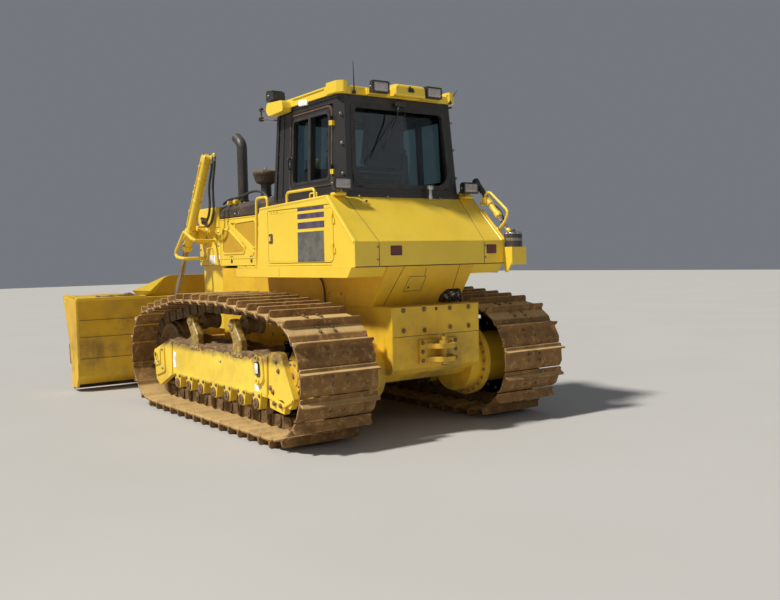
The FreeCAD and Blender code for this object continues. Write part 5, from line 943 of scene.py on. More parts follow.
def rollers():
    kit = Kit("roller_set", "chassis", IRON, "worn_steel", (CAST,))
    for side in (LEFT, RIGHT):
        y = side * HALF_GAUGE
        for index, x in enumerate(ROLLER_PLACES):
            kit.mat = 0
            wide = 116 if index % 2 else 104
            profile = [
                (-154, 36), (-150, 46), (-138, 52), (-122, 66), (-wide, 72), (-wide, 108), (-100, 112), (-98, 99.5), (-48, 99.5),
                (-44, 84), (44, 84), (48, 99.5), (98, 99.5), (100, 112), (wide, 108), (wide, 72), (122, 66), (138, 52), (150, 46), (154, 36)]
            kit.lathe((x, y, ROLLER_Z), (0, 1, 0), profile, 40)
        for x in CARRIERS:
            kit.mat = 0
            profile = [
                (-98, 60), (-96, 84), (-92, 89), (-48, 89), (-44, 76), (44, 76), (48, 89), (90, 89), (92, 98), (99, 98), (102, 70), (108, 52),
                (154, 40)]
            kit.lathe((x, y, CARRIER_Z), (0, side, 0), profile, 40)
            kit.mat = 1
            for turn in range(4):
                a = math.pi / 4 + turn * math.pi / 2
                kit.bolt((x + 42 * math.cos(a), y - side * 98, CARRIER_Z + 42 * math.sin(a)), (0, -side, 0), 9, 8)
    kit.make(["track_rollers"])


def idler_wheels():
    kit = Kit("idler_wheels", "chassis", IRON, "worn_steel", (CAST, STEEL))
    for side in (LEFT, RIGHT):
        start = (IDLER_X, side * HALF_GAUGE, IDLER_Z)
        kit.mat = 0
        rim = [
            (-99, 308), (-99, 344), (-94, 349.5), (-50, 349.5), (-46, 366), (-40, 371), (40, 371), (46, 366), (50, 349.5),
            (94, 349.5), (99, 344), (99, 308), (60, 300), (30, 286), (20, 260), (18, 150), (26, 118), (60, 96), (96, 92), (99, 88),
            (99, 44), (-99, 44), (-99, 88), (-96, 92), (-60, 96), (-26, 118), (-18, 150), (-20, 260), (-30, 286), (-60, 300)]
        kit.turn(start, (0, 1, 0), rim, 72)
        kit.mat = 1
        kit.lathe(start, (0, 1, 0), [(-152, 40), (152, 40)], 28)
        for turn in range(6):
            a = turn * math.pi / 3
            for out in (-1, 1):
                x, z = IDLER_X + 205 * math.cos(a), IDLER_Z + 205 * math.sin(a)
                kit.lathe((x, side * HALF_GAUGE + out * 19, z), (0, out, 0), [(-3, 40), (0, 40), (2, 36), (2, 33), (-2, 32)], 24)
        kit.mat = 2
        for turn in range(8):
            a = turn * math.pi / 4
            for out in (-1, 1):
                kit.bolt((IDLER_X + 68 * math.cos(a), side * HALF_GAUGE + out * 99, IDLER_Z + 68 * math.sin(a)), (0, out, 0), 9, 8)
    kit.make(["idlers"])


rollers()
idler_wheels()


def drive_trim():
    """Bolt circles, ribs and plugs of the final drives."""
    kit = Kit("final_drive_bolts", "chassis", STEEL, "worn_steel", (FRAME_YELLOW, IRON))
    for turn in range(24):
        a = 2 * math.pi * turn / 24
        c, s = math.cos(a), math.sin(a)
        kit.bolt((326 * c, 640, SPROCKET_Z + 326 * s), (0, -1, 0), 13, 13)
        kit.bolt((326 * c, 700, SPROCKET_Z + 326 * s), (0, 1, 0), 13, 13)
    for turn in range(16):
        a = 2 * math.pi * (turn + 0.5) / 16
        kit.bolt((222 * math.cos(a), 1183, SPROCKET_Z + 222 * math.sin(a)), (0, 1, 0), 15, 14)
    for turn in range(10):
        a = 2 * math.pi * turn / 10
        kit.bolt((116 * math.cos(a), 1269, SPROCKET_Z + 116 * math.sin(a)), (0, 1, 0), 11, 10)
    kit.mat = 1
    kit.turn((0, 1269, SPROCKET_Z), (0, 1, 0), [(-3, 92), (3, 92), (9, 86), (9, 40), (4, 36), (-3, 36)], 44)
    kit.turn((0, 640, SPROCKET_Z), (0, 1, 0), rect(-2, 352, 14, 340), 72)
    for turn in range(12):
        a = 2 * math.pi * (turn + 0.5) / 12
        c, s = math.cos(a), math.sin(a)
        rib = []
        for y, r in ((702, 252), (702, 300), (760, 262), (760, 248)):
            rib.append([Vector((r * c - t * s, y, SPROCKET_Z + r * s + t * c)) for t in (-7, 7)])
        verts = [v for pair in rib for v in pair]
        kit.add(verts, [(0, 2, 4, 6), (7, 5, 3, 1), (0, 1, 3, 2), (2, 3, 5, 4), (4, 5, 7, 6), (6, 7, 1, 0)])
    kit.mat = 2
    kit.bolt((0, 1269, SPROCKET_Z), (0, 1, 0), 22, 14)
    kit.mirrored()
    kit.make()


drive_trim()


def heap(kit, span, across, base, peak, seed, columns=120, rows=18, over=55.0, humps=()):
    """Dried soil lying along a ledge: thick in the middle, ragged along its edges and hanging over one of them."""
    rings = []
    for i in range(columns + 1):
        x = span[0] + (span[1] - span[0]) * i / columns
        ends = min(1.0, min(i, columns - i) / 7)
        line = []
        for j in range(rows + 1):
            share = j / rows
            y = across[0] + (across[1] - across[0]) * share
            rough = noise.fractal(Vector((x / 260, y / 260, seed)), 1.0, 2.1, 5)
            fine = noise.fractal(Vector((x / 45, y / 45, seed + 7)), 1.0, 2.0, 4)
            dome = math.sin(math.pi * min(1.0, share * 1.12)) ** 0.6 if share < 0.89 else 0.28
            tall = peak * max(0.05, 0.55 + 0.9 * rough) * dome
            for place, reach, height in humps:
                tall += height * math.exp(-((x - place) / reach) ** 2) * dome
            z = base(x, y) + (tall + 9 * fine) * ends - (1 - ends) * 14
            if j == 0:
                z = base(x, y) - 12
            line.append(Vector((x, y + 5 * fine, z)))
        drop = over * max(0.12, 0.5 + 1.5 * noise.fractal(Vector((x / 130, seed, 3)), 1.0, 2.1, 4)) * ends
        edge = line[-1]
        line.append(Vector((x, across[1] + 7, edge.z - 10)))
        line.append(Vector((x, across[1] + 6, base(x, across[1]) - drop * 0.6)))
        line.append(Vector((x, across[1] - 3, base(x, across[1]) - drop)))
        rings.append(line)
    count = len(rings[0])
    verts = [v for line in rings for v in line]
    faces = []
    for i in range(columns):
        for j in range(count - 1):
            a = i * count + j
            faces.append((a, a + 1, a + 1 + count, a + count))
    kit.add(verts, faces)


def frame_top(x, y):
    inside = 930 < abs(y) < 1290
    if x > 2659:
        edge = 752 - (x - 2659) * 0.25
    elif x < 430:
        edge = 801 if x < 250 else 801 - (x - 250) * 0.27
    else:
        edge = 752
    return edge if not inside or x < 480 or x > 2560 else 744


soil = Kit("soil_on_frames", "chassis", SOIL, "track")
heap(soil, (470, 2780), (905, 1330), frame_top, 62, 2.0, humps=((2320, 170, 26), (640, 140, 40), (1500, 300, 20)))
first = len(soil.verts)
heap(soil, (470, 2780), (905, 1330), frame_top, 54, 9.0, humps=((2200, 200, 30), (900, 200, 26)))
for spot in soil.verts[first:]:
    spot.y = -spot.y
soil.make(sharp=60)

# rear body, side boxes, engine sides, hood and rails


SLOPE_NORMAL = (-0.698, 0, 0.716)
UNDER_NORMAL = (-0.815, 0, -0.579)
HULL_SIDE = 500
PANEL_SIDE = 520
BODY_SIDE = 859


def box_top(x):
    return 2168 - 40 * (x - 43) / 1296


def slope(x):
    return 1748 + (x + 388) * 420 / 431


def under_x(z):
    return -110 - 258 * (z - 1166) / 363


def rear_body():
    """Seams, reflectors, breather, latch, bolts and the recess with its connectors."""
    seam = Kit("body_seams", "chassis", SEAM, "black_plastic")
    for side in (1, -1):
        seam.line((-386, side * 605, 1750), (40, side * 668, 2166), SLOPE_NORMAL, 5)
        seam.line((-388, side * 605, 1531), (-388, side * 605, 1748), (-1, 0, 0), 7, 1.2)
    seam.line((-388, -855, 1531), (-388, 855, 1531), (-1, 0, 0), 9, 1.0)
    for side in (1, -1):
        seam.line((under_x(1526), side * 320, 1526), (under_x(1180), side * 380, 1180), UNDER_NORMAL, 7, 1.0)
    for a, b in (((213, 1433), (25, 1430)), ((25, 1430), (25, 1300)), ((25, 1300), (220, 1296)), ((220, 1296), (213, 1433)), ((63, 1505), (45, 1432))):
        seam.line((under_x(a[1]), a[0], a[1]), (under_x(b[1]), b[0], b[1]), UNDER_NORMAL, 6, 0.8)
    seam.line((933, 872, 1443), (933, 872, 1527), (0, 1, 0), 5, 0.8)
    seam.line((933, -872, 1443), (933, -872, 1527), (0, -1, 0), 5, 0.8)
    seam.make()

    kit = Kit("body_trim", "chassis", YELLOW, "yellow", (STEEL, PLASTIC, BREATHER, SEAM))
    for side in (1, -1):
        rail = [(x, box_top(x)) for x in (1326, 1200, 900, 600, 300, 60)]
        for low_y, high_y, rise in ((822, 866, 7),):
            rings = []
            for x, z in rail:
                profile = [(low_y, -4), (low_y + 6, rise), (high_y - 14, rise), (high_y - 3, rise - 8), (high_y, -6), (high_y - 8, -26), (859 - 3, -26)]
                rings.append([Vector((x, side * y, z + h)) for y, h in profile])
            kit.stack(rings)
        rings = []
        for x in (44, -60, -200, -330, -386):
            z = slope(x)
            profile = [(824, -6), (832, 5), (850, 6), (862, 0), (866, -12), (862, -30), (856, -30)]
            rings.append([Vector((x - 0.698 * h, side * y, z + 0.716 * h)) for y, h in profile])
        kit.stack(rings)
        kit.line((-388, side * 858, 1742), (-388, side * 858, 1534), (-0.7, side * 0.7, 0), 12, 3)
        kit.panel(side, rounded([(x, z) for x, z in ((-20, 1552), (1190, 1552), (1190, 1560), (-20, 1560))], 3), 857, 864, 2)
    kit.line((-388, -850, 1748), (-388, 850, 1748), (-0.9, 0, 0.42), 14, 2.5)
    kit.line((-284, 872, 1441), (1885, 872, 1441), (0, 0.7, -0.7), 8, 2)
    kit.line((-284, -872, 1441), (1885, -872, 1441), (0, -0.7, -0.7), 8, 2)
    for side in (1, -1):
        low, high = sorted((side * 790, side * 862))
        kit.block((1432, low, 1529), (1878, high, 1550), 5, "z")
        for x in (1450, 1650, 1860):
            kit.block((x - 9, low, 1524), (x + 9, high, 1556), 3, "z")
    kit.mat = 1
    for x, y in ((22, 204), (24, -410), (30, 515)):
        kit.lathe((x, y, 2167), (0, 0, 1), [(-4, 13), (4, 13), (9, 10), (12, 5)], 18)
    for y, z in ((590, 1590), (-590, 1590), (590, 1700), (-590, 1700)):
        kit.bolt((-388, y + (30 if y > 0 else -30), z), (-1, 0, 0), 8, 6)
    kit.mat = 0
    kit.plate("x", rounded(rect(462, 2086, 528, 2112), 8), -34, -12, 3)
    kit.mat = 2
    kit.rod((-8, 480, 2106), (-34, 480, 2128), 9, 16)
    kit.mat = 3
    kit.lathe((-20, -262, 2150), (0, 0, 1), [(0, 17), (92, 17), (94, 30), (100, 34), (124, 34), (131, 28), (133, 10)], 26)
    kit.lathe((-20, -262, 2150), (0, 0, 1), [(8, 22), (30, 22), (32, 18)], 6)
    kit.mat = 4
    arch = rounded([(-240, 1176), (-240, 1250), (-290, 1300), (-450, 1300), (-496, 1250), (-496, 1176)], 34, 5)
    rings = []
    for depth, inset in ((2.5, 0), (2.5, 12), (-1.5, 14)):
        outline = rim_inset(arch, inset)
        rings.append([Vector((under_x(z) - 0.815 * depth, y, z - 0.579 * depth)) for y, z in outline])
    kit.stack(rings)
    kit.mat = 3
    for y, z, r in ((-305, 1240, 17), (-364, 1262, 20), (-436, 1256, 16)):
        start = Vector((under_x(z) + 6, y, z))
        kit.lathe(start, UNDER_NORMAL, [(0, r + 5), (14, r + 5), (16, r), (30, r), (32, r + 3), (46, r + 3), (50, r - 4)], 20)
    kit.mat = 2
    for y, z, r in ((-332, 1212, 15), (-400, 1216, 17), (-462, 1214, 12)):
        start = Vector((under_x(z) + 6, y, z))
        kit.lathe(start, UNDER_NORMAL, [(0, r), (40, r), (44, r - 3), (52, r - 5)], 18)
    kit.mat = 4
    kit.lathe((under_x(1332) + 1, 181, 1332), UNDER_NORMAL, [(-2, 12), (1.2, 12)], 18)
    kit.make()

    for index, (y, z) in enumerate(((-332, 1212), (-400, 1216), (-462, 1214))):
        a = Vector((under_x(z), y, z)) + Vector(UNDER_NORMAL) * 46
        hose("rear_hose_%d" % index, [a, a + Vector((-28, 0, -14)), a + Vector((-34, 10, 22)), (under_x(1290) - 22, y + 26, 1262), (under_x(1300) + 14, y + 30, 1296)],
             8)

    pads = Kit("rear_reflectors", "chassis", REFLECTOR, "black_plastic", (PLASTIC,))
    for y in (422, -697):
        pads.mat = 1
        pads.plate("x", rounded(rect(y - 62, 1624, y + 62, 1710), 10), -392, -386, 2)
        pads.mat = 0
        pads.plate("x", rounded(rect(y - 54, 1632, y + 54, 1702), 7), -395, -391, 2)
    pads.make()


rear_body()


def rear_plate_trim():
    kit = Kit("rear_plate_trim", "chassis", FRAME_YELLOW, "yellow", (STEEL, SEAM, IRON))
    face = -410
    kit.mat = 2
    kit.line((face, -499, 905), (face, 499, 905), (-1, 0, 0), 5, 0.6)
    kit.plate("x", rect(-6, 1122, 22, 1150), face - 1, face + 3, 0.5)
    kit.mat = 0
    for y, z in ((380, 1138), (149, 1139), (-150, 1135), (-373, 1135), (147, 951), (-152, 963), (380, 960), (-373, 960)):
        kit.mat = 0
        kit.turn((face, y, z), (-1, 0, 0), [(-2, 33), (2, 33), (3.5, 30), (3.5, 24), (-2, 24)], 30)
        kit.mat = 3
        kit.bolt((face - 1, y, z), (-1, 0, 0), 17, 10)
    kit.mat = 0
    for side in (1, -1):
        kit.weld((-284, side * 499, 1166), (-404, side * 499, 1166), (0, side * 0.7, 0.7))
        kit.line((-404, side * 499, 575), (-404, side * 499, 1163), (-0.7, side * 0.7, 0), 10, 2)
    for y in (-190, 190):
        for z in (680, 760, 840):
            kit.mat = 3
            kit.bolt((-437, y, z), (-1, 0, 0), 16, 14)
    kit.mat = 0
    jaw = -437
    for z in (670, 786):
        for side in (1, -1):
            kit.weld((jaw, side * 150, z + (0 if z < 700 else 46)), (jaw - 52, side * 116, z + (0 if z < 700 else 46)), (0, side * 0.6, -0.6 if z < 700 else 0.6), 6, 12)
    kit.plate("y", [(-437, 712), (-505, 712), (-475, 786), (-437, 786)], -7, 7, 2)
    kit.mat = 3
    kit.pipe([(-502, 0, 884), (-502, 0, 912), (-502, 46, 912), (-502, 46, 884)], 6, 12, 10)
    kit.lathe((-502, 0, 640), (0, 0, -1), [(0, 24), (10, 24), (10, 10)], 18)
    kit.make()


rear_plate_trim()


def hull_side():
    """Cable, cover bolts and weld lines along the hull's sides, and belly seams."""
    kit = Kit("hull_trim", "chassis", FRAME_YELLOW, "yellow", (STEEL, SEAM))
    for side in (1, -1):
        y = side * HULL_SIDE
        kit.mat = 0
        kit.panel(side, rounded([(360, 920), (360, 1300), (620, 1300), (620, 920)], 26), HULL_SIDE - 2, HULL_SIDE + 9, 3)
        kit.panel(side, rounded([(1500, 760), (1500, 1080), (2250, 1080), (2250, 820), (2100, 740)], 40), HULL_SIDE - 2, HULL_SIDE + 8, 3)
        kit.weld((-270, y, 1166), (300, y, 1166), (0, side, 0), 7)
        kit.mat = 1
        for x in (385, 595):
            for z in (945, 1110, 1275):
                kit.bolt((x, y + side * 9, z), (0, side, 0), 11, 9)
        for x in (1540, 1780, 2020, 2215):
            for z in (820, 1045):
                kit.bolt((x, y + side * 8, z), (0, side, 0), 11, 9)
        kit.mat = 2
        kit.line((1421, y, 1140), (3010, y, 1140), (0, side, 0), 6, 0.8)
    kit.mat = 2
    for x in (200, 900, 1600, 2300):
        kit.line((x, -470, 470), (x, 470, 470), (0, 0, -1), 7, 0.8)
    kit.mat = 1
    for x in (240, 860, 940, 1560, 1640, 2260):
        for y in (-420, -140, 140, 420):
            kit.bolt((x, y, 470), (0, 0, -1), 14, 10)
    kit.make()
    for side in (1, -1):
        hose("hull_cable_" + ("left" if side > 0 else "right"),
             [(790, side * 512, 1445), (764, side * 516, 1430), (712, side * 518, 1390), (684, side * 518, 1320), (676, side * 518, 1230), (676, side * 514, 1120), (670, side * 500, 1060)],
             9)


hull_side()


def door_dress(side, name):
    """Decal bars with their square, the latch and the edge seal of a service door."""
    body = "service_door_" + name
    face = side * BODY_SIDE
    out = (0, side, 0)
    kit = Kit("decals_" + name, body, DECAL, "black_plastic", (DECAL_GREY,))
    ends = (93, 566)
    for high, low in ((2084, 2056), (2030, 1982), (1950, 1890)):
        kit.panel(side, [(ends[0], low), (ends[1], low), (ends[1], high), (ends[0], high)], BODY_SIDE - 1, BODY_SIDE + 1.6, 0.4)
    kit.mat = 1
    kit.panel(side, [(104, 1584), (580, 1584), (572, 1861), (104, 1861)], BODY_SIDE - 1, BODY_SIDE + 1.6, 0.4)
    kit.make()
    trim = Kit("door_trim_" + name, body, YELLOW, "yellow", (PLASTIC, STEEL))
    trim.mat = 1
    trim.panel(side, rounded(rect(1062, 1770, 1142, 1866), 12), BODY_SIDE - 2, BODY_SIDE + 3, 1)
    trim.mat = 0
    trim.panel(side, rounded(rect(1056, 1764, 1148, 1872), 16), BODY_SIDE - 3, BODY_SIDE + 2, 1)
    trim.mat = 2
    trim.panel(side, rounded(rect(1074, 1782, 1096, 1854), 6), BODY_SIDE + 2, BODY_SIDE + 13, 3)
    trim.mat = 0
    trim.line((-20, face, 2060), (1130, face, 2060), out, 8, 1.2)
    trim.line((60, face, 1600), (1130, face, 1600), out, 8, 1.2)
    for x in (960, 1020, 1080):
        trim.bolt((x, face, 2071), out, 7, 4)
    trim.make()


door_dress(LEFT, "left")
door_dress(RIGHT, "right")


def panel_dress(side, name):
    """An engine panel's embossed frame round two triangles of mesh, and its latches."""
    body = "engine_panel_" + name
    face = side * PANEL_SIDE
    kit = Kit("panel_frame_" + name, body, YELLOW, "yellow", (YELLOW_MESH, PLASTIC, SEAM))
    upper = rounded([(2700, 2030), (2100, 2046), (2108, 1740)], 34, 5)
    lower = rounded([(2930, 1980), (2932, 1708), (2395, 1708), (2385, 1748), (2755, 1946)], 30, 5)
    for outline in (upper, lower):
        kit.mat = 1
        kit.panel(side, outline, PANEL_SIDE - 2, PANEL_SIDE + 1.5, 0.4)
        kit.mat = 0
        rings = []
        for spread, height in ((-2, -1), (-3, 7), (-8, 10), (-16, 10), (-22, 7), (-26, -1)):
            rings.append([Vector((a, face + side * height, b)) for a, b in rim_inset(outline, spread)])
        rings.append([Vector((a, face - side * 3, b)) for a, b in rim_inset(outline, -26)])
        rings.append([Vector((a, face - side * 3, b)) for a, b in rim_inset(outline, -2)])
        kit.stack(rings, loop=True)
    kit.line((2800, face, 2062), (2150, face, 1688), (0, side, 0), 46, 9)
    for a, b in (((2044, 1562), (3012, 1562)), ((2044, 2100), (3012, 2100)), ((3012, 1562), (3012, 2100)), ((2044, 1562), (2044, 2100))):
        kit.line((a[0], face, a[1]), (b[0], face, b[1]), (0, side, 0), 12, 4)
    kit.mat = 2
    for x in (2720, 2217):
        kit.lathe((x, face - side * 1, 1607), (0, side, 0), [(0, 24), (3, 24), (5, 20), (5, 9), (3, 8)], 20)
        kit.panel(side, rounded(rect(x - 30, 1655, x + 30, 1665), 4), PANEL_SIDE - 1, PANEL_SIDE + 3, 1)
    kit.mat = 3
    for x in range(2110, 2960, 60):
        kit.panel(side, rounded(rect(x, 1630, x + 34, 1636), 2), PANEL_SIDE - 1, PANEL_SIDE + 0.8, 0.2)
    kit.make()


panel_dress(LEFT, "left")
panel_dress(RIGHT, "right")


def hood_trim():
    kit = Kit("hood_trim", "chassis", HOOD_BLACK, "black_paint", (STEEL, YELLOW, SEAM, WHITE, PLASTIC))
    def top(x):
        return 2305 - 43 * (x - 1330) / 1696
    for x in (1900, 2560):
        kit.mat = 3
        kit.line((x, -450, top(x)), (x, 450, top(x)), (0, 0, 1), 6, 0.8)
    kit.mat = 3
    for side in (1, -1):
        kit.line((2560, side * 516, 2122), (2560, side * 516, 2230), (0, side, 0), 6, 0.8)
        kit.line((1345, side * 516, 2124), (3020, side * 516, 2124), (0, side, 0), 7, 1)
    kit.mat = 1
    for x in (1500, 1850, 1950, 2510, 2610, 2980):
        for y in (-440, 440):
            kit.bolt((x, y, top(x) - 1), (0, 0, 1), 10, 8)
        for side in (1, -1):
            kit.bolt((x, side * 516, 2150), (0, side, 0), 8, 6)
    kit.mat = 0
    for x in range(1980, 2300, 34):
        kit.block((x, -230, top(x) - 3), (x + 16, 60, top(x) + 6), 3, "z")
    kit.mat = 5
    kit.block((1968, -238, top(2100) - 6), (2300, 68, top(2100) + 2.5), 2, "z")
    kit.mat = 2
    for x in (2790, 2640):
        kit.block((x - 26, 430, top(x) - 6), (x + 30, 512, top(x) + 42), 8, "z")
    kit.mat = 5
    for x in (2790, 2640):
        kit.pipe([(x, 470, top(x) + 20), (x, 470, top(x) + 58), (x + 3, 440, top(x) + 58), (x + 3, 440, top(x) + 30)], 7, 8, 10, 4)
    kit.make()
    hose("hood_hose", [(3000, 470, 2285), (2900, 474, 2318), (2790, 472, 2332), (2640, 470, 2334), (2480, 468, 2350), (2330, 462, 2378), (2190, 455, 2384), (2060, 446, 2362), (1980, 430, 2312), (1960, 420, 2280)],
         14)
    plates = Kit("blank_plates", "chassis", WHITE, "chrome")
    for side in (1, -1):
        plates.panel(side, rounded(rect(3170, 1580, 3350, 1688), 8), 518, 523, 1)
        plates.panel(side, rounded(rect(3036, 1640, 3076, 1682), 5), 518, 523, 1)
    plates.make()


hood_trim()


def rails():
    """Bent grab rails with welded feet, the same on both sides."""
    kit = Kit("grab_rails", "chassis", YELLOW, "yellow", (STEEL,))
    y = 829
    def foot(x, z):
        kit.lathe((x, y, z), (0, 0, 1), [(-1, 26), (4, 26), (7, 20), (9, 15), (16, 13)], 22)
    kit.pipe([(812, y, box_top(812)), (812, y, 2250), (295, y, 2250), (295, y, box_top(295))], 13.2, 42, 18, 9)
    kit.pipe([(1490, y, 1530), (1450, y, 2240), (1215, y, 2240), (1215, y, box_top(1215))], 13.2, 48, 18, 9)
    foot(812, box_top(812))
    foot(295, box_top(295))
    foot(1215, box_top(1215))
    kit.lathe((1490, y, 1529), (0, 0, 1), [(0, 26), (5, 26), (8, 18), (16, 13)], 22)
    kit.mirrored()
    kit.make(["handrails"])
    small = Kit("sill_handle", "chassis", YELLOW, "yellow")
    for side in (1, -1):
        small.pipe([(520, side * 745, 2166), (520, side * 745, 2222), (396, side * 745, 2222), (396, side * 745, 2166)], 8, 14, 12, 5)
    small.make()


rails()


def corner():
    """Right rear corner: canister bands, the jack's rod, pins, springs and the black grip on its top."""
    kit = Kit("corner_trim", "chassis", CHROME, "chrome", (PLASTIC, YELLOW, STEEL))
    x, y = -414, -958
    kit.mat = 0
    kit.lathe((x, y, 1823), (0, 0, 1), [(-14, 88), (-6, 88), (0, 82), (6, 66), (10, 40), (11, 12)], 44)
    kit.mat = 3
    kit.turn((x, y, 1740), (0, 0, 1), rect(0, 87, 26, 84), 44)
    kit.mat = 1
    kit.lathe((x, y, 1829), (0, 0, 1), [(0, 22), (16, 22), (20, 17), (26, 8)], 20)
    kit.mat = 0
    kit.rod((-262, -915, 1990), (-386, -924, 1842), 17, 24)
    kit.mat = 2
    kit.rod((-106, -905, 2160), (-160, -908, 2104), 36, 28)
    kit.rod((-236, -913, 2022), (-268, -915, 1986), 34, 28)
    kit.lathe((-390, -925, 1836), (0.64, 0.05, 0.77), [(-14, 20), (0, 26), (16, 26), (26, 20)], 20)
    kit.mat = 3
    for place in ((-84, -905, 2182), (-388, -926, 1838)):
        kit.rod((place[0], place[1] - 34, place[2]), (place[0], place[1] + 30, place[2]), 11, 16)
    kit.mat = 1
    kit.rod((-100, -905, 2176), (-40, -905, 2246), 24, 20)
    kit.rod((-44, -905, 2240), (24, -903, 2316), 30, 22)
    kit.lathe((20, -903, 2312), (0.66, 0, 0.75), [(0, 22), (16, 34), (60, 34), (72, 20)], 22)
    kit.make()
    box = Kit("deck_box_right", "chassis", YELLOW, "yellow", (STEEL,))
    box.plate("z", rounded([(60, -846), (60, -712), (190, -712), (190, -846)], 20), 2160, 2232, 12)
    box.mat = 1
    box.lathe((124, -779, 2230), (0, 0, 1), [(0, 32), (14, 32), (18, 26)], 24)
    box.make()
    hose("jack_hose", [(-150, -938, 2096), (-176, -968, 2090), (-222, -982, 2040), (-262, -972, 1980), (-300, -950, 1940), (-322, -914, 1924), (-316, -890, 1930)], 8)


corner()

# cab: seals, lining, seat, controls, lamps and roof


def cab_edge(z, low, high):
    return low + (high - low) * (z - 2168.3) / (3095 - 2168.3)


def band(kit, place, outer, inner, steps):
    """A closed moulding between two outlines of equal length; steps give (which outline, height)."""
    rings = []
    for which, height in steps:
        rings.append([place(a, b, height) for a, b in (outer if which == 0 else inner)])
    kit.stack(rings, loop=True)


def window_seals():
    kit = Kit("window_seals", "chassis", RUBBER, "black_plastic", (CAB_DARK, BROWN_RUBBER, STEEL))
    for end, (low, high) in ((-1, (35, 110)), (1, (1308, 1240))):
        def place(y, z, out, end=end, low=low, high=high):
            return Vector((cab_edge(z, low, high) + end * out, y, z))
        hole = [(-565, 2262), (565, 2262), (530, 3005), (-530, 3005)]
        outer = rounded([(*p, r) for p, r in zip(rim_inset(hole, -16), (150, 150, 60, 60))], 60, 9)
        inner = rounded([(*p, r) for p, r in zip(rim_inset(hole, 26), (136, 136, 46, 46))], 46, 9)
        kit.mat = 0
        band(kit, place, outer, inner, ((0, -2), (0, 5), (1, 8), (1, -20), (0, -20)))
        if end > 0:
            kit.mat = 1
            wall = [(-690, 2176), (690, 2176), (655, 3078), (-655, 3078)]
            face = rounded([(*p, r) for p, r in zip(rim_inset(wall, 6), (30, 30, 40, 40))], 40, 9)
            ring = rounded([(*p, r) for p, r in zip(rim_inset(wall, 92), (130, 130, 50, 50))], 50, 9)
            band(kit, place, face, ring, ((0, -6), (0, 44), (1, 56), (1, -6), (0, -6)))
        else:
            kit.mat = 1
            corner = rounded([(*p, r) for p, r in zip(rim_inset(hole, -3), (8, 8, 8, 8))], 8, 9)
            band(kit, place, corner, outer, ((0, 0), (0, 2.5), (1, 2.5), (1, -10), (0, -10)))
    kit.mat = 3
    for side in (1, -1):
        for z in (2913, 2648, 2372):
            x, y = cab_edge(z, 35, 110) + 22, side * (cab_edge(z, 690, 655) - 22)
            kit.lathe((x, y, z), (-0.7, side * 0.7, 0), [(-3, 15), (3, 15), (6, 11), (14, 10), (17, 6)], 18)
    kit.make()


window_seals()


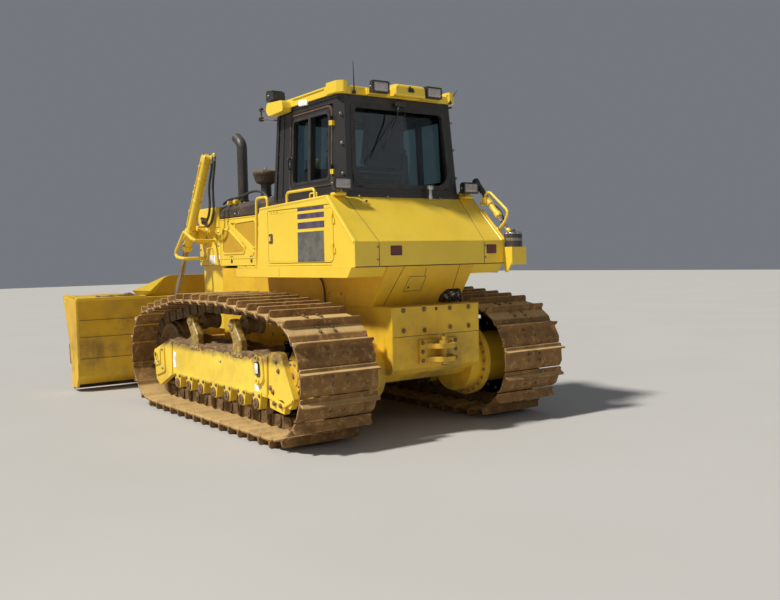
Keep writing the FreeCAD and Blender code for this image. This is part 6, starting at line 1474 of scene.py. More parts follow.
def cab_trim():
    """Drip rails, seams, wipers, arms with their heads, aerials, blank pad and the wall's lining."""
    kit = Kit("cab_trim", "chassis", CAB_DARK, "cab_dark", (RUBBER, IRON, STEEL, TRIM_GREY, SEAM))
    for side in (1, -1):
        for z0, z1, x0, x1 in ((3072, 3072, 120, 1235),):
            kit.line((x0, side * cab_edge(z0, 690, 655), z0), (x1, side * cab_edge(z1, 690, 655), z1), (0, side, 0), 16, 12)
        kit.mat = 1
        for x, x_up in ((1150, 1120),):
            kit.line((x, side * 690, 2230), (x_up, side * 658, 3040), (0, side, 0), 12, 6)
        kit.mat = 3
        for z in (2290, 2480, 2670, 2860, 3020):
            kit.bolt((cab_edge(z, 1308, 1240) - 22, side * (cab_edge(z, 690, 655) - 22), z), (0.7, side * 0.7, 0), 9, 7)
        kit.mat = 5
        kit.line((40, side * 688, 2204), (1300, side * 688, 2204), (0, side, 0), 6, 1)
        kit.mat = 0
    kit.mat = 5
    kit.line((37, -640, 2204), (37, 640, 2204), (-1, 0, 0), 6, 1)
    kit.mat = 2
    for side in (1, -1):
        kit.pipe([(1272, side * 672, 3078), (1340, side * 706, 3104), (1488, side * 724, 3136)], 8, 30, 12)
        kit.pipe([(1236, side * 672, 3004), (1340, side * 706, 3028), (1492, side * 724, 3050)], 8, 30, 12)
        kit.rod((1490, side * 724, 3030), (1487, side * 724, 3150), 9, 16)
    kit.mat = 1
    for side in (1, -1):
        kit.lathe((1487, side * 724, 3128), (0, 0, 1), [(0, 12), (4, 22), (24, 24), (34, 18), (40, 8)], 18)
        kit.lathe((1491, side * 724, 3028), (0, 0, 1), [(0, 14), (5, 27), (34, 28), (44, 20), (48, 8)], 18)
    for y, z, top in ((522, 3100, 3384), (-600, 3098, 3232)):
        lean = 10 if y > 0 else -86
        kit.lathe((66, y, z), (0, 0, 1), [(-6, 18), (10, 18), (18, 12), (30, 8)], 18)
        kit.sweep([(66, y, z + 20), (64, y + lean * 0.4, z + (top - z) * 0.5), (60, y + lean, top)], [7, 5, 3], 8)
    kit.mat = 4
    kit.plate("z", rounded(rect(120, -600, 1220, 600), 60), 3050, 3086, 10)
    for side in (1, -1):
        kit.panel(side, rounded([(130, 2205), (1200, 2205), (1180, 2318), (140, 2318)], 20), 578, 612, 8)
        kit.block((110, min(side * 560, side * 600), 2206), (196, max(side * 560, side * 600), 3048), 12, "z")
    kit.plate("z", rounded(rect(120, -590, 1200, 590), 40), 2203, 2212, 3)
    kit.mat = 1
    for y in range(-540, 560, 60):
        kit.line((900, y, 2212), (1190, y, 2212), (0, 0, 1), 14, 4)
    kit.make()

    wiper = Kit("rear_wiper", "chassis", PLASTIC, "black_plastic", (STEEL,))
    wiper.mat = 1
    wiper.lathe((98, 20, 3036), (-1, 0, 0), [(-20, 14), (22, 14), (26, 10)], 16)
    wiper.mat = 0
    wiper.block((62, -70, 3020), (92, 60, 3066), 8, "x")
    wiper.sweep([(66, 20, 3036), (58, 60, 2900), (50, 168, 2712)], [8, 7, 5], 8)
    wiper.sweep([(62, 66, 2900), (46, 250, 2560)], [6, 5], 8)
    wiper.sweep([(74, -60, 2960), (56, 330, 2520)], 4, 6)
    wiper.make()

    hump = Kit("roof_trim", "chassis", YELLOW, "yellow", (SEAM, WHITE, STEEL, PLASTIC))
    hump.mat = 1
    hump.plate("x", rounded([(-56, 3196), (-38, 3196), (-116, 3142), (-20, 3142)], 8), -24, -14, 2)
    for i in range(4):
        hump.mat = 4
        hump.line((-20, -30 - i * 20, 3150), (-20, -34 - i * 14, 3182), (-1, 0, 0), 7, 7)
    hump.mat = 0
    hump.plate("z", rounded(rect(640, 350, 1150, -350), 60), 3172, 3188, 6)
    for side in (1, -1):
        hump.line((330, side * 682, 3166), (900, side * 682, 3160), (0, side * 0.6, 0.8), 18, 6)
    hump.mat = 2
    hump.plate("y", rounded([(640, 3066), (800, 3076), (800, 3132), (650, 3122)], 12), 660, 684, 5)
    hump.mat = 3
    for x in (90, 400, 700, 1000, 1200):
        for y in (-590, 590):
            hump.bolt((x, y, 3176), (0, 0, 1), 11, 9)
    hump.make()


cab_trim()


def lamp_faces():
    kit = Kit("lamp_faces", "chassis", PLASTIC, "lamp_black", (LENS_FACE, STEEL, YELLOW, RUBBER))
    spots = [(-21, middle, 3109.6, -1) for middle in (282, -336)] + [(-60, side * 744, 2216, -1) for side in (1, -1)]
    spots += [(1285, side * 676, 3187, 1) for side in (1, -1)]
    for x, y, z, way in spots:
        outer = rounded(rect(y - 92, z, y + 92, z + 108), 16, 4)
        inner = rounded(rim_inset(rect(y - 92, z, y + 92, z + 108), 13), 12, 4)
        kit.mat = 0
        rings = []
        for outline, depth in ((outer, -8), (outer, 3), (inner, 6), (inner, -6)):
            rings.append([Vector((x + way * depth, a, b)) for a, b in outline])
        kit.stack(rings, loop=True)
        kit.mat = 1
        bulge = []
        for inset, depth in ((12, -2), (12, 1), (20, 4), (34, 6)):
            outline = rounded(rim_inset(rect(y - 92, z, y + 92, z + 108), inset), 12, 4)
            bulge.append([Vector((x + way * depth, a, b)) for a, b in outline])
        kit.stack(bulge)
        kit.mat = 2
        for dy in (-92, 92):
            kit.bolt((x - way * 40, y + dy, z + 54), (0, 1 if dy > 0 else -1, 0), 10, 9)
        kit.mat = 0
        for i in range(4):
            kit.block((min(x - way * 30, x - way * (36 + 10 * i)) - 0, y - 60, z + 104), (max(x - way * 24, x - way * 30) + 0, y + 60, z + 112), 2, "z")
    kit.mat = 3
    for side in (1, -1):
        low, high = sorted((side * 690, side * 800))
        kit.plate("z", rounded(rect(-40, low, 90, high), 24), 2166, 2196, 8)
        kit.lathe((0, side * 744, 2190), (0, 0, 1), [(0, 34), (10, 34), (16, 24), (30, 22)], 24)
    kit.make()
    for index, (x, y, z) in enumerate(((30, 282, 3160), (30, -336, 3160))):
        hose("lamp_cable_%d" % index, [(x + 20, y, z), (x + 60, y - 20, z + 6), (x + 92, y - 50, z - 10), (x + 110, y - 70, 3170)], 6)


lamp_faces()


def door_trim(side, name):
    """Seals, the pane's rounded frame, the grab and the lock of a cab door."""
    body = "cab_door_" + name
    kit = Kit("cab_door_trim_" + name, body, BROWN_RUBBER, "black_plastic", (RUBBER, CAB_DARK, STEEL, PLASTIC))

    def place(x, z, out):
        return Vector((x, side * (cab_edge(z, 690, 655) + out), z))

    face = [(215, 2280), (215, 3015), (995, 3015), (1010, 2280)]
    radii = (40, 80, 40, 40)
    outer = rounded([(*p, r) for p, r in zip(rim_inset(face, 1), radii)], 40, 7)
    lip = rounded([(*p, r) for p, r in zip(rim_inset(face, 17), radii)], 40, 7)
    band(kit, place, outer, lip, ((0, -4), (0, 4), (1, 7), (1, -4)))
    kit.mat = 1
    hole = rim_inset(face, 55)
    for low, high in ((None, None),):
        ring_out = rounded([(*p, r) for p, r in zip(rim_inset(hole, -8), (34, 62, 34, 34))], 40, 7)
        ring_in = rounded([(*p, r) for p, r in zip(rim_inset(hole, 16), (34, 60, 34, 34))], 40, 7)
        band(kit, place, ring_out, ring_in, ((0, -3), (0, 4), (1, 6), (1, -22), (0, -22)))
    kit.line(place(629, 2336, 0), place(629, 2960, 0), (0, side, 0), 42, 6)
    kit.mat = 4
    kit.panel(side, rounded(rect(945, 2470, 1000, 2610), 16), 664, 692, 4)
    kit.pipe([(962, side * 688, 2490), (962, side * 724, 2490), (960, side * 722, 2596), (960, side * 684, 2596)], 10, 16, 14)
    kit.mat = 3
    kit.lathe((984, side * 690, 2540), (0, side, 0), [(-2, 12), (6, 12), (8, 8)], 16)
    for z in (2420, 2860):
        y = side * (cab_edge(z, 690, 655))
        kit.bolt((250, y, z - 14), (0, side, 0), 8, 6)
        kit.bolt((250, y, z + 14), (0, side, 0), 8, 6)
    kit.make()


door_trim(LEFT, "left")
door_trim(RIGHT, "right")


def cushion(name, centre, size, lean, tufts, material=FABRIC):
    """A crowned pad, filled by a cloth simulation, with its seams drawn in afterwards."""
    made = bmesh.new()
    bmesh.ops.create_cube(made, size=2.0)
    bmesh.ops.subdivide_edges(made, edges=made.edges, cuts=9, use_grid_fill=True)
    turn = Matrix.Rotation(lean, 4, "Y")
    middle = P(*centre)
    for vert in made.verts:
        x, y, z = vert.co
        pull = 1 - 0.035 * (1 - y * y) - 0.02 * (1 - z * z)
        side_pull = 1 - 0.03 * (1 - x * x)
        long = max(abs(x), abs(y))
        crown = 1 - 0.34 * long ** 6
        spot = Vector((x * pull * size[0] / 2, y * side_pull * size[1] / 2, z * crown * size[2] / 2)) / 1000
        vert.co = middle + turn @ spot
    mesh = bpy.data.meshes.new(name)
    made.to_mesh(mesh)
    made.free()
    obj = bpy.data.objects.new(name, mesh)
    bpy.context.scene.collection.objects.link(obj)
    remesh = obj.modifiers.new("voxels", "REMESH")
    remesh.mode = "VOXEL"
    remesh.voxel_size = 0.009
    start = bpy.data.meshes.new_from_object(obj.evaluated_get(bpy.context.evaluated_depsgraph_get()))
    obj.modifiers.clear()
    obj.data = start
    cloth = obj.modifiers.new("cloth", "CLOTH")
    cloth.settings.quality = 5
    cloth.settings.mass = 0.3
    cloth.settings.tension_stiffness = 25
    cloth.settings.compression_stiffness = 25
    cloth.settings.use_pressure = True
    cloth.settings.uniform_pressure_force = 4
    cloth.settings.effector_weights.gravity = 0
    cloth.point_cache.frame_start = 1
    cloth.point_cache.frame_end = 20
    for step in range(1, 21):
        bpy.context.scene.frame_set(step)
    swelled = bpy.data.meshes.new_from_object(obj.evaluated_get(bpy.context.evaluated_depsgraph_get()))
    bpy.context.scene.frame_set(1)
    obj.modifiers.clear()
    for before, after in zip(start.vertices, swelled.vertices):
        move = after.co - before.co
        if move.length > 0.012:
            move = move.normalized() * 0.012
        after.co = before.co + move
    obj.data = swelled
    back = turn.inverted()
    for vert in obj.data.vertices:
        local = back @ (vert.co - middle) * 1000
        sink = 0.0
        for axis, places in tufts:
            for spot in places:
                sink = max(sink, math.exp(-((local[axis] - spot) / 9.0) ** 2))
        rim = abs(local.z) - size[2] * 0.30
        sink = max(sink, 0.8 * math.exp(-(rim / 5.0) ** 2) if max(abs(local.x) / size[0], abs(local.y) / size[1]) > 0.40 else 0)
        vert.co -= vert.normal * 0.006 * sink
    obj.data.materials.clear()
    obj.data.materials.append(material)
    obj.data.shade_smooth()
    smooth = obj.modifiers.new("smooth", "SUBSURF")
    smooth.levels = smooth.render_levels = 1
    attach(obj, "chassis")
    return obj


cushion("seat_cushion", (640, 0, 2455), (480, 470, 96), math.radians(-4), ((1, (-150, 150)), (0, (-60,))))
cushion("seat_back", (400, 0, 2745), (500, 450, 84), math.radians(-101), ((1, (-140, 140)), (0, (-110, 60))))
cushion("arm_pad_left", (650, 330, 2668), (330, 96, 44), 0, ())
cushion("arm_pad_right", (650, -330, 2668), (330, 96, 44), 0, ())


def seat_frame():
    kit = Kit("seat_frame", "chassis", PLASTIC, "black_plastic", (STEEL, TRIM_GREY, RUBBER))
    floor_z = 2204
    kit.mat = 2
    for level in range(5):
        kit.plate("z", rounded(rect(445, -165, 755, 165), 30), floor_z + 8 + level * 30, floor_z + 30 + level * 30, 9)
    kit.mat = 0
    kit.plate("z", rounded(rect(400, -235, 890, 235), 50), floor_z + 160, floor_z + 206, 12)
    kit.plate("y", rounded([(380, 2440), (500, 2460), (430, 3010), (318, 2992)], 40, 5), -150, -134, 5)
    kit.plate("y", rounded([(380, 2440), (500, 2460), (430, 3010), (318, 2992)], 40, 5), 134, 150, 5)
    kit.plate("y", rounded([(358, 2470), (392, 2474), (340, 2990), (308, 2984)], 14, 4), -205, 205, 10)
    kit.mat = 1
    kit.rod((430, -250, 2440), (430, 250, 2440), 16, 18)
    for y in (-210, 210):
        kit.block((470, y - 10, floor_z + 130), (830, y + 10, floor_z + 160), 3, "z")
    kit.mat = 0
    for side in (1, -1):
        low, high = sorted((side * 282, side * 378))
        pod = rounded([(452, floor_z + 6), (848, floor_z + 6), (830, floor_z + 330), (800, floor_z + 440), (470, floor_z + 440)], 46, 6)
        kit.plate("y", pod, low, high, 14)
        kit.pipe([(760, side * 330, floor_z + 430), (790, side * 330, floor_z + 560)], 11, 10, 12)
        kit.lathe((784, side * 330, floor_z + 540), (0.22, 0, 0.97), [(0, 16), (14, 26), (60, 24), (96, 28), (112, 22), (118, 10)], 20)
        kit.lathe((716, side * 330, floor_z + 438), (0, 0, 1), [(0, 34), (6, 36), (22, 26), (30, 20)], 22)
    kit.mat = 1
    for x in (560, 600, 640):
        kit.lathe((x, -375, floor_z + 300), (0, -1, 0), [(-2, 12), (5, 12), (7, 8)], 14)
    kit.make(["seat"])


seat_frame()


def controls():
    """Dashboard with its screen and switches, and pedals."""
    kit = Kit("cab_controls", "chassis", PLASTIC, "black_plastic", (TRIM_GREY, STEEL, RUBBER, DECAL_GREY))
    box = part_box("console")
    low, high = box[0], box[1]
    x0, x1 = low[0] * 1000 - SLIDE, high[0] * 1000 - SLIDE
    y0, y1 = low[1] * 1000, high[1] * 1000
    z0, z1 = low[2] * 1000, high[2] * 1000
    kit.mat = 1
    kit.plate("y", rounded([(x0 + 30, z0), (x1, z0), (x1, z1 - 20), (x1 - 60, z1), (x0, z1 - 60), (x0 + 10, z0 + 160)], 30, 5), y0 + 6, y1 - 6, 16)
    kit.mat = 0
    kit.plate("x", rounded(rect(-120, z1 - 150, 120, z1 - 10), 18), x0 - 26, x0 + 30, 6)
    kit.mat = 4
    kit.plate("x", rounded(rect(-96, z1 - 130, 96, z1 - 34), 8), x0 - 29, x0 - 24, 1)
    kit.mat = 2
    for y in range(-150, 151, 50):
        kit.lathe((x0 + 2, y, z1 - 190), (-1, 0, 0), [(-4, 13), (10, 13), (13, 9)], 16)
    kit.mat = 3
    for y in (-120, 60):
        kit.plate("x", rounded(rect(y, z0 + 60, y + 90, z0 + 170), 12), x0 - 60, x0 - 42, 4)
        kit.pipe([(x0 - 44, y + 45, z0 + 120), (x0 + 20, y + 45, z0 + 190)], 8, 8, 10)
    kit.make(["console"])


controls()

# front: stacks, nose, lift cylinders and their hoses



def stacks():
    kit = Kit("exhaust_stack", "chassis", SMOOTH_GREY, "black_paint", (BOWL_BROWN, STEEL, PLASTIC))
    low = 2305 - 43 * (2915 - 1330) / 1696
    path = round_path([(2918, 250, low - 10), (2918, 250, 3002), (3052, 250, 3086)], 116, 16)
    path = [Vector(p) for p in path]
    run = [path[-1] - (path[-1] - path[-2]).normalized() * 0.5, path[-1]]
    kit.sweep(path[:-1] + run, [61] * (len(path) - 1) + [61, 60], 40, False)
    back = [p.copy() for p in reversed(path[len(path) // 2 - 2:])]
    kit.mat = 3
    kit.sweep(back, [57.5] * len(back), 40, False)
    kit.mat = 0
    end, along = path[-1], (path[-1] - path[-2]).normalized()
    kit.turn(end, along, [(-6, 61), (0, 61.5), (1.5, 60), (1.5, 58), (-6, 57)], 40)
    kit.mat = 3
    kit.lathe((2918, 250, 2900), (0, 0, 1), [(0, 57), (3, 57)], 32)
    kit.mat = 0
    kit.lathe((2918, 250, low), (0, 0, 1), [(-4, 98), (16, 98), (22, 92), (26, 76), (64, 72), (70, 64)], 40)
    kit.mat = 2
    for turn in range(6):
        a = turn * math.pi / 3
        kit.bolt((2918 + 85 * math.cos(a), 250 + 85 * math.sin(a), low + 18), (0, 0, 1), 10, 8)
    kit.rod((2918 - 60, 170, low + 48), (2918 + 40, 172, low + 48), 6, 12)
    kit.mat = 0
    kit.turn((2918, 250, low + 40), (0, 0, 1), [(-12, 72), (-12, 77), (12, 77), (12, 72)], 40)
    kit.make(["exhaust"], sharp=40)

    kit = Kit("pre_cleaner_bowl", "chassis", BOWL_BROWN, "black_plastic", (SMOOTH_GREY, STEEL, RUBBER))
    low = 2305 - 43 * (2330 - 1330) / 1696
    x = 2332
    kit.mat = 1
    kit.lathe((x, 250, low), (0, 0, 1), [(-6, 92), (10, 92), (16, 84), (20, 66), (60, 60), (170, 60), (200, 60)], 36)
    kit.mat = 0
    kit.lathe((x, 250, low), (0, 0, 1), [
        (182, 58), (192, 66), (200, 88), (207, 106), (216, 115), (228, 119), (284, 134), (292, 140), (299, 146), (310, 147), (324, 147),
        (332, 144), (338, 136), (342, 124), (346, 96), (354, 60), (358, 20)], 64)
    for turn in range(40):
        a = 2 * math.pi * turn / 40
        c, s = math.cos(a), math.sin(a)
        kit.line((x + 119 * c, 250 + 119 * s, low + 232), (x + 133 * c, 250 + 133 * s, low + 282), (c, s, -0.25), 6, 3)
    kit.mat = 3
    kit.turn((x, 250, low + 60), (0, 0, 1), [(-9, 60), (-9, 64), (9, 64), (9, 60)], 36)
    kit.mat = 2
    kit.lathe((x, 250, low + 360), (0, 0, 1), [(0, 16), (5, 16), (6, 8), (16, 8), (18, 5)], 16)
    for flip in (-1, 1):
        kit.plate("y", rounded([(x + flip * 5, low + 366), (x + flip * 26, low + 376), (x + flip * 30, low + 388), (x + flip * 14, low + 378)], 3), 247, 253, 1)
    for turn in range(4):
        a = math.pi / 4 + turn * math.pi / 2
        kit.plate("z", [(x + 140 * math.cos(a + d) * k, 250 + 140 * math.sin(a + d) * k) for d, k in ((-0.05, 0.98), (0.05, 0.98), (0.05, 1.05), (-0.05, 1.05))], low + 306, low + 338, 2)
    kit.make(["pre_cleaner"], sharp=38)


stacks()


def nose_dress():
    """Rounded caps over the nose's upper corners, its seams, bolts, mouth and the guard tubes' feet."""
    kit = Kit("nose_dress", "chassis", YELLOW, "yellow", (SEAM, PLASTIC, STEEL, YELLOW_MESH, CORE))
    kit.plate("y", rounded([(3136, 2030), (3136, 2258), (3596, 2256), (3612, 2080), (3520, 2030)], 74, 8), 500, 540, 12)
    kit.plate("y", rounded([(3034, 2010), (3034, 2250), (3112, 2250), (3112, 2010)], 12, 4), 500, 530, 8)
    kit.mat = 1
    for a, b in (((3124, 2250), (3124, 1580)), ((3040, 1566), (3616, 1566))):
        kit.line((a[0], 520, a[1]), (b[0], 520, b[1]), (0, 1, 0), 5, 0.8)
    kit.mat = 3
    for x, z in ((3070, 1620), (3070, 1800), (3070, 1960), (3590, 1620), (3590, 1760)):
        kit.bolt((x, 520, z), (0, 1, 0), 12, 9)
    kit.mat = 0
    for x, y, z in ((3145, 520, 1858), (3420, 520, 1652)):
        kit.lathe((x, y, z), (0, 1, 0), [(-3, 46), (10, 46), (14, 42), (14, 24), (22, 22)], 28)
    for dz in (-96, 96):
        kit.block((3390, 516, 1938 + dz - 14), (3502, 634, 1938 + dz + 14), 5, "y")
    kit.lathe((3446, 520, 1938), (0, 1, 0), [(-4, 128), (16, 128), (22, 120), (22, 60)], 40)
    kit.mat = 3
    for turn in range(8):
        a = (turn + 0.5) * math.pi / 4
        kit.bolt((3446 + 108 * math.cos(a), 542, 1938 + 108 * math.sin(a)), (0, 1, 0), 12, 10)
    kit.mat = 0
    kit.pipe([(3240, 520, 1770), (3240, 590, 1770), (3250, 592, 1640)], 9, 22, 12)
    kit.mirrored()
    kit.mat = 0
    rim = rect(-434, 1316, 434, 2138)
    outer, inner = rounded(rim_inset(rim, -34), 46, 6), rounded(rim, 16, 6)
    rings = []
    for outline, depth in ((outer, -6), (outer, 8), (inner, 12), (inner, -30)):
        rings.append([Vector((3620 + depth - (z - 1240) * 0.0134, y, z)) for y, z in outline])
    kit.stack(rings, loop=True)
    kit.mat = 3
    for z in (1330, 1620, 1900, 2120):
        for y in (-452, 452):
            kit.bolt((3628 - (z - 1240) * 0.0134, y, z), (1, 0, 0), 12, 9)
    kit.mat = 0
    kit.plate("x", rounded(rect(-380, 1130, 380, 1216), 26), 3570, 3622, 10)
    kit.mat = 3
    for y in (-330, -110, 110, 330):
        kit.bolt((3621, y, 1172), (1, 0, 0), 15, 11)
    kit.make()

    bars = Kit("grille_bars", "chassis", YELLOW_MESH, "yellow", (YELLOW, STEEL))
    for i in range(14):
        z = 1352 + i * 54
        bars.plate("y", [(3562, z), (3568, z + 5), (3604, z - 12), (3600, z - 20)], -424, 424, 1.5)
    bars.mat = 1
    for y in (-212, 212):
        bars.block((3558, y - 6, 1322), (3594, y + 6, 2132), 2, "z")
    bars.make()


nose_dress()

TRUNNION = 37.4
UPWARD = Vector((-0.5524, 0, 0.8336))
FRONTWARD = Vector((0.8336, 0, 0.5524))


def lift_dress(side, name):
    """A lift cylinder's head, clamps, oil tube, collar and gland."""
    base = Vector((3446, side * 720, 1938))

    def at(t, front=0.0, out=0.0):
        return base + UPWARD * t + FRONTWARD * front + Vector((0, side * out, 0))

    kit = Kit("lift_dress_" + name, "lift_barrel_" + name, YELLOW, "yellow", (STEEL, RUBBER, SEAM, WHITE))
    kit.turn(at(0), UPWARD, [(-208, 38), (-208, 46), (-204, 50), (1050, 50), (1050, 38)], 48)
    kit.rod((3446, side * 548, 1938), (3446, side * 690, 1938), TRUNNION, 40, 3)
    square = rounded(rect(-54, -54, 54, 54), 16, 4)
    hole = [(49.5 * a / math.hypot(a, b), 49.5 * b / math.hypot(a, b)) for a, b in square]
    rings = [[at(975, a, b) for a, b in hole]]
    for t, inset in ((975, 4), (979, 0), (1059, 0), (1063, 4)):
        rings.append([at(t, a, b) for a, b in rim_inset(square, inset)])
    rings.append([at(1063, a, b) for a, b in hole])
    kit.stack(rings, loop=True)
    kit.lathe(at(1046), UPWARD, [(0, 49), (8, 49), (20, 46), (26, 38)], 36)
    kit.mat = 1
    for a in (-39, 39):
        for b in (-39, 39):
            kit.bolt(at(1062, a, b), UPWARD, 10, 11)
    kit.mat = 0
    kit.pipe([at(1030, 46, 24), at(1030, 66, 36), at(940, 50, 42), at(120, 50, 42), at(90, 36, 32)], 10, 26, 14)
    for t in (900, 640, 560, 300):
        kit.panel(side, [(p.x, p.z) for p in (at(t - 14, 40), at(t + 14, 40), at(t + 14, 64), at(t - 14, 64))], 732, 776, 4)
    for t in (760, 470):
        kit.turn(at(t), UPWARD, [(-15, 49), (-15, 53), (-12, 55), (12, 55), (15, 53), (15, 49)], 40)
    kit.mat = 1
    for t in (900, 640, 560, 300):
        kit.bolt(at(t, 62, 48), FRONTWARD, 7, 7)
    kit.mat = 0
    kit.turn(at(0), UPWARD, [(-70, 49), (-74, 54), (-74, 66), (-66, 70), (66, 70), (74, 66), (74, 54), (70, 49)], 44)
    kit.turn(at(-150), UPWARD, [(-60, 40), (-60, 56), (-54, 60), (0, 60), (5, 56), (5, 49)], 44)
    kit.mat = 1
    for turn in range(8):
        a = (turn + 0.5) * math.pi / 4
        kit.bolt(at(-208, 50 * math.cos(a), 50 * math.sin(a)), -UPWARD, 6, 8, False)
    kit.mat = 2
    kit.turn(at(-208), UPWARD, [(-8, 37.5), (-8, 46), (4, 48), (4, 37.5)], 36)
    kit.mat = 3
    kit.turn(at(974), UPWARD, [(-1, 49), (-1, 50.6), (1, 50.6), (1, 49)], 40)
    kit.mat = 0
    for x, y, z, t in ((2792, 698, 2790, 1004), (2738, 688, 2812, 1050)):
        kit.pipe([at(t, -24, y - 720), (x, side * y, z + 34), (x, side * y, z - 4)], 14, 24, 14)
    kit.mat = 1
    for x, y, z in ((2792, 698, 2790), (2738, 688, 2812)):
        kit.lathe((x, side * y, z), (0, 0, -1), [(0, 17), (4, 22), (16, 22), (17, 19), (50, 18), (54, 15)], 6)
    kit.lathe(at(-138, -16, 54), (0, side, 0), [(-2, 13), (10, 13), (13, 9)], 6)
    kit.make(["lift_barrel_" + name])

    fittings = Kit("lift_fittings_" + name, "chassis", STEEL, "chrome", (YELLOW,))
    for x, y, z in ((3300, 616, 2124), (3262, 624, 2078)):
        fittings.lathe((x - 46, side * y, z - (12 if z > 2100 else 14)), (0.95, 0, 0.28), [(0, 15), (4, 18), (34, 19), (35, 23), (48, 23), (50, 16), (66, 16)], 16)
        fittings.pipe([(x + 6, side * y, z + 4), (x + 40, side * y, z + 12), (x + 60, side * 548, z + 10), (x + 60, side * 515, z + 10)], 13, 18, 12)
    fittings.mat = 1
    fittings.block((3350, min(side * 518, side * 560), 2040), (3420, max(side * 518, side * 560), 2150), 6, "y")
    fittings.make()
    upper = [(2792, 698, 2742), (2798, 698, 2690), (2842, 696, 2600), (2896, 693, 2500), (2912, 691, 2400), (2900, 690, 2290),
             (2928, 688, 2170), (3010, 680, 2096), (3110, 662, 2080), (3190, 634, 2094), (3258, 616, 2113)]
    lower = [(2738, 688, 2764), (2742, 688, 2700), (2776, 690, 2600), (2808, 690, 2480), (2806, 690, 2360), (2794, 690, 2230),
             (2826, 688, 2120), (2910, 682, 2050), (3030, 668, 2024), (3140, 642, 2040), (3220, 624, 2065)]
    for index, route in enumerate((upper, lower)):
        points = [(x, side * y, z) for x, y, z in route]
        hose("lift_hose_%s_%d" % (name, index), points, 14, ("lift_barrel_" + name, points[-2], points[1]))


lift_dress(LEFT, "left")
lift_dress(RIGHT, "right")


def rod_collars():
    for side, name in ((LEFT, "left"), (RIGHT, "right")):
        kit = Kit("lift_eye_dress_" + name, "lift_rod_" + name, STEEL, "worn_steel", (FRAME_YELLOW, IRON))
        kit.mat = 1
        foot = Vector((4100, side * 720, 951))
        kit.turn(foot, (0, 1, 0), [(-31, 50), (-31, 62), (-26, 66), (26, 66), (31, 62), (31, 50)], 36)
        kit.lathe(foot + UPWARD * 44, UPWARD, [(0, 52), (18, 50), (44, 44), (52, 38), (54, 35.5)], 32)
        kit.make()


rod_collars()

# blade, its yoke and the C-frame

FACE_X = 4580.0


def blade_dress():
    kit = Kit("blade_dress", "blade", BLADE_YELLOW, "yellow", (SEAM, YELLOW, STEEL, IRON))
    for z in (905, 690, 418):
        kit.mat = 0
        for y0, y1 in ((640, 1752), (-1752, -640)):
            kit.line((FACE_X, y0, z + 9), (FACE_X, y1, z + 9), (-1, 0, 0), 10, 3)
        kit.mat = 1
        for y0, y1 in ((640, 1752), (-1752, -640)):
            kit.line((FACE_X, y0, z), (FACE_X, y1, z), (-1, 0, 0), 7, 1.2)
    kit.mat = 0
    for side in (1, -1):
        y = side * 1189
        kit.lathe((FACE_X, y, 838), (-1, 0, 0), [(-2, 62), (3, 60), (6, 54), (7, 44), (7, 20)], 36)
        kit.plate("x", rounded(rect(y - 90, 804, y + 90, 872), 33, 8), FACE_X - 5, FACE_X + 4, 4)
        kit.weld((FACE_X + 4, side * 1752, 300), (FACE_X + 4, side * 1752, 1150), (-0.7, -side * 0.7, 0), 7)
    kit.mat = 2
    for side in (1, -1):
        low, high = sorted((side * 886, side * 1778))
        profile = [(4574, 1150), (4568, 1170), (4572, 1186), (4582, 1192), (4660, 1191), (4668, 1184), (4668, 1150)]
        kit.plate("y", profile, low, high, 3)
    for side in (1, -1):
        tip = Vector((4716, side * 1015, 1251))
        peak = Vector((4704, side * 548, 1436))
        fold = Vector((4640, side * 802, 1236))
        foot = Vector((4690, side * 904, 1140))
        root = Vector((4708, side * 720, 1200))
        for a, b, c in ((tip, peak, fold), (tip, fold, foot)):
            normal = (b - a).cross(c - a).normalized() * 5
            kit.add([a + normal, b + normal, c + normal, a - normal, b - normal, c - normal],
                    [(0, 1, 2), (5, 4, 3), (0, 3, 4, 1), (1, 4, 5, 2), (2, 5, 3, 0)])
        kit.add([fold, foot, root, peak, fold + Vector((8, 0, 0)), foot + Vector((8, 0, 0)), root + Vector((8, 0, 0)), peak + Vector((8, 0, 0))],
                [(0, 1, 2, 3), (7, 6, 5, 4), (0, 4, 5, 1), (1, 5, 6, 2), (2, 6, 7, 3), (3, 7, 4, 0)])
    kit.line((4710, -500, 1440), (4710, 500, 1440), (0, 0, 1), 30, 3)
    kit.mat = 2
    for side in (1, -1):
        edge = [(4604, 318), (4580, 360), (4580, 1150), (4586, 1186), (4640, 1194), (4980, 1232)]
        for start, stop in zip(edge, edge[1:]):
            a, b = Vector((start[0], side * 1774, start[1])), Vector((stop[0], side * 1774, stop[1]))
            out = Vector((-(b.z - a.z), 0, b.x - a.x)).normalized()
            kit.line(a, b, out, 30, 3)
        kit.turn((5019, side * 1791, 1155), (0, side, 0), [(-3, 22), (2, 22), (3, 30), (2, 40), (-3, 40)], 28)
    kit.mat = 4
    for side in (1, -1):
        low, high = sorted((side * 1786, side * 1806))
        kit.panel(side, rounded([(4862, 330), (4930, 345), (4950, 590), (4915, 600), (4890, 480)], 14), 1776, 1789.5, 3)
    kit.mat = 4
    for y in range(-1680, 1681, 140):
        kit.bolt((4580 + 96, y, 150), (-0.9, 0, -0.44), 20, 16)
    kit.make()

    soil = Kit("blade_soil", "blade", SOIL, "worn_steel")
    for side, span, seed in ((1, (930, 1560), 4.2), (-1, (900, 1300), 9.1), (-1, (1380, 1640), 15.3)):
        inner = Kit("x", "blade", SOIL, "worn_steel")
        heap(inner, span, (4574, 4668), lambda x, y: 1191, 26, seed, 90, 12, 22.0, ((span[0] + 180, 70, 20), (span[0] + 420, 50, 16)))
        base = len(soil.verts)
        soil.verts += [Vector((v.y, side * v.x, v.z)) for v in inner.verts]
        soil.faces += [tuple(base + i for i in face) for face in inner.faces]
        soil.marks += inner.marks
    soil.make(sharp=60)


blade_dress()


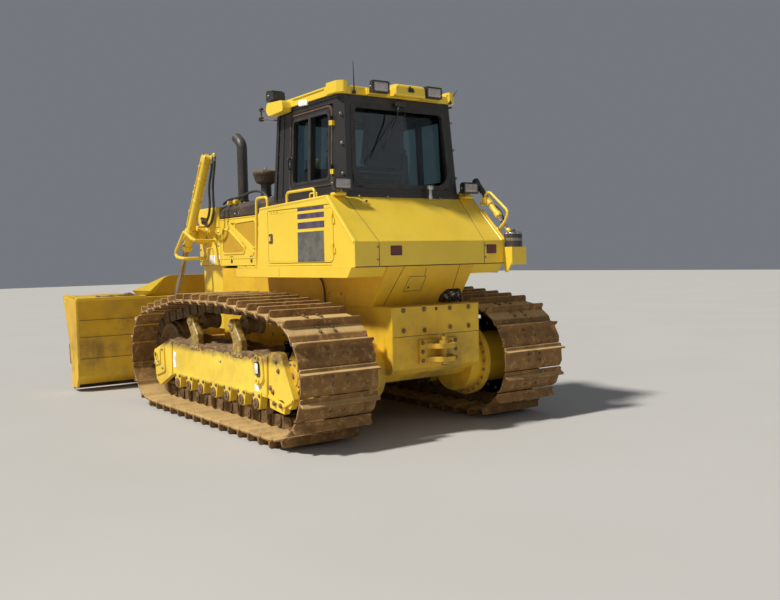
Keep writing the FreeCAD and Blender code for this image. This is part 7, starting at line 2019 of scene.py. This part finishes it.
def front_dirt():
    """Bolt heads along the lower front of the moldboard."""
    kit = Kit("blade_front_wear", "blade", STEEL, "worn_steel", (SOIL,))
    for y in range(-1640, 1641, 205):
        kit.bolt((4790, y, 168), (0.86, 0, 0.5), 17, 9)
    kit.make()


def frame_dress():
    """Pivot caps, welds, the lift ears' pin caps and soil."""
    kit = Kit("frame_dress", "c_frame", FRAME_YELLOW, "yellow", (STEEL, SEAM, IRON))
    for side in (1, -1):
        kit.lathe((1900, side * 664, 600), (0, side, 0), [(-2, 104), (6, 104), (10, 98), (10, 66)], 40)
        kit.mat = 1
        for turn in range(6):
            a = turn * math.pi / 3
            kit.bolt((1900 + 84 * math.cos(a), side * 671, 600 + 84 * math.sin(a)), (0, side, 0), 11, 9)
        kit.mat = 0
        kit.weld((2300, side * 545, 656), (3700, side * 545, 652), (0, -side * 0.7, 0.7), 7)
        kit.weld((2300, side * 665, 656), (3700, side * 665, 652), (0, side * 0.7, 0.7), 7)
        for out in (669, 771):
            kit.lathe((4100, side * (out - 3 if out < 700 else out + 1), 951), (0, side * (-1 if out < 700 else 1), 0), [(-2, 44), (7, 44), (10, 38), (10, 10)], 30)
    kit.make()

    crust = Kit("frame_soil", "c_frame", SOIL, "worn_steel")
    for side, seed in ((1, 3.3), (-1, 8.7)):
        inner = Kit("x", "c_frame", SOIL, "worn_steel")
        heap(inner, (2450, 3780), (560, 652), lambda x, y: 656, 20, seed, 110, 12, 30.0, ((2900, 160, 18), (3500, 120, 22)))
        base = len(crust.verts)
        crust.verts += [Vector((v.x, side * v.y, v.z)) for v in inner.verts]
        crust.faces += [tuple(base + i for i in face) for face in inner.faces]
        crust.marks += inner.marks
    crust.make(sharp=60)


frame_dress()


def cylinder_dress(name, start, stop, low, high, tube, rod, slot="yellow"):
    """Gland, end collar, ports and oil line of a smaller cylinder."""
    start, stop = Vector(start), Vector(stop)
    along = (stop - start).normalized()
    side = Vector((0, 0, 1)) if abs(along.z) < 0.5 else Vector((0, 1, 0))
    kit = Kit("%s_dress" % name, name, FRAME_YELLOW, slot, (STEEL, RUBBER))
    gland = start + along * high
    kit.turn(gland, along, [(-44, tube), (-44, tube + 5), (-2, tube + 5), (4, tube), (4, rod + 3), (-4, rod + 3)], 36)
    kit.mat = 1
    for turn in range(6):
        a = (turn + 0.5) * math.pi / 3
        across = along.cross(side)
        kit.bolt(gland + (side * math.cos(a) + across * math.sin(a)) * (tube - 9) + along * 2, along, 6, 7, False)
    kit.mat = 0
    for t in (low + 40, high - 66):
        kit.lathe(start + along * t, side, [(tube - 6, 17), (tube + 8, 17), (tube + 9, 13), (tube + 16, 13)], 16)
    kit.pipe([start + along * (low + 40) + side * (tube + 12), start + along * (low + 64) + side * (tube + 22), start + along * (high - 90) + side * (tube + 22),
              start + along * (high - 66) + side * (tube + 12)], 8, 14, 12)
    kit.mat = 2
    kit.turn(gland, along, [(2, rod + 0.8), (2, rod + 7), (9, rod + 5), (9, rod + 0.8)], 30)
    kit.make()


def reach_of(node, start, stop):
    """How far a node's box reaches along a cylinder's line, from its start."""
    low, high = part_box(node)
    start, stop = P(*start), P(*stop)
    along = (stop - start).normalized()
    reach = []
    for x in (low[0], high[0]):
        for y in (low[1], high[1]):
            for z in (low[2], high[2]):
                reach.append((Vector((x, y, z)) - start).dot(along) * 1000)
    return max(reach)


for side, name in ((LEFT, "left"), (RIGHT, "right")):
    cylinder_dress("angle_barrel_" + name, (3560, side * 580, 740), (4480, side * 560, 740), 90, reach_of("angle_barrel_" + name, (3560, side * 580, 740), (4480, side * 580, 740)) - 2, 46, 26)
cylinder_dress("tilt_barrel", (4436, -150, 1010), (4436, 520, 1010), 80, reach_of("tilt_barrel", (4436, -150, 1010), (4436, 520, 1010)) - 2, 46, 26)

# the CAD nodes' own finishes

FINISH = {
    "yellow": YELLOW, "track": SHOE, "worn_steel": CAST, "cab_dark": CAB_DARK, "glass": GLASS, "black_paint": HOOD_BLACK,
    "black_plastic": PLASTIC, "radiator": CORE, "engine_grey": CAST, "seat_fabric": FABRIC, "lamp_black": PLASTIC,
    "chrome": CHROME,
}
SPECIAL = {
    "track_frame_left": TRACK_YELLOW, "track_frame_right": TRACK_YELLOW, "final_drives": FRAME_YELLOW, "axles": FRAME_YELLOW,
    "main_frame": FRAME_YELLOW, "c_frame": FRAME_YELLOW, "blade": BLADE_YELLOW, "blade_mount": FRAME_YELLOW,
    "hitch": FRAME_YELLOW, "rear_plate": FRAME_YELLOW, "cutting_edge": CAST, "track_rollers": IRON, "idlers": IRON,
    "tilt_barrel": BLADE_YELLOW, "angle_barrel_left": FRAME_YELLOW, "angle_barrel_right": FRAME_YELLOW,
    "console": PLASTIC, "canister": PLASTIC, "lift_rod_left": ROD_STEEL, "lift_rod_right": ROD_STEEL,
}
for part in frame["record"]["subparts"]:
    obj = frame["nodes"].get(part["node"])
    if obj is None:
        continue
    finish = SPECIAL.get(part["node"], FINISH[part["material_slot"]])
    if not obj.data.materials:
        obj.data.materials.append(finish)
    for spot in obj.material_slots:
        spot.material = finish

# floor, light and camera

floor_mesh = bpy.data.meshes.new("floor")
floor_mesh.from_pydata([(-60, -60, -0.002), (60, -60, -0.002), (60, 60, -0.002), (-60, 60, -0.002)], [], [(0, 1, 2, 3)])
floor_mesh.materials.append(FLOOR)
floor = bpy.data.objects.new("floor", floor_mesh)
bpy.context.scene.collection.objects.link(floor)


def lamp(name, place, aim, size, power, colour=(1, 1, 1)):
    data = bpy.data.lights.new(name, "AREA")
    data.shape = "DISK"
    data.size = size
    data.energy = power
    data.color = colour
    made = bpy.data.objects.new(name, data)
    made.location = place
    made.rotation_euler = (Vector(aim) - Vector(place)).to_track_quat("-Z", "Y").to_euler()
    bpy.context.scene.collection.objects.link(made)


key = bpy.data.lights.new("key", "SUN")
key.energy = 4.2
key.angle = math.radians(5)
key.color = (1.0, 0.975, 0.92)
key_lamp = bpy.data.objects.new("key", key)
key_lamp.rotation_euler = Vector((-0.09, -0.62, -0.78)).to_track_quat("-Z", "Y").to_euler()
bpy.context.scene.collection.objects.link(key_lamp)
lamp("fill_rear", (-11.0, -3.0, 5.0), (0, 0, 1.2), 7.0, 45, (0.95, 0.97, 1.0))
lamp("bounce", (-6.0, 6.0, 0.5), (-1, 0, 1.4), 5.0, 60, (1.0, 0.86, 0.66))

world = bpy.data.worlds.new("studio")
world.use_nodes = True
sky = world.node_tree.nodes["Background"]
sky.inputs[0].default_value = (0.80, 0.86, 0.95, 1)
sky.inputs[1].default_value = 0.22
bpy.context.scene.world = world
bpy.context.scene.view_settings.view_transform = "Standard"

yaw, pitch, roll = math.radians(-35.64), math.radians(-2.76), math.radians(-1.33)
ahead = Vector((math.cos(yaw) * math.cos(pitch), math.sin(yaw) * math.cos(pitch), math.sin(pitch)))
right = Vector((math.sin(yaw), -math.cos(yaw), 0))
above = right.cross(ahead)
level = right * math.cos(roll) + above * math.sin(roll)
upright = above * math.cos(roll) - right * math.sin(roll)
lens = bpy.data.cameras.new("photo_camera")
lens.lens = 39.85
lens.clip_end = 200
camera = bpy.data.objects.new("photo_camera", lens)
turned = Matrix((level, upright, -ahead)).transposed().to_4x4()
camera.matrix_world = Matrix.Translation(P(-6501, 4886, 1599)) @ turned
bpy.context.scene.collection.objects.link(camera)
bpy.context.scene.camera = camera
